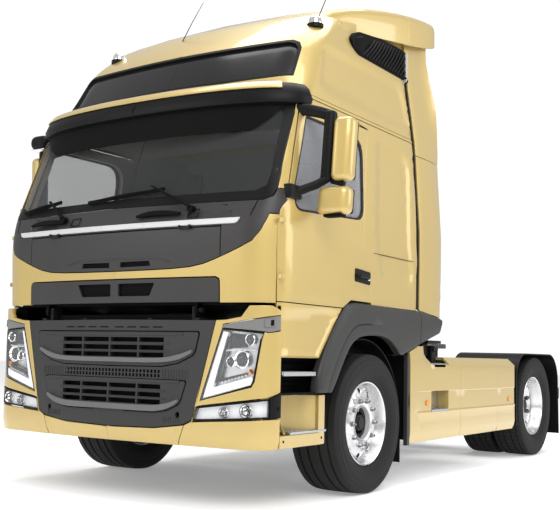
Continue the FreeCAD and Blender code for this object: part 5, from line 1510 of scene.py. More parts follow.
@dataclass
class Visor:
    """The sun visor: a thick body that wraps the cab's front, a painted lip and a dark sheet."""

    nose: tuple[Point2, ...] = ((0.0, -1.262), (0.35, -1.250), (0.70, -1.205), (0.95, -1.135),
                                (1.10, -1.055), (1.19, -0.960), (1.225, -0.860), (1.228, -0.80))
    middle: float = 2.705
    rise: float = 0.030

    def lift(self, share: float) -> float:
        """Return how much higher the visor stands at a share of its nose."""
        return self.rise * share ** 2

    def stations(self) -> list[tuple[np.ndarray, np.ndarray, float]]:
        """Return points along the nose, with the way inwards and how far along they are.

        Returns:
            The point, the way inwards and the share of the line, for each station.
        """
        line = [np.array(spot) for spot in smooth_line(self.nose, 6)]
        result = []
        for place, spot in enumerate(line):
            run = unit(line[min(place + 1, len(line) - 1)] - line[max(place - 1, 0)])
            result.append((spot, np.array((-run[1], run[0])), place / (len(line) - 1)))
        return result

    def sweep(self, section: Callable[[float], Sequence[Point2]], last: float = 1.0) -> Shape:
        """Return a section of inward distances and heights, carried along the nose.

        Args:
            section: gives the section at a share of the nose.
            last: the share at which the sweep ends.

        Returns:
            The swept form.
        """
        rings = []
        for spot, inward, share in self.stations():
            if share <= last:
                rings.append([(float(spot[0] + inward[0] * reach),
                               float(spot[1] + inward[1] * reach), height)
                              for reach, height in section(share)])
        return skin_rings(rings)

    def build(self) -> None:
        """Make the body, the lip and the sheet."""
        def body(share: float) -> list[Point2]:
            """Return the body's section, which shrinks to a rounded tip.

            Args:
                share: how far along the nose it is.

            Returns:
                The section.
            """
            end = max(0.0, (share - 0.86) / 0.14)
            size = math.sqrt(max(1.0 - end * end, 0.02))
            middle = self.middle + self.lift(share)
            profile = [(0.18, 0.088), (0.12, 0.086), (0.066, 0.068), (0.030, 0.030),
                       (0.0, -0.045), (0.006, -0.078), (0.05, -0.090), (0.18, -0.070)]
            return [(reach if size > 0.9 else reach * size + 0.07 * (1 - size),
                     middle + up * size) for reach, up in profile]

        half = self.sweep(body)
        piece("visor_body", half.both(), BLACK, "cab", ["sun_visor"], bevel=0.004, angle=50.0)

        def lip(share: float) -> list[Point2]:
            """Return the lip's section, which covers the body's upper front.

            Args:
                share: how far along the nose it is.

            Returns:
                The section.
            """
            lift = self.lift(share)
            return [(0.17, 2.802 + lift), (0.105, 2.800 + lift), (0.056, 2.778 + lift),
                    (0.020, 2.735 + lift), (0.018, 2.728 + lift), (0.030, 2.728 + lift),
                    (0.066, 2.770 + lift), (0.17, 2.790 + lift)]

        piece("visor_lip", self.sweep(lip, 0.60).both(), GOLD, "cab", bevel=0.003, angle=50.0)

        def sheet(share: float) -> list[Point2]:
            """Return the dark sheet's section under the body.

            Args:
                share: how far along the nose it is.

            Returns:
                The section.
            """
            drop = 0.190 * (1 - max(share - 0.45, 0.0) ** 2 * 3.2)
            low = 2.640 - drop
            return [(0.045, 2.645), (0.040, low + drop * 0.4), (0.055, low),
                    (0.060, low), (0.048, low + drop * 0.4), (0.053, 2.645)]

        piece("visor_sheet", self.sweep(sheet, 0.76).both(), MATT, "cab", bevel=0.001,
              angle=50.0)


def door_piece(name: str, shape: Shape, finish: Finish, left: bool, nodes: Sequence[str] = (),
               bevel: float = 0.0) -> None:
    """Make one piece that rides a door.

    Args:
        name: the piece's name, less its side.
        shape: its form, on the left.
        finish: its finish.
        left: whether it is on the left.
        nodes: the CAD nodes it stands for, less their side.
        bevel: how far its sharp edges are broken.
    """
    side = "left" if left else "right"
    piece("%s_%s" % (name, side), shape if left else shape.mirrored(), finish, "door_" + side,
          ["%s_%s" % (node, side) for node in nodes], bevel)


@dataclass
class Door:
    """One door with its foot panel, window, seal and handle, on the left or the right."""

    skin: CabSurface
    shell: CabShell
    left: bool = True
    window: tuple[Point2, ...] = ((-1.045, 1.902), (-0.125, 1.952), (-0.090, 2.572),
                                  (-0.878, 2.572), (-0.932, 2.40), (-1.004, 2.20),
                                  (-1.067, 2.035))

    def add(self, name: str, shape: Shape, finish: Finish, nodes: Sequence[str] = (),
            bevel: float = 0.0) -> None:
        """Make one piece on this side's door.

        Args:
            name: the piece's name, less its side.
            shape: its form, on the left.
            finish: its finish.
            nodes: the CAD nodes it stands for, less their side.
            bevel: how far its sharp edges are broken.
        """
        door_piece(name, shape, finish, self.left, nodes, bevel)

    def build(self) -> None:
        """Make the door's pieces."""
        side = self.skin.side
        frame = rounded(self.window, [0.09, 0.10, 0.16, 0.025, 0.02, 0.02, 0.03])
        hole = self.skin.sides(*frame)
        upper = self.skin.sides((-1.188, 1.309), (-0.402, 1.309), (-0.29, 1.368), (0.01, 1.366),
                                (0.01, 2.655))
        upper += self.shell.shut_line()[::-1] + [side(-1.132, 1.975), side(-1.188, 1.89)]
        crease = Emboss(self.skin.sides(
            (-1.15, 1.335), (-0.42, 1.335), (-0.31, 1.39), (-0.03, 1.39), (-0.03, 1.80),
            (-1.15, 1.80)), 0.0035, 0.03)
        self.add("door_skin", self.skin.panel([upper, hole], 0.032, relief=[crease]), GOLD,
                 ["door"], 0.003)
        lower = self.skin.sides((-1.188, 0.957), (-0.702, 0.957), (-0.512, 1.192),
                                (-0.414, 1.303), (-1.188, 1.303))
        fold = Emboss(self.skin.sides(
            (-1.187, 0.958), (-0.703, 0.958), (-0.514, 1.192), (-0.46, 1.255), (-0.60, 1.292),
            (-0.86, 1.266), (-1.187, 1.222)), -0.010, 0.018)
        self.add("door_foot", self.skin.panel([lower], 0.032, relief=[fold]), GOLD, (), 0.003)
        inner = [side(y * 0.995, z) for y, z in (
            (-1.17, 1.33), (-0.42, 1.33), (-0.29, 1.39), (0.0, 1.39), (0.0, 2.64), (-0.905, 2.64),
            (-0.985, 2.40), (-1.05, 2.20), (-1.115, 1.975), (-1.17, 1.88))]
        self.add("door_lining", self.skin.panel([inner, hole], 0.025, -0.033), LINING)
        centre = np.mean(frame, 0)
        seal = [side(*(centre + (np.array(spot) - centre) * 0.955)) for spot in frame]
        self.add("door_seal", self.skin.panel([hole, seal], 0.014, -0.001, 0.03), SEAL, (), 0.002)
        self.add("door_pane", self.skin.panel([hole], 0.005, -0.010, 0.08), DOOR_PANE,
                 ["door_glass"])
        self.handle()
        slot = self.skin.sides((-0.135, 2.672), (-0.012, 2.662), (-0.012, 2.654),
                               (-0.135, 2.664))
        self.add("door_slot", self.skin.panel([slot], 0.004, 0.0015, 0.05), MATT)
        hinges = []
        for low in (1.42, 1.78):
            hinges.append(plug(0.0, 0.0297, 0.009, (1.252, -1.192, low + 0.03), axis="z"))
            hinges.append(box((1.2, -1.192, low + 0.031), (1.252, -1.168, low + 0.0597)))
        self.add("door_barrels", join(hinges), GOLD)

    def handle(self) -> None:
        """Make the handle with its recess and lock."""
        side = self.skin.side
        plate = self.skin.panel([rounded(self.skin.sides(
            (-0.255, 1.505), (-0.025, 1.492), (-0.025, 1.585), (-0.255, 1.600)), 0.015)],
            0.01, 0.008, 0.03)
        path = [tuple(spot) for spot in self.skin.at(np.array(
            [side(y, 1.548) for y in (-0.225, -0.215, -0.15, -0.085, -0.07)]),
            np.array([0.005, 0.026, 0.030, 0.028, 0.005]))]
        self.add("door_handle", plate + tube(path, 0.011, 10, 1.5), BLACK, (), 0.002)
        self.add("door_lock", turned([(0.0, 0.0), (0.0, 0.012), (0.006, 0.010), (0.006, 0.0)],
                                     self.skin.point(side(-0.045, 1.530), 0.008), 16), CHROME)


class BumperSurface(CabSurface):
    """The outer face of the bumper, which has one plan at every height."""

    PLAN = ((0.0, -1.390), (0.20, -1.388), (0.332, -1.384), (0.465, -1.378), (0.598, -1.370),
            (0.730, -1.360), (0.863, -1.349), (0.980, -1.337), (1.040, -1.331), (1.088, -1.320),
            (1.131, -1.301), (1.170, -1.276), (1.206, -1.243), (1.228, -1.205), (1.235, -1.165),
            (1.235, -1.10), (1.235, -0.55))
    REAR = -0.55

    def __init__(self) -> None:
        """Work out the table of points and normals."""
        self.heights = np.arange(0.36, 1.3205, self.PITCH)
        path = np.array(smooth_line(self.PLAN, 6))
        length = np.concatenate([[0.0], np.cumsum(np.linalg.norm(np.diff(path, axis=0), axis=1))])
        self.reach = float(length[-1])
        self.spans = np.linspace(0.0, self.reach, self.COLUMNS)
        ring = np.stack([np.interp(self.spans, length, path[:, 0]),
                         np.interp(self.spans, length, path[:, 1])], 1)
        way = np.gradient(ring, axis=0)
        way /= np.linalg.norm(way, axis=1, keepdims=True)
        out = np.stack([way[:, 1], -way[:, 0]], 1)
        tuck = np.clip((0.46 - self.heights) / 0.07, 0.0, 1.2) ** 2 * -0.014
        plans = ring[None] + out[None] * tuck[:, None, None]
        rows = (*plans.shape[:2], 1)
        self.table = np.concatenate(
            [plans, np.broadcast_to(self.heights[:, None, None], rows)], 2)
        self.normals = np.concatenate([np.broadcast_to(out[None], plans.shape), np.zeros(rows)], 2)


@dataclass
class Bumper:
    """The painted bumper with its seams, and the lamp housings' grey covers."""

    skin: BumperSurface
    low: float = 0.386
    edge: float = -1.163
    lamp: tuple[Point2, ...] = ((0.904, 1.134), (0.750, 0.674), (1.115, 0.770), (1.132, 0.806),
                                (1.166, 1.061), (1.178, 1.112))

    def build(self) -> None:
        """Make the middle and the wings of the bumper, and the housings."""
        front, side = self.skin.front, self.skin.side
        middle = [front(0.0, self.low), front(0.584, self.low), front(0.633, 0.514),
                  front(0.40, 0.484), front(0.0, 0.474)]
        press = Emboss(rounded(self.skin.fronts(
            (0.30, 0.400), (0.545, 0.400), (0.575, 0.498), (0.36, 0.472)), 0.01), -0.0015, 0.006)
        piece("bumper_middle", self.skin.panel([middle], 0.030, relief=[press]).both(), GOLD,
              "chassis", ["front_bumper"], 0.004)
        wing = [front(0.589, self.low), front(1.195, self.low), side(self.edge, 0.392),
                side(self.edge, 0.576), front(1.19, 0.572), front(0.699, 0.538),
                front(0.720, 0.641), front(1.19, 0.707), side(self.edge, 0.742),
                side(self.edge, 1.122), front(1.196, 1.106),
                *self.skin.fronts(*self.lamp[:0:-1], self.lamp[0]), front(0.908, 1.160),
                front(1.10, 1.191),
                front(1.19, 1.209), side(self.edge, 1.225), side(self.edge, 1.242),
                front(1.212, 1.279), front(1.092, 1.276), front(1.040, 1.206),
                front(0.93, 1.187), front(0.857, 1.184), front(0.698, 0.545),
                front(0.638, 0.516)]
        piece("bumper_wings", self.skin.panel([wing], 0.028).both(), GOLD, "chassis", (), 0.004)
        cover = [front(0.912, 1.157), front(0.906, 1.137), front(1.176, 1.117),
                 front(1.20, 1.111), side(-1.17, 1.128), side(-1.17, 1.219), front(1.19, 1.203),
                 front(1.10, 1.186)]
        cap = self.skin.fronts((1.178, 1.140), (1.222, 1.146), (1.222, 1.198), (1.178, 1.190))
        dot = self.skin.fronts((1.205, 1.152), (1.217, 1.154), (1.217, 1.190), (1.205, 1.187))
        shape = self.skin.panel([cover], 0.022, -0.002) + self.skin.panel(
            [rounded(cap, 0.008)], 0.008, 0.005)
        piece("lamp_covers", shape.both(), HOUSING, "chassis", (), 0.003)
        piece("washer_marks", self.skin.panel([dot], 0.003, 0.0058).both(), MATT, "chassis")
        strap = join(box((x - 0.02, -1.345, 1.13), (x + 0.02, -1.10, 1.20)) for x in (0.70, 0.3))
        piece("bumper_ties", strap.both(), CHASSIS, "chassis", (), 0.004)


@dataclass
class Grille:
    """The dark grille: two framed blocks of slots, their lips, and a fine mesh between them."""

    skin: BumperSurface
    half: float = 0.466
    ribs: tuple[float, ...] = (-0.262, -0.008, 0.246)
    upper_rows: tuple[Point2, ...] = ((1.040, 1.070), (0.988, 1.019), (0.941, 0.970))
    lower_rows: tuple[Point2, ...] = ((0.736, 0.765), (0.684, 0.713), (0.637, 0.666))
    rib: float = 0.014
    inset: Point2 = (0.988, 0.955)

    def spot(self, across: float, height: float) -> Point2:
        """Return the signed place of a point, for shapes that cross the middle."""
        return math.copysign(self.skin.front(abs(across), height)[0], across), height

    def panel(self, loops: Sequence[Sequence[Point2]], depth: float, stand: float,
              step: float = 0.05) -> Shape:
        """Return a plate over the grille's whole width.

        Args:
            loops: its outline and holes, in signed places.
            depth: how thick it is.
            stand: how far its face stands off the skin.
            step: the spacing of its points.

        Returns:
            The plate.
        """
        spots, triangles = fill(loops, step=step)
        sign = np.sign(spots[:, 0])[:, None] * np.array([[1.0, 0.0, 0.0]]) + [[0.0, 1.0, 1.0]]
        sign[:, 0] = np.where(sign[:, 0] == 0, 1.0, sign[:, 0])
        folded = np.stack([np.abs(spots[:, 0]), spots[:, 1]], 1)
        return thicken(self.skin.at(folded, stand) * sign,
                       self.skin.at(folded, stand - depth) * sign, triangles)

    def outline(self, half: Sequence[Point2]) -> list[Point2]:
        """Return a closed outline from its right half, given from bottom to top."""
        right = [self.spot(*spot) for spot in half]
        return right + [(-across, height) for across, height in right[::-1]]

    def corners(self, left: float, right: float, low: float, high: float) -> list[Point2]:
        """Return the places of an upright oblong's corners."""
        return [self.spot(*spot) for spot in oblong(left, right, low, high)]

    def cells(self, rows: Sequence[Point2], half: float) -> list[list[Point2]]:
        """Return the slot outlines of one block.

        Args:
            rows: the lower and upper edges of the rows.
            half: half the width of a row.

        Returns:
            The outlines.
        """
        stops = [-half, *self.ribs, half]
        return [self.corners(a + self.rib / 2, b - self.rib / 2, low, high)
                for low, high in rows for a, b in zip(stops, stops[1:])]

    def lip(self, points: Sequence[Point2], thick: Sequence[float], stand: float) -> Shape:
        """Return the curved bar along the foot of a block.

        Args:
            points: the right half of its middle line, from the middle outwards.
            thick: its height at each of them.
            stand: how far its face stands off the skin.

        Returns:
            The bar.
        """
        middle = smooth_line([self.spot(*spot) for spot in points], 5)
        width = [size for (size,) in smooth_line([(value,) for value in thick], 5)]
        low = [(a, b - w / 2) for (a, b), w in zip(middle, width)]
        high = [(a, b + w / 2) for (a, b), w in zip(middle, width)]
        right = low + high[::-1]
        whole = right + [(-a, b) for a, b in right[::-1]]
        return self.panel([whole], 0.030, stand, 0.03)

    def build(self) -> None:
        """Make the grille's pieces."""
        # The halves end 0.1 mm off the middle, so that no point is doubled.
        frame = self.outline([(0.0001, 0.480), (0.40, 0.490), (0.630, 0.521), (0.693, 0.551),
                              (0.852, 1.183), (0.0001, 1.188)])
        top = self.outline([(0.0001, 0.876), (0.45, 0.880), (0.58, 0.904), (0.690, 0.955),
                            (0.712, 0.985), (0.738, 1.098), (0.728, 1.113), (0.0001, 1.113)])
        foot = self.outline([(0.0001, 0.608), (0.115, 0.608), (0.14, 0.585), (0.40, 0.585),
                             (0.50, 0.602), (0.585, 0.640), (0.610, 0.675), (0.646, 0.785),
                             (0.636, 0.799), (0.0001, 0.799)])
        mesh = self.outline([(0.0001, 0.812), (0.43, 0.812), (0.43, 0.859), (0.0001, 0.859)])
        holes = [[self.spot(x + 0.016 * math.cos(turn), 0.578 + 0.020 * math.sin(turn))
                  for turn in np.linspace(0, 2 * math.pi, 13)[:-1]] for x in (0.582, -0.582)]
        vents = [self.corners(sign * a, sign * b, 1.135, 1.141) for sign in (1, -1)
                 for a, b in ((0.03, 0.11), (0.14, 0.22), (0.25, 0.33), (0.36, 0.44))]
        plate = self.panel([frame, top, foot, mesh, *holes, *vents], 0.020, -0.002)
        piece("grille_plate", plate, GREY, "chassis", ["grille"], 0.003)
        self.block("upper", top, self.upper_rows, self.half)
        self.block("lower", foot, self.lower_rows, self.half - 0.016)
        lips = self.lip([(0.0, 0.920), (0.25, 0.920), (0.47, 0.926), (0.60, 0.950),
                         (0.69, 0.985)], (0.032, 0.032, 0.032, 0.034, 0.022), 0.022)
        lips = lips + self.lip([(0.115, 0.612), (0.30, 0.612), (0.42, 0.616), (0.52, 0.636),
                                (0.592, 0.668)], (0.038, 0.040, 0.040, 0.036, 0.022), 0.022)
        piece("grille_lips", lips, LIPS, "chassis", (), 0.006)
        plaque = self.panel([self.outline([(0.0001, 0.585), (0.09, 0.588), (0.11, 0.632),
                                           (0.0001, 0.634)])], 0.03, 0.010)
        piece("grille_notch", plaque, DARK, "chassis", (), 0.004)
        self.mesh()

    def block(self, name: str, outline: Sequence[Point2], rows: Sequence[Point2],
              half: float) -> None:
        """Make one block of slots with its slats.

        Args:
            name: which block it is.
            outline: the opening that it fills.
            rows: the lower and upper edges of its rows of slots.
            half: half the width of a row.
        """
        centre = np.mean(outline, 0)
        edge = [tuple(centre + (np.array(spot) - centre) * self.inset) for spot in outline]
        plate = self.panel([edge, *self.cells(rows, half)], 0.030, 0.003, 0.04)
        piece("grille_block_" + name, plate, GREY, "chassis", (), 0.003)
        slats = []
        for (low, _), (_, high) in zip(rows, rows[1:]):
            foot = (low + high) / 2 - 0.0035
            slats.append(self.panel([self.corners(-half - 0.035, half + 0.035, foot,
                                                  foot + 0.007)], 0.012, 0.008))
        head = rows[0][1] + 0.012
        slats.append(self.panel([[self.spot(-half - 0.14, head), self.spot(half + 0.14, head),
                                  self.spot(half + 0.15, head + 0.020),
                                  self.spot(-half - 0.15, head + 0.020)]], 0.012, 0.008))
        piece("grille_slats_" + name, join(slats), GREY, "chassis", (), 0.0025)

    def mesh(self) -> None:
        """Make the bars between the blocks, the ridges beside them and the dark backing."""
        bars = [self.panel([self.corners(x, x + 0.011, 0.81, 0.861)], 0.014, -0.004, 0)
                for x in np.arange(-0.425, 0.425, 0.0305) + 0.003]
        bars.append(self.panel([self.corners(-0.43, 0.43, 0.8325, 0.8395)], 0.014, -0.003))
        ridges = [self.panel([self.corners(sign * x, sign * (x + 0.004), low, high)],
                             0.004, 0.001, 0)
                  for row, low, high in ((np.arange(0.455, 0.655, 0.022), 0.806, 0.865),
                                         (np.arange(0.47, 0.60, 0.020), 0.525, 0.560))
                  for x in row for sign in (1, -1)]
        piece("grille_mesh", join(bars + ridges), DARK, "chassis", (), 0.001)
        back = self.panel([self.outline([(0.0001, 0.55), (0.66, 0.56), (0.79, 1.15),
                                         (0.0001, 1.15)])], 0.004, -0.048)
        piece("grille_backing", back, MATT, "chassis")


@dataclass
class Lamps:
    """The headlamps and the fog lamps: buckets, modules, light guides and lenses."""

    skin: BumperSurface
    bumper: Bumper
    units: tuple[Point3, ...] = (  # across, height, radius
        (1.045, 0.940, 0.052), (1.110, 1.065, 0.034), (0.965, 0.925, 0.030))
    fog_units: tuple[Point3, ...] = ((0.925, 0.608, 0.034), (1.085, 0.622, 0.043))

    def shrink(self, loop: Sequence[Point2], by: float) -> list[Point2]:
        """Return a loop moved inwards."""
        return Emboss([tuple(spot) for spot in loop], 0.0, by).lines()[1]

    def build(self) -> None:
        """Make the headlamps and the fog lamps."""
        front = self.skin.front
        rim = self.skin.fronts(*self.bumper.lamp)
        glass, well = self.shrink(rim, 0.012), self.shrink(rim, 0.009)
        frame = self.skin.panel([self.shrink(rim, 0.001), self.shrink(rim, 0.013)], 0.05, -0.001,
                                0.03)
        piece("lamp_frames", frame.both(), BLACK, "chassis", ["headlamps"], 0.001)
        bowl = self.skin.panel([well], 0.006, -0.060)
        piece("lamp_bowls", bowl.both(), ALLOY, "chassis")
        piece("lamp_panes", self.skin.panel([glass], 0.003, 0.003).both(), LENS, "chassis")
        guide = self.skin.fronts((0.905, 1.118), (0.767, 0.690), (1.108, 0.782), (1.122, 0.815),
                                 (1.116, 0.835), (0.838, 0.760), (0.943, 1.110))
        piece("light_guides", self.skin.panel([guide], 0.040, -0.010).both(), WHITE, "chassis",
              (), 0.004)
        inner = self.skin.fronts((0.925, 1.085), (0.852, 0.790), (1.098, 0.850), (1.085, 0.862),
                                 (0.872, 0.812), (0.942, 1.080))
        line = self.skin.panel([inner], 0.02, -0.018)
        chips = join(self.skin.panel([[front(x, z), front(x + 0.014, z + 0.004),
                                       front(x + 0.014, z + 0.014), front(x, z + 0.010)]],
                                     0.01, -0.012)
                     for x, z in ((0.90 + step * 0.024, 0.788 + step * 0.0067)
                                  for step in range(8)))
        piece("lamp_ribs", chips.both(), CHROME, "chassis", (), 0.001)
        piece("lamp_lines", line.both(), CHASSIS, "chassis", (), 0.001)
        # The black plate in the upper part of each headlamp is painted shade: it darkens that
        # region of the lamp.
        painted_shade = self.skin.panel([self.skin.fronts((0.955, 1.105), (0.935, 1.010), (1.06, 1.015),
                                                  (1.06, 1.095))], 0.012, -0.035)
        arch = self.skin.panel([self.skin.fronts((0.930, 1.000), (0.925, 0.990), (1.14, 0.998),
                                                 (1.14, 1.010))], 0.03, -0.018)
        piece("lamp_painted_shade", painted_shade.both(), BLACK, "chassis", (), 0.002)
        piece("lamp_arches", arch.both(), CHROME, "chassis", (), 0.002)
        self.optics()
        amber = self.skin.panel([rounded(self.skin.fronts(
            (1.090, 0.845), (1.126, 0.850), (1.130, 0.885), (1.096, 0.885)), 0.008)],
            0.02, -0.015)
        piece("turn_lamps", amber.both(), AMBER, "chassis", (), 0.003)
        self.fogs()

    def optics(self) -> None:
        """Make the round units of the headlamps: a ring, a cup and a dark bead each."""
        rings, cups, beads = [], [], []
        for across, height, radius in self.units:
            across, tip, _ = self.skin.point(self.skin.front(across, height), -0.052)
            centre = (across, 0.0, height)
            rings.append(turned([(tip, radius * 1.05), (tip - 0.034, radius * 1.12),
                                 (tip - 0.038, radius * 1.02), (tip - 0.030, radius * 0.84),
                                 (tip - 0.014, radius * 0.74)], centre, 32, "y"))
            cups.append(turned([(tip - 0.004, 0.0), (tip - 0.012, radius * 0.76),
                                (tip - 0.002, radius * 0.78), (tip, 0.0)], centre, 24, "y"))
            beads.append(turned([(tip - 0.036, 0.0), (tip - 0.034, radius * 0.3),
                                 (tip - 0.026, radius * 0.58), (tip - 0.014, radius * 0.70),
                                 (tip - 0.012, 0.0)], centre, 24, "y"))
        piece("lamp_rings", join(rings).both(), CHROME, "chassis")
        piece("lamp_cups", join(cups).both(), MATT, "chassis")
        piece("lamp_beads", join(beads).both(), GLOSS, "chassis")

    def fogs(self) -> None:
        """Make the fog lamps, with their frames and the side fillers."""
        front, side = self.skin.front, self.skin.side
        gap = self.skin.fronts((0.705, 0.546), (1.205, 0.580), (1.205, 0.702), (0.727, 0.636))
        filler = [front(1.209, 0.580), side(-1.150, 0.583), side(-1.150, 0.738),
                  front(1.209, 0.706)]
        ring = self.skin.panel([self.shrink(gap, 0.001), self.shrink(gap, 0.011)], 0.04, 0.0, 0.03)
        block = self.skin.panel([filler], 0.024, -0.002)
        piece("fog_frames", (ring + block).both(), BLACK, "chassis", ["fog_lamps"], 0.002)
        bowl = self.skin.panel([self.shrink(gap, 0.010)], 0.006, -0.034)
        piece("fog_bowls", bowl.both(), WHITE, "chassis")
        pane = self.skin.panel([self.shrink(gap, 0.011)], 0.003, -0.003)
        piece("fog_panes", pane.both(), LENS, "chassis")
        rings, dark = [], []
        for across, height, radius in self.fog_units:
            across, tip, _ = self.skin.point(front(across, height), -0.032)
            centre = (across, 0.0, height)
            rings.append(turned([(tip, radius), (tip - 0.020, radius), (tip - 0.024, radius * 0.88),
                                 (tip - 0.010, radius * 0.3), (tip - 0.010, 0.0)], centre, 32, "y"))
            dark += [turned([(tip - 0.022, radius * share), (tip - 0.0265, radius * share),
                             (tip - 0.0265, radius * (share - 0.09)),
                             (tip - 0.022, radius * (share - 0.09))], centre, 24, "y", closed=True)
                     for share in (0.98, 0.62)]
            dark += [box((across - radius * 0.8, tip - 0.026, height + lift),
                         (across + radius * 0.8, tip - 0.0225, height + lift + 0.0025))
                     for lift in (-0.018, 0.0, 0.018)]
        piece("fog_cups", join(rings).both(), CHROME, "chassis")
        piece("fog_ribs", join(dark).both(), CHASSIS, "chassis")
        hole = plug(1.20, 1.2335, 0.014, (0.0, -1.172, 0.640))
        piece("tow_plugs", hole.both(), MATT, "chassis")


def pod(low: Point3, high: Point3, radius: float, parts: int = 4) -> Shape:
    """Return a block between two corners with every edge rounded.

    Args:
        low: the corner with the smallest coordinates.
        high: the corner with the largest.
        radius: the radius of the edges.
        parts: how many edges a corner has.

    Returns:
        The block.
    """
    turns = np.linspace(-math.pi / 2, 0.0, parts + 1)
    levels = [(low[2] + radius + radius * math.sin(turn), radius - radius * math.cos(turn))
              for turn in turns]
    levels += [(high[2] - radius - radius * math.sin(turn), radius - radius * math.cos(turn))
               for turn in turns[::-1]]
    rings = []
    for height, inset in levels:
        soft = max(radius - inset, 1e-4)
        ring = []
        for centre_x, centre_y, start in (
                (high[0] - radius, high[1] - radius, 0.0), (low[0] + radius, high[1] - radius, 0.5),
                (low[0] + radius, low[1] + radius, 1.0), (high[0] - radius, low[1] + radius, 1.5)):
            for turn in np.linspace(0, math.pi / 2, parts + 1):
                angle = start * math.pi + turn
                ring.append((centre_x + soft * math.cos(angle), centre_y + soft * math.sin(angle),
                             height))
        rings.append(ring)
    return skin_rings(rings)


def studs(low: Point2, high: Point2, top: float, pitch: float = 0.022) -> Shape:
    """Return rows of raised teeth on a tread.

    Args:
        low: one corner of the tread, in plan.
        high: the other corner.
        top: the height of the tread's face.
        pitch: the spacing of the teeth.

    Returns:
        The teeth.
    """
    parts = []
    for row, y in enumerate(np.arange(low[1] + 0.012, high[1] - 0.01, pitch)):
        for x in np.arange(low[0] + 0.010 + (row % 2) * pitch / 2, high[0] - 0.008, pitch):
            parts.append(box((x - 0.004, y - 0.007, top - 0.001),
                             (x + 0.004, y + 0.007, top + 0.0035)))
    return join(parts)


@dataclass
class Mirrors:
    """The door mirrors with their dark brackets, and the kerb mirror on the right."""

    tall: tuple[Point3, Point3] = ((1.407, -0.885, 2.112), (1.537, -0.765, 2.535))
    wide: tuple[Point3, Point3] = ((1.328, -0.885, 1.888), (1.538, -0.765, 2.078))
    kerb: tuple[Point3, Point3] = ((1.285, -0.905, 2.598), (1.462, -0.690, 2.715))
    root: float = 1.155
    right_reach: float = 0.8

    def add(self, name: str, shape: Shape, finish: Finish, left: bool,
            nodes: Sequence[str] = (), bevel: float = 0.0) -> None:
        """Make one piece of a side's mirror.

        Args:
            name: the piece's name, less its side.
            shape: its form, on the left.
            finish: its finish.
            left: whether it is on the left.
            nodes: the CAD nodes it stands for, less their side.
            bevel: how far its sharp edges are broken.
        """
        if not left:
            shape = shape.mapped(lambda p: (self.root + (p[0] - self.root) * self.right_reach,
                                            p[1], p[2]))
        door_piece(name, shape, finish, left, nodes, bevel)

    def lean(self, shape: Shape) -> Shape:
        """Return a head leant so that its top stands further out."""
        return shape.mapped(lambda p: (p[0] + (p[2] - 2.34) * 0.06, p[1] + (p[0] - 1.45) * 0.22,
                                       p[2]))

    def build(self) -> None:
        """Make both sides' mirrors and the kerb mirror."""
        for left in (True, False):
            heads = self.lean(pod(*self.tall, 0.040)) + self.lean(pod(*self.wide, 0.045))
            self.add("mirror_heads", heads, GOLD, left, ["mirror"])
            rims = self.lean(pod((1.419, -0.785, 2.126), (1.525, -0.752, 2.521), 0.015)
                             + pod((1.340, -0.785, 1.902), (1.526, -0.752, 2.064), 0.015))
            self.add("mirror_rims", rims, BLACK, left)
            plates = self.lean(join(slab(Plane.FRONT, -0.754, -0.749, rounded(loop, 0.03), step=0.1)
                                    for loop in (oblong(1.428, 1.516, 2.136, 2.511),
                                                 oblong(1.350, 1.516, 1.912, 2.054))))
            self.add("mirror_plates", plates, CHROME, left, (), 0.001)
            post = self.lean(pod((1.336, -0.872, 2.110), (1.404, -0.800, 2.585), 0.024))
            top = tube([(1.155, -0.925, 2.600), (1.23, -0.905, 2.597), (1.31, -0.868, 2.578),
                        (1.372, -0.842, 2.556)], lambda share: 0.034 - 0.004 * share, 12, 1.25)
            low = tube([(1.232, -1.070, 1.995), (1.262, -1.030, 2.030), (1.325, -0.920, 2.085),
                        (1.372, -0.842, 2.140)], lambda share: 0.026 - 0.004 * share, 12, 1.2)
            foot = pod((1.205, -1.150, 1.972), (1.268, -1.005, 2.064), 0.014)
            hook = tube([(1.385, -0.840, 2.115), (1.44, -0.838, 2.098), (1.485, -0.838, 2.09)],
                        0.017, 10)
            joint = tube([(1.462, -0.838, 2.118), (1.465, -0.838, 2.066)], 0.012, 10)
            self.add("mirror_brackets", post + top + low + foot + hook + joint, BLACK, left, (),
                     0.002)
            sensor = pod((1.345, -0.875, 1.874), (1.48, -0.80, 1.896), 0.008)
            self.add("mirror_sensors", sensor, MATT, left)
        head = pod(*self.kerb, 0.050)
        arm = tube([(1.30, -0.80, 2.66), (1.24, -0.79, 2.665), (1.19, -0.78, 2.650)], 0.020, 10)
        piece("kerb_head", (head + arm).mirrored(), BLACK, "door_right", ["kerb_mirror"], 0.002)
        glass = pod((1.300, -0.890, 2.591), (1.447, -0.705, 2.603), 0.005)
        piece("kerb_plate", glass.mirrored(), CHROME, "door_right")


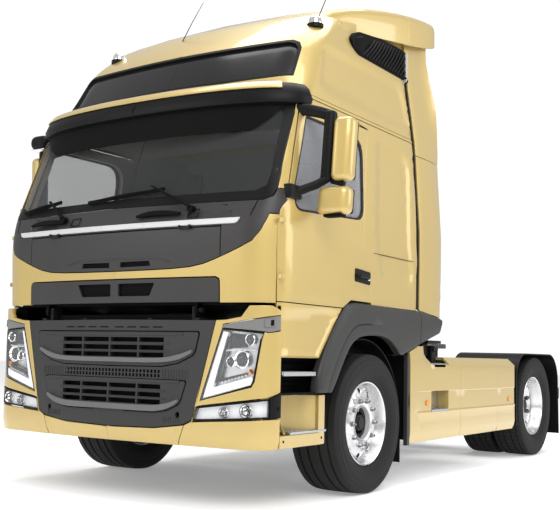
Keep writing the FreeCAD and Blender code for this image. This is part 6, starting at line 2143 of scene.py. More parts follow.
@dataclass
class Steps:
    """The painted lower step box with its tread, and the dark upper step under the door."""

    plan: tuple[Point2, ...] = ((1.235, -1.158), (1.235, -0.640), (1.228, -0.612),
                                (1.205, -0.600), (1.02, -0.600))
    foot: float = 0.392
    split: float = 0.465
    top: float = 0.716

    def build(self) -> None:
        """Make the steps on both sides."""
        scoop = [(1.235, -0.700), *self.plan[1:], (1.02, -1.158), (1.085, -1.158), (1.060, -1.085),
                 (1.045, -0.97), (1.062, -0.870), (1.110, -0.790), (1.175, -0.742),
                 (1.207, -0.700)]
        shell = slab(Plane.PLAN, self.split, self.top, scoop, step=0.04)
        band = slab(Plane.PLAN, self.foot, 0.472, [*self.plan, (1.02, -1.158)], step=0.06)
        rib = tube([(1.215, -1.08, 0.478), (1.12, -1.02, 0.56), (1.068, -0.97, 0.66),
                    (1.062, -0.96, 0.712)], 0.009, 8)
        # The matt black plate in the lower front of the scoop is painted shade: it darkens that
        # part of the step box.
        dark_inset = slab(Plane.SIDE, 1.064, 1.068, [(-1.15, 0.492), (-0.90, 0.492), (-0.955, 0.575),
                                               (-1.04, 0.615), (-1.15, 0.630)])
        piece("step_scoop_shade", dark_inset.both(), MATT, "chassis")
        piece("step_boxes", (shell + band + rib).both(), GOLD, "chassis", ["lower_steps"], 0.004)
        mount = box((0.425, -1.06, 0.42), (1.03, -0.99, 0.46)) + box(
            (0.425, -1.06, 0.42), (0.485, -0.99, 0.945))
        piece("step_mounts", mount.both(), CHASSIS, "chassis", (), 0.004)
        tread = slab(Plane.PLAN, 0.474, 0.489, rounded([
            (1.10, -1.044), (1.238, -1.044), (1.238, -0.604), (1.214, -0.604), (1.212, -0.70),
            (1.175, -0.748), (1.10, -0.80)], 0.006), step=0.08)
        teeth = studs((1.11, -1.04), (1.236, -0.80), 0.489) + studs(
            (1.212, -0.80), (1.238, -0.62), 0.489)
        piece("lower_treads", (tread + teeth).both(), STEEL, "chassis", (), 0.001)
        holes = join(plug(1.2345, 1.2375, 0.008, (0.0, y, 0.436), 12) for y in (-1.12, -0.66))
        piece("step_plugs", holes.both(), MATT, "chassis")
        self.upper()

    def upper(self) -> None:
        """Make the upper steps with the wells behind them."""
        well = slab(Plane.FRONT, -1.180, -1.168, oblong(1.07, 1.230, 0.722, 1.28))
        well = well + slab(Plane.SIDE, 1.070, 1.084, [(-1.18, 0.722), (-0.62, 0.722), (-0.45, 0.95),
                                                      (-0.40, 1.28), (-1.18, 1.28)], step=0.1)
        well = well + slab(Plane.PLAN, 0.722, 0.736, oblong(1.07, 1.232, -1.18, -0.66))
        well = well + box((1.20, -1.168, 0.736), (1.232, -1.150, 0.945))
        well = well + join(box((1.084, -1.15, z), (1.092, -0.66, z + 0.006))
                           for z in (0.77, 0.80, 0.83, 0.92))
        piece("upper_wells", well.both(), MATT, "cab", ["upper_steps"], 0.003)
        step = slab(Plane.PLAN, 0.848, 0.866, rounded(oblong(1.08, 1.236, -1.146, -0.748), 0.01))
        step = step + box((1.228, -1.140, 0.842), (1.239, -0.752, 0.868))
        step = step + studs((1.09, -1.14), (1.235, -0.752), 0.866)
        piece("upper_treads", step.both(), STEEL, "cab", (), 0.001)


@dataclass
class ArchTrims:
    """The grey trim round the front wheel arch and along the foot of the cab."""

    groove_end: int = 34  # the section at which the groove has run out
    groove_fade: int = 8
    pairs: tuple[tuple[Point2, Point2], ...] = (  # the outer and the inner edge, from the front
        ((-0.745, 0.730), (-0.562, 0.730)), ((-0.722, 0.850), (-0.490, 0.815)),
        ((-0.640, 1.000), (-0.395, 0.945)), ((-0.535, 1.145), (-0.305, 1.045)),
        ((-0.400, 1.288), (-0.215, 1.095)), ((-0.330, 1.334), (-0.130, 1.118)),
        ((-0.235, 1.352), (-0.020, 1.127)), ((-0.08, 1.353), (0.080, 1.130)),
        ((0.10, 1.352), (0.185, 1.126)), ((0.24, 1.351), (0.290, 1.104)),
        ((0.36, 1.350), (0.390, 1.055)), ((0.48, 1.349), (0.485, 0.996)),
        ((0.60, 1.348), (0.600, 1.020)), ((0.72, 1.346), (0.715, 1.052)),
        ((0.815, 1.344), (0.812, 1.080)))

    def ring(self, out: np.ndarray, inn: np.ndarray, lip: float) -> list[Point3]:
        """Return the section between the outer and the inner edge.

        Args:
            out: a point on the outer edge.
            inn: the point opposite on the inner edge.
            lip: how deep the groove is, from 0 to 1.

        Returns:
            The section.
        """
        ring = []
        for share, across in ((-0.02, 1.196), (-0.01, 1.234), (0.03, 1.250), (0.10, 1.258),
                              (0.35, 1.262), (0.60, 1.259), (0.645, 1.259 - 0.012 * lip),
                              (0.68, 1.258 - 0.004 * lip), (0.85, 1.258), (0.97, 1.254),
                              (1.0, 1.246), (1.0, 1.196)):
            spot = out + (inn - out) * share
            ring.append((across, float(spot[0]), float(spot[1])))
        return ring

    def build(self) -> None:
        """Make the arch, the rear trim and the joint."""
        out = smooth_line([pair[0] for pair in self.pairs], 4)
        inn = smooth_line([pair[1] for pair in self.pairs], 4)
        rings = []
        for place, (a, b) in enumerate(zip(out, inn)):
            lip = float(np.clip((self.groove_end - place) / self.groove_fade, 0.0, 1.0))
            rings.append(self.ring(np.array(a), np.array(b), lip))
        piece("arch_pair", skin_rings(rings).both(), GREY, "cab", ["arch_trims"], 0.0, 26.0)
        rear = [((0.822, 1.344), (0.822, 1.084)), ((0.95, 1.331), (0.95, 1.116)),
                ((1.08, 1.318), (1.08, 1.150)), ((1.20, 1.305), (1.178, 1.176)),
                ((1.240, 1.296), (1.198, 1.190))]
        rings = [self.ring(np.array(a), np.array(b), 0.0) for a, b in rear]
        piece("trim_tails", skin_rings(rings).both(), GREY, "cab", (), 0.003, 26.0)
        joint = box((1.20, 0.812, 1.09), (1.249, 0.824, 1.342))
        piece("trim_joints", joint.both(), MATT, "cab")
        shelf = slab(Plane.SIDE, 1.10, 1.196, [
            (0.50, 1.02), (0.82, 1.094), (1.18, 1.186), (1.18, 1.20), (0.82, 1.11), (0.50, 1.04)])
        wall = slab(Plane.SIDE, 0.79, 0.80, [(-0.60, 1.112), (0.66, 1.112), (0.78, 1.15),
                                             (0.78, 1.284), (-0.60, 1.284)], step=0.2)
        wall = wall + slab(Plane.FRONT, 0.776, 0.784, oblong(0.62, 1.19, 1.00, 1.284), step=0.2)
        piece("trim_backs", (shelf + wall).both(), MATT, "cab")


@dataclass
class Skirts:
    """The painted side panels between the axles, with hatch, treads and markers."""

    half: float = 1.2445
    front: float = 0.664
    rear: float = 2.995
    low: float = 0.312
    hatch: tuple[float, float, float, float] = (1.062, 1.408, 0.542, 0.708)
    seams: tuple[float, ...] = (1.654, 2.541)
    creases: tuple[Point2, ...] = ((0.383, 0.387), (0.528, 0.536), (0.540, 0.544),
                                   (0.548, 0.552), (0.704, 0.712), (0.923, 0.927))
    markers: tuple[Point2, ...] = ((0.986, 0.615), (2.851, 0.600))

    def face(self, spots: np.ndarray, inset: float = 0.0) -> np.ndarray:
        """Return points on the panel, from distances along and heights.

        Args:
            spots: distances along, with heights.
            inset: how far inwards the points are moved.

        Returns:
            The points in space.
        """
        y, z = spots[:, 0], spots[:, 1]
        x = np.full(len(spots), self.half)
        blend = np.clip((y - 0.90) / 0.14, 0.0, 1.0)
        blend = blend * blend * (3 - 2 * blend)
        # The top edge turns in behind the cab, and a little beside it. So does the foot.
        x -= np.clip((z - 0.925) / 0.06, 0.0, 1.0) * 0.062 * blend
        x -= np.clip((z - 0.93) / 0.14, 0.0, 1.0) * 0.012 * (1 - blend)
        x -= np.clip((0.385 - z) / 0.07, 0.0, 1.0) * 0.016
        # A shallow band runs along the middle, with a bead under it.
        on = np.clip((y - 0.80) / 0.03, 0.0, 1.0)
        x -= (np.clip((0.712 - z) / 0.008, 0.0, 1.0) * np.clip((z - 0.548) / 0.004, 0, 1)
              * 0.005 * on)
        x += np.clip(1 - np.abs(z - 0.540) / 0.012, 0.0, 1.0) * 0.004 * on
        return np.stack([x - inset, y, z], 1)

    def panel(self, loops: Sequence[Sequence[Point2]], depth: float = 0.024,
              stand: float = 0.0) -> Shape:
        """Return a plate that follows the panel's face.

        Args:
            loops: its outline and holes.
            depth: how thick it is.
            stand: how far its face stands off.

        Returns:
            The plate.
        """
        ring = np.array(loops[0])
        a, b = ring[:, 0].min(), ring[:, 0].max()
        lines = [oblong(a, b, low, high) for low, high in self.creases]
        keep = [line for line in lines
                if ring[:, 1].min() < line[0][1] and line[2][1] < ring[:, 1].max()]
        spots, triangles = fill(loops, keep, 0.06)
        return thicken(self.face(spots, -stand), self.face(spots, depth - stand), triangles)

    def build(self) -> None:
        """Make the skirts on both sides."""
        f, r, low = self.front, self.rear, self.low
        hole = oblong(*self.hatch)
        first = [(f, low), (self.seams[0] - 0.0015, low), (self.seams[0] - 0.0015, 0.985),
                 (1.41, 0.985), (1.41, 0.925), (1.06, 0.925), (1.06, 0.972), (1.035, 0.992),
                 (1.00, 1.018), (0.965, 1.058), (0.955, 1.070), (0.82, 1.068), (f, 1.022)]
        parts = self.panel([first, hole])
        edges = [self.seams[0] + 0.0015, self.seams[1] - 0.0008, self.seams[1] + 0.0008, r]
        for start, end in zip(edges[::2], edges[1::2]):
            last = end == r
            loop = [(start, low), (end - (0.035 if last else 0), low), (end, low + (
                0.035 if last else 0.001)), (end, 0.925), (end - (0.02 if last else 0), 0.985),
                (start, 0.985)]
            parts = parts + self.panel([loop])
        top = slab(Plane.PLAN, 0.961, 0.985, [(1.01, 0.98), (1.188, 1.02), (1.188, 1.06),
                                              (1.06, 1.06), (1.06, 1.41), (1.188, 1.41),
                                              (1.188, r - 0.02), (1.01, r - 0.02)], step=0.15)
        piece("skirt_panels", (parts + top).both(), GOLD, "chassis", ["side_skirts"], 0.003)
        strip = slab(Plane.SIDE, 1.205, 1.240, [
            (0.618, 0.300), (0.662, 0.300), (0.660, 0.80), (0.655, 1.000), (0.618, 1.000)],
            step=0.1)
        piece("skirt_edges", strip.both(), GREY, "chassis", (), 0.004)
        self.step_hatch()
        self.marks()

    def step_hatch(self) -> None:
        """Make the step let into each skirt, and the tread in the notch above it."""
        y0, y1, z0, z1 = self.hatch
        frame = box((1.14, y1 - 0.002, z0), (1.222, y1 + 0.018, z1))
        piece("hatch_rims", frame.both(), GOLD, "chassis", (), 0.002)
        pocket = slab(Plane.SIDE, 1.120, 1.128, oblong(y0 - 0.03, y1 + 0.03, z0 - 0.03, z1 + 0.03))
        pocket = pocket + box((1.12, y0 - 0.012, z0 - 0.01), (1.219, y0 - 0.002, z1 + 0.01))
        pocket = pocket + box((1.12, y0 - 0.012, z1), (1.219, y1 + 0.012, z1 + 0.01))
        pocket = pocket + box((1.12, y0 - 0.012, z0 - 0.014), (1.219, y1 + 0.012, z0 - 0.004))
        pocket = pocket + box((0.46, 0.640, 0.34), (1.20, 0.652, 0.985))
        piece("hatch_pockets", pocket.both(), MATT, "chassis")
        tread = box((1.12, y0 + 0.004, z0 - 0.001), (1.244, y1 - 0.004, z0 + 0.016))
        tread = tread + studs((1.13, y0 + 0.01), (1.24, y1 - 0.01), z0 + 0.016, 0.03)
        notch = box((1.02, 1.07, 0.912), (1.232, 1.40, 0.932))
        notch = notch + studs((1.04, 1.08), (1.22, 1.39), 0.932, 0.03)
        piece("skirt_treads", (tread + notch).both(), STEEL, "chassis", (), 0.001)

    def marks(self) -> None:
        """Make the amber side markers and the bare plates."""
        marks = join(self.panel([rounded(oblong(y - 0.034, y + 0.034, z - 0.020, z + 0.020),
                                         0.016)], 0.006, 0.006)
                     for y, z in self.markers)
        piece("side_markers", marks.both(), AMBER, "chassis", (), 0.003)
        plate = self.panel([rounded(oblong(0.86, 1.11, 0.415, 0.455), 0.008)], 0.004, 0.0015)
        piece("skirt_plates", plate.both(), GOLD, "chassis", (), 0.001)


@dataclass
class RearKit:
    """What stands between the cab's rear and the skirts: brackets, valves and their caps."""

    caps: tuple[float, ...] = (1.285, 1.33)

    def build(self) -> None:
        """Make the small parts behind the cab."""
        arm = box((0.62, 1.10, 1.098), (1.19, 1.36, 1.122)) + box((0.64, 1.16, 0.965),
                                                                  (0.70, 1.22, 1.10))
        blocks = pod((0.98, 1.14, 0.99), (1.12, 1.25, 1.100), 0.012) + pod(
            (1.06, 1.26, 0.93), (1.15, 1.35, 1.080), 0.012)
        drum = turned([(0.0, 0.0), (0.0, 0.05), (0.09, 0.05), (0.10, 0.044), (0.10, 0.0)],
                      (0.86, 1.22, 0.995), 24, "z")
        piece("rear_brackets", (arm + blocks + drum).both(), BLACK, "chassis", (), 0.003)
        caps = join(plug(0.0, 0.018, 0.020, (1.15, y, 1.05)) for y in self.caps)
        piece("rear_caps", caps.both(), CHASSIS, "chassis")


@dataclass
class RoofKit:
    """The roof spoiler, the air intakes under it and the fairings behind the cab."""

    skin: CabSurface
    stations: tuple[tuple[float, float, float, float, float], ...] = (
        # along, half width, centre height, edge height, foot height
        (-0.47, 0.900, 3.430, 3.335, 3.290), (-0.36, 0.955, 3.520, 3.445, 3.370),
        (-0.20, 1.010, 3.605, 3.557, 3.410), (0.00, 1.055, 3.668, 3.630, 3.432),
        (0.20, 1.085, 3.714, 3.686, 3.458), (0.45, 1.115, 3.762, 3.741, 3.492),
        (0.64, 1.136, 3.796, 3.778, 3.520), (0.776, 1.148, 3.820, 3.801, 3.540))
    tail: tuple[tuple[float, float, float, float, float], ...] = (
        (0.779, 1.149, 3.821, 3.802, 3.541), (0.95, 1.158, 3.848, 3.828, 3.572),
        (1.12, 1.162, 3.872, 3.850, 3.608), (1.24, 1.160, 3.884, 3.862, 3.640),
        (1.285, 1.150, 3.880, 3.856, 3.660))
    fins: int = 17
    fin_pitch: float = 0.048

    def rings(self, stations: Sequence[Sequence[float]]) -> Shape:
        """Return the spoiler's shell through its stations.

        Args:
            stations: the measures of each section.

        Returns:
            One half of the shell.
        """
        rings = []
        for along, half, centre, edge, foot in stations:
            rings.append([
                (half, along, foot), (half, along, edge - 0.060),
                (half - 0.006, along, edge - 0.03), (half - 0.024, along, edge - 0.008),
                (half - 0.06, along, edge),
                (half * 0.6, along, centre - (centre - edge) * 0.35), (0.0, along, centre),
                (0.0, along, centre - 0.03), (half * 0.6, along, centre - 0.04),
                (half - 0.07, along, edge - 0.035), (half - 0.030, along, edge - 0.07),
                (half - 0.028, along, foot)])
        return skin_rings(rings)

    def build(self) -> None:
        """Make the spoiler, intakes and fairings."""
        piece("spoiler_front", self.rings(self.stations).both(), GOLD, "cab", ["roof_spoiler"],
              0.004, 28.0)
        piece("spoiler_tail", self.rings(self.tail).both(), GOLD, "cab", (), 0.004, 28.0)
        stays = join(box((0.70, y, 3.60), (0.73, y + 0.05, 3.76)) for y in (0.30, 0.66))
        piece("spoiler_stays", stays.both(), CHASSIS, "cab", (), 0.004)
        cheek = slab(Plane.SIDE, 1.040, 1.062, [
            (-0.20, 3.36), (0.10, 3.30), (0.80, 3.30), (0.80, 3.40), (1.10, 3.40), (1.17, 3.665),
            (0.95, 3.62), (0.78, 3.585), (0.45, 3.545), (0.20, 3.522), (0.0, 3.502),
            (-0.16, 3.47)], step=0.12)
        piece("spoiler_cheeks", cheek.both(), GOLD, "cab", (), 0.004)
        self.intakes()
        self.fairings()

    def intakes(self) -> None:
        """Make the dark intakes with their louvres and bright strips."""
        shape = rounded([(-0.125, 3.330), (-0.02, 3.243), (0.792, 3.243), (0.792, 3.488),
                         (0.66, 3.492), (0.36, 3.476), (-0.02, 3.425)], 0.05)
        body = slab(Plane.SIDE, 1.02, 1.112, shape, step=0.12)
        fins = []
        foot, reach, rear = 3.262, 0.19, 0.786
        for step in range(self.fins):
            y = 0.06 + step * self.fin_pitch
            top = float(np.interp(y + 0.05, (0.0, 0.36, 0.66, 0.80), (3.415, 3.463, 3.480, 3.476)))
            run = min(reach, rear - y)
            high = min(foot + run * 1.15, top) if y + reach > rear else top
            fins.append(tube([(1.112, y, foot), (1.124, (2 * y + run) / 2, (foot + high) / 2),
                              (1.110, y + run, high)], 0.0085, 6))
        nose = self.nose()
        piece("intake_bodies", (body + nose).both(), MATT, "cab", ["air_intakes"], 0.004)
        piece("intake_fins", join(fins).both(), BLACK, "cab")
        strip = slab(Plane.SIDE, 1.06, 1.122, oblong(0.797, 0.812, 3.232, 3.486))
        piece("intake_strips", strip.both(), SILVER, "cab", (), 0.003)

    def nose(self) -> Shape:
        """Return the rounded nose of one intake.

        Returns:
            The nose.
        """
        rings = []
        for share in np.linspace(0.0, 1.0, 7):
            y = -0.135 + 0.19 * share
            size = math.sqrt(1 - (1 - share) ** 2) + 0.02
            low = 3.335 + (3.246 - 3.335) * min(size, 1.0)
            high = 3.345 + (float(np.interp(y, (-0.12, 0.08), (3.375, 3.425))) - 3.345) * min(
                size, 1.0)
            out = 1.04 + 0.088 * min(size, 1.0)
            rings.append([(1.02, y, low), (out - 0.02, y, low), (out, y, low + 0.02),
                          (out, y, high - 0.025), (out - 0.025, y, high), (1.02, y, high)])
        return skin_rings(rings)

    def fairings(self) -> None:
        """Make the fairings that close the space behind the cab."""
        heights, reaches = zip(
            (1.33, 1.243), (1.70, 1.246), (1.967, 1.245), (2.59, 1.206), (2.71, 1.196),
            (2.93, 1.166), (3.20, 1.126), (3.35, 1.104), (3.585, 1.085))

        def lay(loop: Sequence[Point2], inset: float) -> np.ndarray:
            """Return points on the fairing, which turns in at its rear edge.

            Args:
                loop: distances along, with heights.
                inset: how far inwards the points are moved.

            Returns:
                The points in space.
            """
            spots = np.array(loop)
            x = np.interp(spots[:, 1], heights, reaches)
            turn = np.clip((spots[:, 0] - 1.10) / 0.18, 0.0, 1.0)
            ease = np.clip((0.85 - spots[:, 0]) / 0.03, 0.0, 1.0)
            high = np.clip((spots[:, 1] - 2.60) / 0.5, 0.0, 1.0)
            x = x + (0.055 * high - 0.030) * turn ** 2 - 0.004 * ease - inset
            return np.stack([x, spots[:, 0], spots[:, 1]], 1)

        parts = []
        for outline in ([(0.824, 1.352), (1.270, 1.304), (1.290, 1.62), (1.300, 2.0),
                         (1.300, 2.612), (0.824, 2.612)],
                        [(0.824, 2.617), (1.300, 2.617), (1.300, 2.75), (1.290, 3.05),
                         (1.262, 3.30), (1.220, 3.50), (1.222, 3.655), (1.02, 3.640),
                         (0.824, 3.600), (0.824, 3.20)]):
            spots, triangles = fill([outline], step=0.07)
            parts.append(thicken(lay(spots, 0.0), lay(spots, 0.026), triangles))
        piece("fairing_panels", join(parts).both(), GOLD, "cab", ["side_fairings"], 0.003)
        spots, triangles = fill([oblong(0.806, 0.823, 1.36, 3.22)], step=0.07)
        rubber = thicken(lay(spots, 0.010), lay(spots, 0.05), triangles)
        piece("fairing_seals", rubber.both(), SEAL, "cab")
        ribs = join(box((1.10, 0.82, z), (1.175, 1.20, z + 0.025)) for z in (1.55, 2.1, 2.58))
        ribs = ribs + box((1.00, 0.81, 3.16), (1.095, 1.00, 3.185))
        piece("fairing_stays", ribs.both(), CHASSIS, "cab", (), 0.003)


@dataclass
class Interior:
    """What shows of the cabin through the glass."""

    board: tuple[Point2, ...] = (
        (-1.315, 1.86), (-1.30, 1.925), (-1.22, 1.955), (-1.05, 1.965), (-0.90, 1.945),
        (-0.84, 1.895), (-0.83, 1.80), (-0.87, 1.70), (-0.95, 1.62), (-1.02, 1.52), (-1.30, 1.50))
    seat: float = 0.56
    hoop: float = 0.215
    hoop_place: Point3 = (0.56, -0.60, 1.86)
    hoop_tilt: float = -38.0

    def build(self) -> None:
        """Make the dashboard, the steering wheel, the seats and the bunk."""
        rings = []
        for x, near in ((-1.08, 0.02), (-0.8, 0.0), (-0.3, -0.01), (-0.05, 0.0), (0.02, 0.05),
                        (0.12, 0.06), (0.22, 0.05), (0.30, 0.0), (0.8, 0.0), (1.08, 0.02)):
            rings.append([(x, y + (near if y > -1.0 else 0.0) if y > -1.2 or abs(x) < 0.95
                           else y + 0.05, z) for y, z in self.board])
        board = skin_rings(rings)
        binnacle = skin_rings([[(0.56 + 0.26 * math.cos(turn) * size, y,
                                 1.945 + 0.075 * max(math.sin(turn), -0.3) * size)
                                for turn in np.linspace(0, 2 * math.pi, 20, endpoint=False)]
                               for y, size in ((-1.12, 0.6), (-1.02, 0.95), (-0.88, 1.0),
                                               (-0.84, 0.96))])
        piece("dash_top", board + binnacle, DARK, "cab", ["dashboard"], 0.003)
        dials = join(plug(-0.838, -0.832, r, (x, 0.0, 1.945), 32, "y")
                     for x, r in ((0.46, 0.048), (0.56, 0.035), (0.66, 0.048)))
        vents = join(box((x, -0.90, 1.82), (x + 0.10, -0.825, 1.87)) for x in (-0.9, -0.35, 0.05))
        piece("dash_fittings", dials + vents, GLOSS, "cab", (), 0.003)
        self.helm()
        self.seats()

    def helm(self) -> None:
        """Make the steering wheel on its column."""
        centre = Vector(self.hoop_place)
        tilt = Matrix.Rotation(math.radians(self.hoop_tilt), 3, "X")

        def lay(point: Point3) -> Point3:
            """Return a point of the steering wheel at its place."""
            return tuple(centre + tilt @ Vector(point))

        ring = [(self.hoop * math.cos(turn), 0.0, self.hoop * math.sin(turn))
                for turn in np.linspace(0, 2 * math.pi, 49)]
        hoop = tube(ring, 0.016, 10)
        spokes = join(tube([(0.0, 0.015, 0.0), (0.11 * a, 0.010, 0.11 * b),
                            (0.205 * a, 0.0, 0.205 * b)], 0.014, 8, 0.7)
                      for a, b in ((1, 0.1), (-1, 0.1), (0.25, -0.97), (-0.25, -0.97)))
        boss = turned([(-0.02, 0.0), (-0.02, 0.075), (0.03, 0.060), (0.05, 0.0)],
                      (0.0, 0.0, 0.0), 24, "y")
        wheel = (hoop + spokes + boss).mapped(lay)
        column = tube([(0.56, -0.62, 1.84), (0.56, -0.78, 1.72), (0.56, -0.98, 1.60)], 0.035, 12)
        piece("helm", wheel + column, BLACK, "cab", ["steering_wheel"], 0.001)

    def cushion(self, name: str, low: Point3, high: Point3, radius: float, lean: float,
                nodes: Sequence[str] = ()) -> None:
        """Make one stuffed cushion in cloth, swollen between its seams.

        Args:
            name: the piece's name.
            low: its corner with the smallest coordinates.
            high: its corner with the largest.
            radius: the radius of its seams.
            lean: how far it leans back per metre of height.
            nodes: the CAD nodes it stands for.
        """
        shape = pod(low, high, radius, 3)
        middle = [(a + b) / 2 for a, b in zip(low, high)]
        half = [(b - a) / 2 for a, b in zip(low, high)]

        def swell(point: Point3) -> Point3:
            """Return a point pushed out towards the cushion's middle, then leant back.

            Args:
                point: a point of the cushion.

            Returns:
                The moved point.
            """
            share = [(p - m) / h for p, m, h in zip(point, middle, half)]
            moved = []
            for axis in range(3):
                others = [1 - min(abs(share[other]), 1.0) ** 2 for other in range(3)
                          if other != axis]
                moved.append(point[axis] + share[axis] * 0.018 * others[0] * others[1])
            back = (moved[2] - low[2]) * lean
            return moved[0], moved[1] + back, moved[2]

        item = piece(name, shape.mapped(swell), CLOTH, "cab", nodes, 0.0, 60.0)
        smooth = item.modifiers.new("soft", "SUBSURF")
        smooth.levels, smooth.render_levels = 1, 1

    def seats(self) -> None:
        """Make the two seats and the bunk."""
        for x, side, nodes in ((self.seat, "left", ["seats"]), (-self.seat, "right", [])):
            self.cushion("seat_base_" + side, (x - 0.25, -0.50, 1.62), (x + 0.25, 0.02, 1.76),
                         0.05, 0.0, nodes)
            self.cushion("seat_back_" + side, (x - 0.24, -0.08, 1.72), (x + 0.24, 0.06, 2.30),
                         0.05, 0.16)
            self.cushion("seat_head_" + side, (x - 0.13, 0.02, 2.30), (x + 0.13, 0.12, 2.47),
                         0.04, 0.10)
            stand = box((x - 0.20, -0.42, 1.345), (x + 0.20, -0.02, 1.62))
            rests = join(pod((x + shift - 0.03, -0.36, 1.90), (x + shift + 0.03, 0.02, 1.95), 0.02)
                         for shift in (0.28, -0.28))
            piece("seat_stand_" + side, stand + rests, MATT, "cab", (), 0.01)
        self.cushion("bunk_mattress", (-1.12, 0.20, 1.66), (1.12, 0.75, 1.79), 0.05, 0.0, ["bunk"])
        piece("bunk_base", box((-1.15, 0.19, 1.345), (1.15, 0.76, 1.655)), LINING, "cab", (), 0.01)


@dataclass
class Tyre:
    """One tyre, from its own middle plane, with tread and sidewall rings."""

    radius: float
    half: float
    seat: float
    bead: float
    lugs: bool = False

    def profile(self) -> list[Point2]:
        """Return the closed section, from bead to bead over the tread.

        Returns:
            The section: distances across, each with a radius.
        """
        r, h = self.radius, self.half
        wall = [(self.bead - 0.004, self.seat + 0.001), (self.bead + 0.010, self.seat + 0.010),
                (self.bead + 0.014, self.seat + 0.022), (h * 0.93, r - 0.150),
                (h * 0.945, r - 0.146), (h * 0.955, r - 0.138), (h * 0.987, r - 0.112),
                (h * 1.0, r - 0.090), (h * 1.0, r - 0.084), (h * 0.994, r - 0.082),
                (h * 0.994, r - 0.066), (h * 0.998, r - 0.063), (h * 0.985, r - 0.044),
                (h * 0.965, r - 0.040), (h * 0.960, r - 0.034), (h * 0.965, r - 0.030),
                (h * 0.935, r - 0.014), (h * 0.90, r - 0.006)]
        tread: list[Point2] = []
        for share in (0.62, 0.24):
            tread += [(h * (share + 0.045), r - 0.0025 * share), (h * (share + 0.028), r - 0.015),
                      (h * (share - 0.028), r - 0.015), (h * (share - 0.045), r - 0.0025 * share)]
        right = wall + tread
        left = [(-across, reach) for across, reach in right[::-1]]
        return right + left

    def shape(self) -> Shape:
        """Return the tyre.

        Returns:
            The tyre.
        """
        section = self.profile()
        sides = 180 if self.lugs else 120
        rings = []
        for step in range(sides):
            turn = 2 * math.pi * step / sides
            ring = []
            for across, reach in section:
                cut = 0.0
                if self.lugs and reach > self.radius - 0.016:
                    shift = 1 if abs(across) > self.half * 0.6 else 0
                    if (step + shift) % 3 == 0:
                        cut = 0.010 if reach > self.radius - 0.01 else 0.0
                elif not self.lugs and self.radius - 0.035 > reach > self.radius - 0.046:
                    cut = 0.003 if step % 4 < 2 else 0.0
                ring.append((across, (reach - cut) * math.cos(turn),
                             (reach - cut) * math.sin(turn)))
            rings.append(ring)
        return skin_rings(rings, around=True)


@dataclass
class Rim:
    """One polished disc wheel, from its own middle plane, with its face towards plus x."""

    seat: float
    half: float
    face: tuple[Point2, ...]
    hub: float
    hand_ring: float
    hand_holes: int = 10
    hand: float = 0.028

    def dish(self, radii: np.ndarray) -> np.ndarray:
        """Return how far out the disc stands at each radius."""
        reach, stand = zip(*self.face)
        return np.interp(radii, reach, stand)

    def circle(self, radius: float, parts: int, centre: Point2 = (0.0, 0.0)) -> list[Point2]:
        """Return a circle's points."""
        return [(centre[0] + radius * math.cos(turn), centre[1] + radius * math.sin(turn))
                for turn in np.linspace(0, 2 * math.pi, parts, endpoint=False)]

    def barrel(self) -> Shape:
        """Return the rim's barrel with its rolled flanges.

        Returns:
            The barrel.
        """
        s, h = self.seat, self.half
        return turned([(h, s - 0.004), (h + 0.006, s + 0.002), (h + 0.010, s - 0.003),
                       (h + 0.007, s - 0.010), (h - 0.004, s - 0.016), (h - 0.022, s - 0.021),
                       (h - 0.060, s - 0.040), (h - 0.10, s - 0.056), (-h + 0.04, s - 0.056),
                       (-h + 0.02, s - 0.022), (-h - 0.006, s - 0.010), (-h - 0.008, s + 0.0),
                       (-h, s + 0.002), (-h + 0.01, s - 0.004), (-h + 0.035, s - 0.010),
                       (-h + 0.055, s - 0.045), (h - 0.11, s - 0.045), (h - 0.06, s - 0.026),
                       (h - 0.02, s - 0.009)], (0.0, 0.0, 0.0), 72, closed=True)

    def disc(self) -> Shape:
        """Return the dished disc with its hand holes.

        Returns:
            The disc.
        """
        outer = self.face[-1][0]
        centres = [np.array((math.cos(turn), math.sin(turn))) * self.hand_ring
                   for turn in (2 * math.pi * (step + 0.5) / self.hand_holes
                                for step in range(self.hand_holes))]
        holes = [self.circle(self.hand, 16, tuple(centre)) for centre in centres]
        spots, triangles = fill([self.circle(outer, 72), self.circle(self.hub, 40), *holes],
                                step=0.016)
        radii = np.linalg.norm(spots, axis=1)
        stand = self.dish(radii)
        for centre in centres:
            near = np.linalg.norm(spots - centre, axis=1) - self.hand
            stand = stand - 0.005 * np.clip(1 - near / 0.008, 0, 1)
        top = np.stack([stand, spots[:, 0], spots[:, 1]], 1)
        low = np.stack([stand - 0.013, spots[:, 0], spots[:, 1]], 1)
        return thicken(top, low, triangles)

    def nuts(self, ring: float, count: int, radius: float) -> Shape:
        """Return the wheel nuts with their studs.

        Args:
            ring: the radius of the ring of nuts.
            count: how many there are.
            radius: a nut's radius over its corners.

        Returns:
            The nuts.
        """
        parts = []
        for step in range(count):
            turn = 2 * math.pi * step / count
            stand = float(self.dish(np.array([ring]))[0])
            centre = (stand - 0.002, ring * math.cos(turn), ring * math.sin(turn))
            parts.append(bolt(centre, radius, 0.026))
            parts.append(turned([(0.02, 0.0), (0.02, radius * 0.5), (0.036, radius * 0.46),
                                 (0.038, radius * 0.3), (0.038, 0.0)], centre, 10))
        return join(parts)


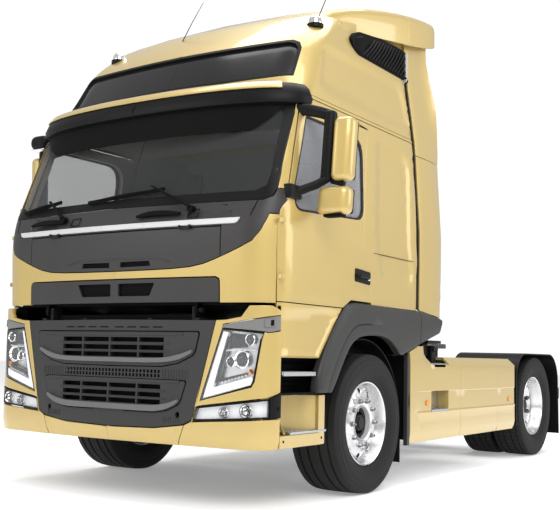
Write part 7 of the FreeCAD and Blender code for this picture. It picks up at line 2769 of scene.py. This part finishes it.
@dataclass
class Wheels:
    """All the wheels of the vehicle."""

    track: float = 1.057
    front_height: float = 0.498
    rear_height: float = 0.507
    rear_plane: float = 0.890
    twin: float = 0.1725
    rear_axle: float = 3.700
    front_tyre: Tyre = field(default_factory=lambda: Tyre(0.498, 0.193, 0.2985, 0.150))
    rear_tyre: Tyre = field(default_factory=lambda: Tyre(0.507, 0.1575, 0.2985, 0.115, True))
    front_rim: Rim = field(default_factory=lambda: Rim(
        0.2985, 0.152, ((0.122, 0.120), (0.130, 0.128), (0.150, 0.130), (0.188, 0.128),
                        (0.195, 0.108), (0.225, 0.102), (0.248, 0.092), (0.264, 0.066)),
        0.122, 0.233, 10, 0.0185))
    rear_rim: Rim = field(default_factory=lambda: Rim(
        0.2985, 0.118, ((0.10, -0.060), (0.18, -0.058), (0.196, -0.050), (0.222, -0.010),
                        (0.240, 0.012), (0.262, 0.030)), 0.098, 0.222, 10, 0.023))

    def place(self, shape: Shape, plane: float, left: bool, along: float, height: float) -> Shape:
        """Return a shape at its wheel's place."""
        moved = shape.moved(plane, along, height)
        return moved if left else moved.mirrored()

    def front_wheel(self, left: bool) -> None:
        """Make one front wheel.

        Args:
            left: whether it is on the left.
        """
        side = "left" if left else "right"
        body = "wheel_front_" + side
        spot = (self.track, left, 0.0, self.front_height)
        piece("tyre_front_" + side, self.place(self.front_tyre.shape(), *spot), RUBBER, body,
              ["front_tyre_" + side])
        rim = self.front_rim
        piece("rim_front_" + side, self.place(rim.barrel() + rim.disc(), *spot), ALLOY, body,
              ["front_rim_" + side])
        piece("nuts_front_" + side, self.place(rim.nuts(0.1625, 10, 0.0165), *spot), BOLTS, body)
        ring = turned([(0.03, 0.121), (0.124, 0.121), (0.128, 0.118), (0.124, 0.1145),
                       (0.03, 0.1145)], (0.0, 0.0, 0.0), 48, closed=True)
        piece("hub_ring_front_" + side, self.place(ring, *spot), SILVER, body)
        hub = turned([(0.0, 0.0), (0.0, 0.113), (0.050, 0.113), (0.052, 0.096), (0.084, 0.093),
                      (0.090, 0.085), (0.090, 0.060), (0.104, 0.056), (0.108, 0.048),
                      (0.108, 0.0)], (0.0, 0.0, 0.0), 40)
        hub = hub + join(bolt((0.088, 0.074 * math.cos(turn), 0.074 * math.sin(turn)), 0.006,
                              0.006) for turn in np.linspace(0, 2 * math.pi, 8, endpoint=False))
        hub = hub + box((0.104, -0.007, -0.038), (0.113, 0.007, 0.038))
        piece("hub_front_" + side, self.place(hub, *spot), CAST, body, (), 0.001)
        drum = turned([(-0.17, 0.0), (-0.17, 0.165), (-0.155, 0.208), (-0.02, 0.213),
                       (0.04, 0.20), (0.09, 0.12), (0.09, 0.0)], (0.0, 0.0, 0.0), 40)
        piece("brake_front_" + side, self.place(drum, *spot), CAST, body)
        valve = tube([(0.085, 0.0, 0.235), (0.12, 0.0, 0.240), (0.150, 0.0, 0.250)], 0.004, 8)
        piece("valve_front_" + side, self.place(valve, *spot), CHROME, body)

    def rear_wheel(self, left: bool) -> None:
        """Make one pair of rear wheels.

        Args:
            left: whether they are on the left.
        """
        side = "left" if left else "right"
        body = "wheels_rear_" + side
        outer = (self.rear_plane + self.twin, left, self.rear_axle, self.rear_height)
        inner = (self.rear_plane - self.twin, left, self.rear_axle, self.rear_height)
        tyre = self.rear_tyre.shape()
        piece("tyres_rear_" + side, self.place(tyre, *outer) + self.place(tyre, *inner), RUBBER,
              body, ["rear_tyres_" + side])
        rim = self.rear_rim
        barrel = rim.barrel()
        piece("rims_rear_" + side, self.place(barrel + rim.disc(), *outer)
              + self.place(barrel, *inner), ALLOY, body, ["rear_rims_" + side])
        piece("nuts_rear_" + side, self.place(rim.nuts(0.1675, 10, 0.0165), *outer), BOLTS, body)
        hub = turned([(-0.42, 0.0), (-0.42, 0.20), (-0.20, 0.205), (-0.10, 0.13), (-0.06, 0.13),
                      (-0.058, 0.097), (0.015, 0.095), (0.022, 0.088), (0.030, 0.060),
                      (0.042, 0.054), (0.046, 0.0)], (0.0, 0.0, 0.0), 40)
        hub = hub + join(bolt((0.018, 0.075 * math.cos(turn), 0.075 * math.sin(turn)), 0.008,
                              0.010) for turn in np.linspace(0, 2 * math.pi, 10, endpoint=False))
        piece("hub_rear_" + side, self.place(hub, *outer), CAST, body, (), 0.001)

    def build(self) -> None:
        """Make every wheel."""
        for left in (True, False):
            self.front_wheel(left)
            self.rear_wheel(left)


def dress_nodes(frame: dict) -> None:
    """Give every CAD node its finish, and the hidden ones the body colour.
    """
    for name, item in frame["nodes"].items():
        item.data.materials.clear()
        item.data.materials.append(NODE_FINISH.get(name, GOLD).material())


def main() -> None:
    """Build the studio, dress the frame and make every piece."""
    logging.basicConfig(level=logging.INFO)
    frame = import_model()
    Studio().build()
    dress_nodes(frame)
    skin = CabSurface()
    shell = CabShell(skin)
    face = BumperSurface()
    bumper = Bumper(face)
    builders = [shell, FrontHatch(skin, shell), CabRoof(skin), Glazing(skin, shell), Visor(),
                Door(skin, shell, True), Door(skin, shell, False), bumper, Grille(face),
                Lamps(face, bumper), Wheels(), Mirrors(), Steps(), ArchTrims(), Skirts(),
                RearKit(), RoofKit(skin), Interior()]
    for builder in builders:
        LOG.info("building %s", type(builder).__name__)
        builder.build()


if __name__ == "__main__":
    main()
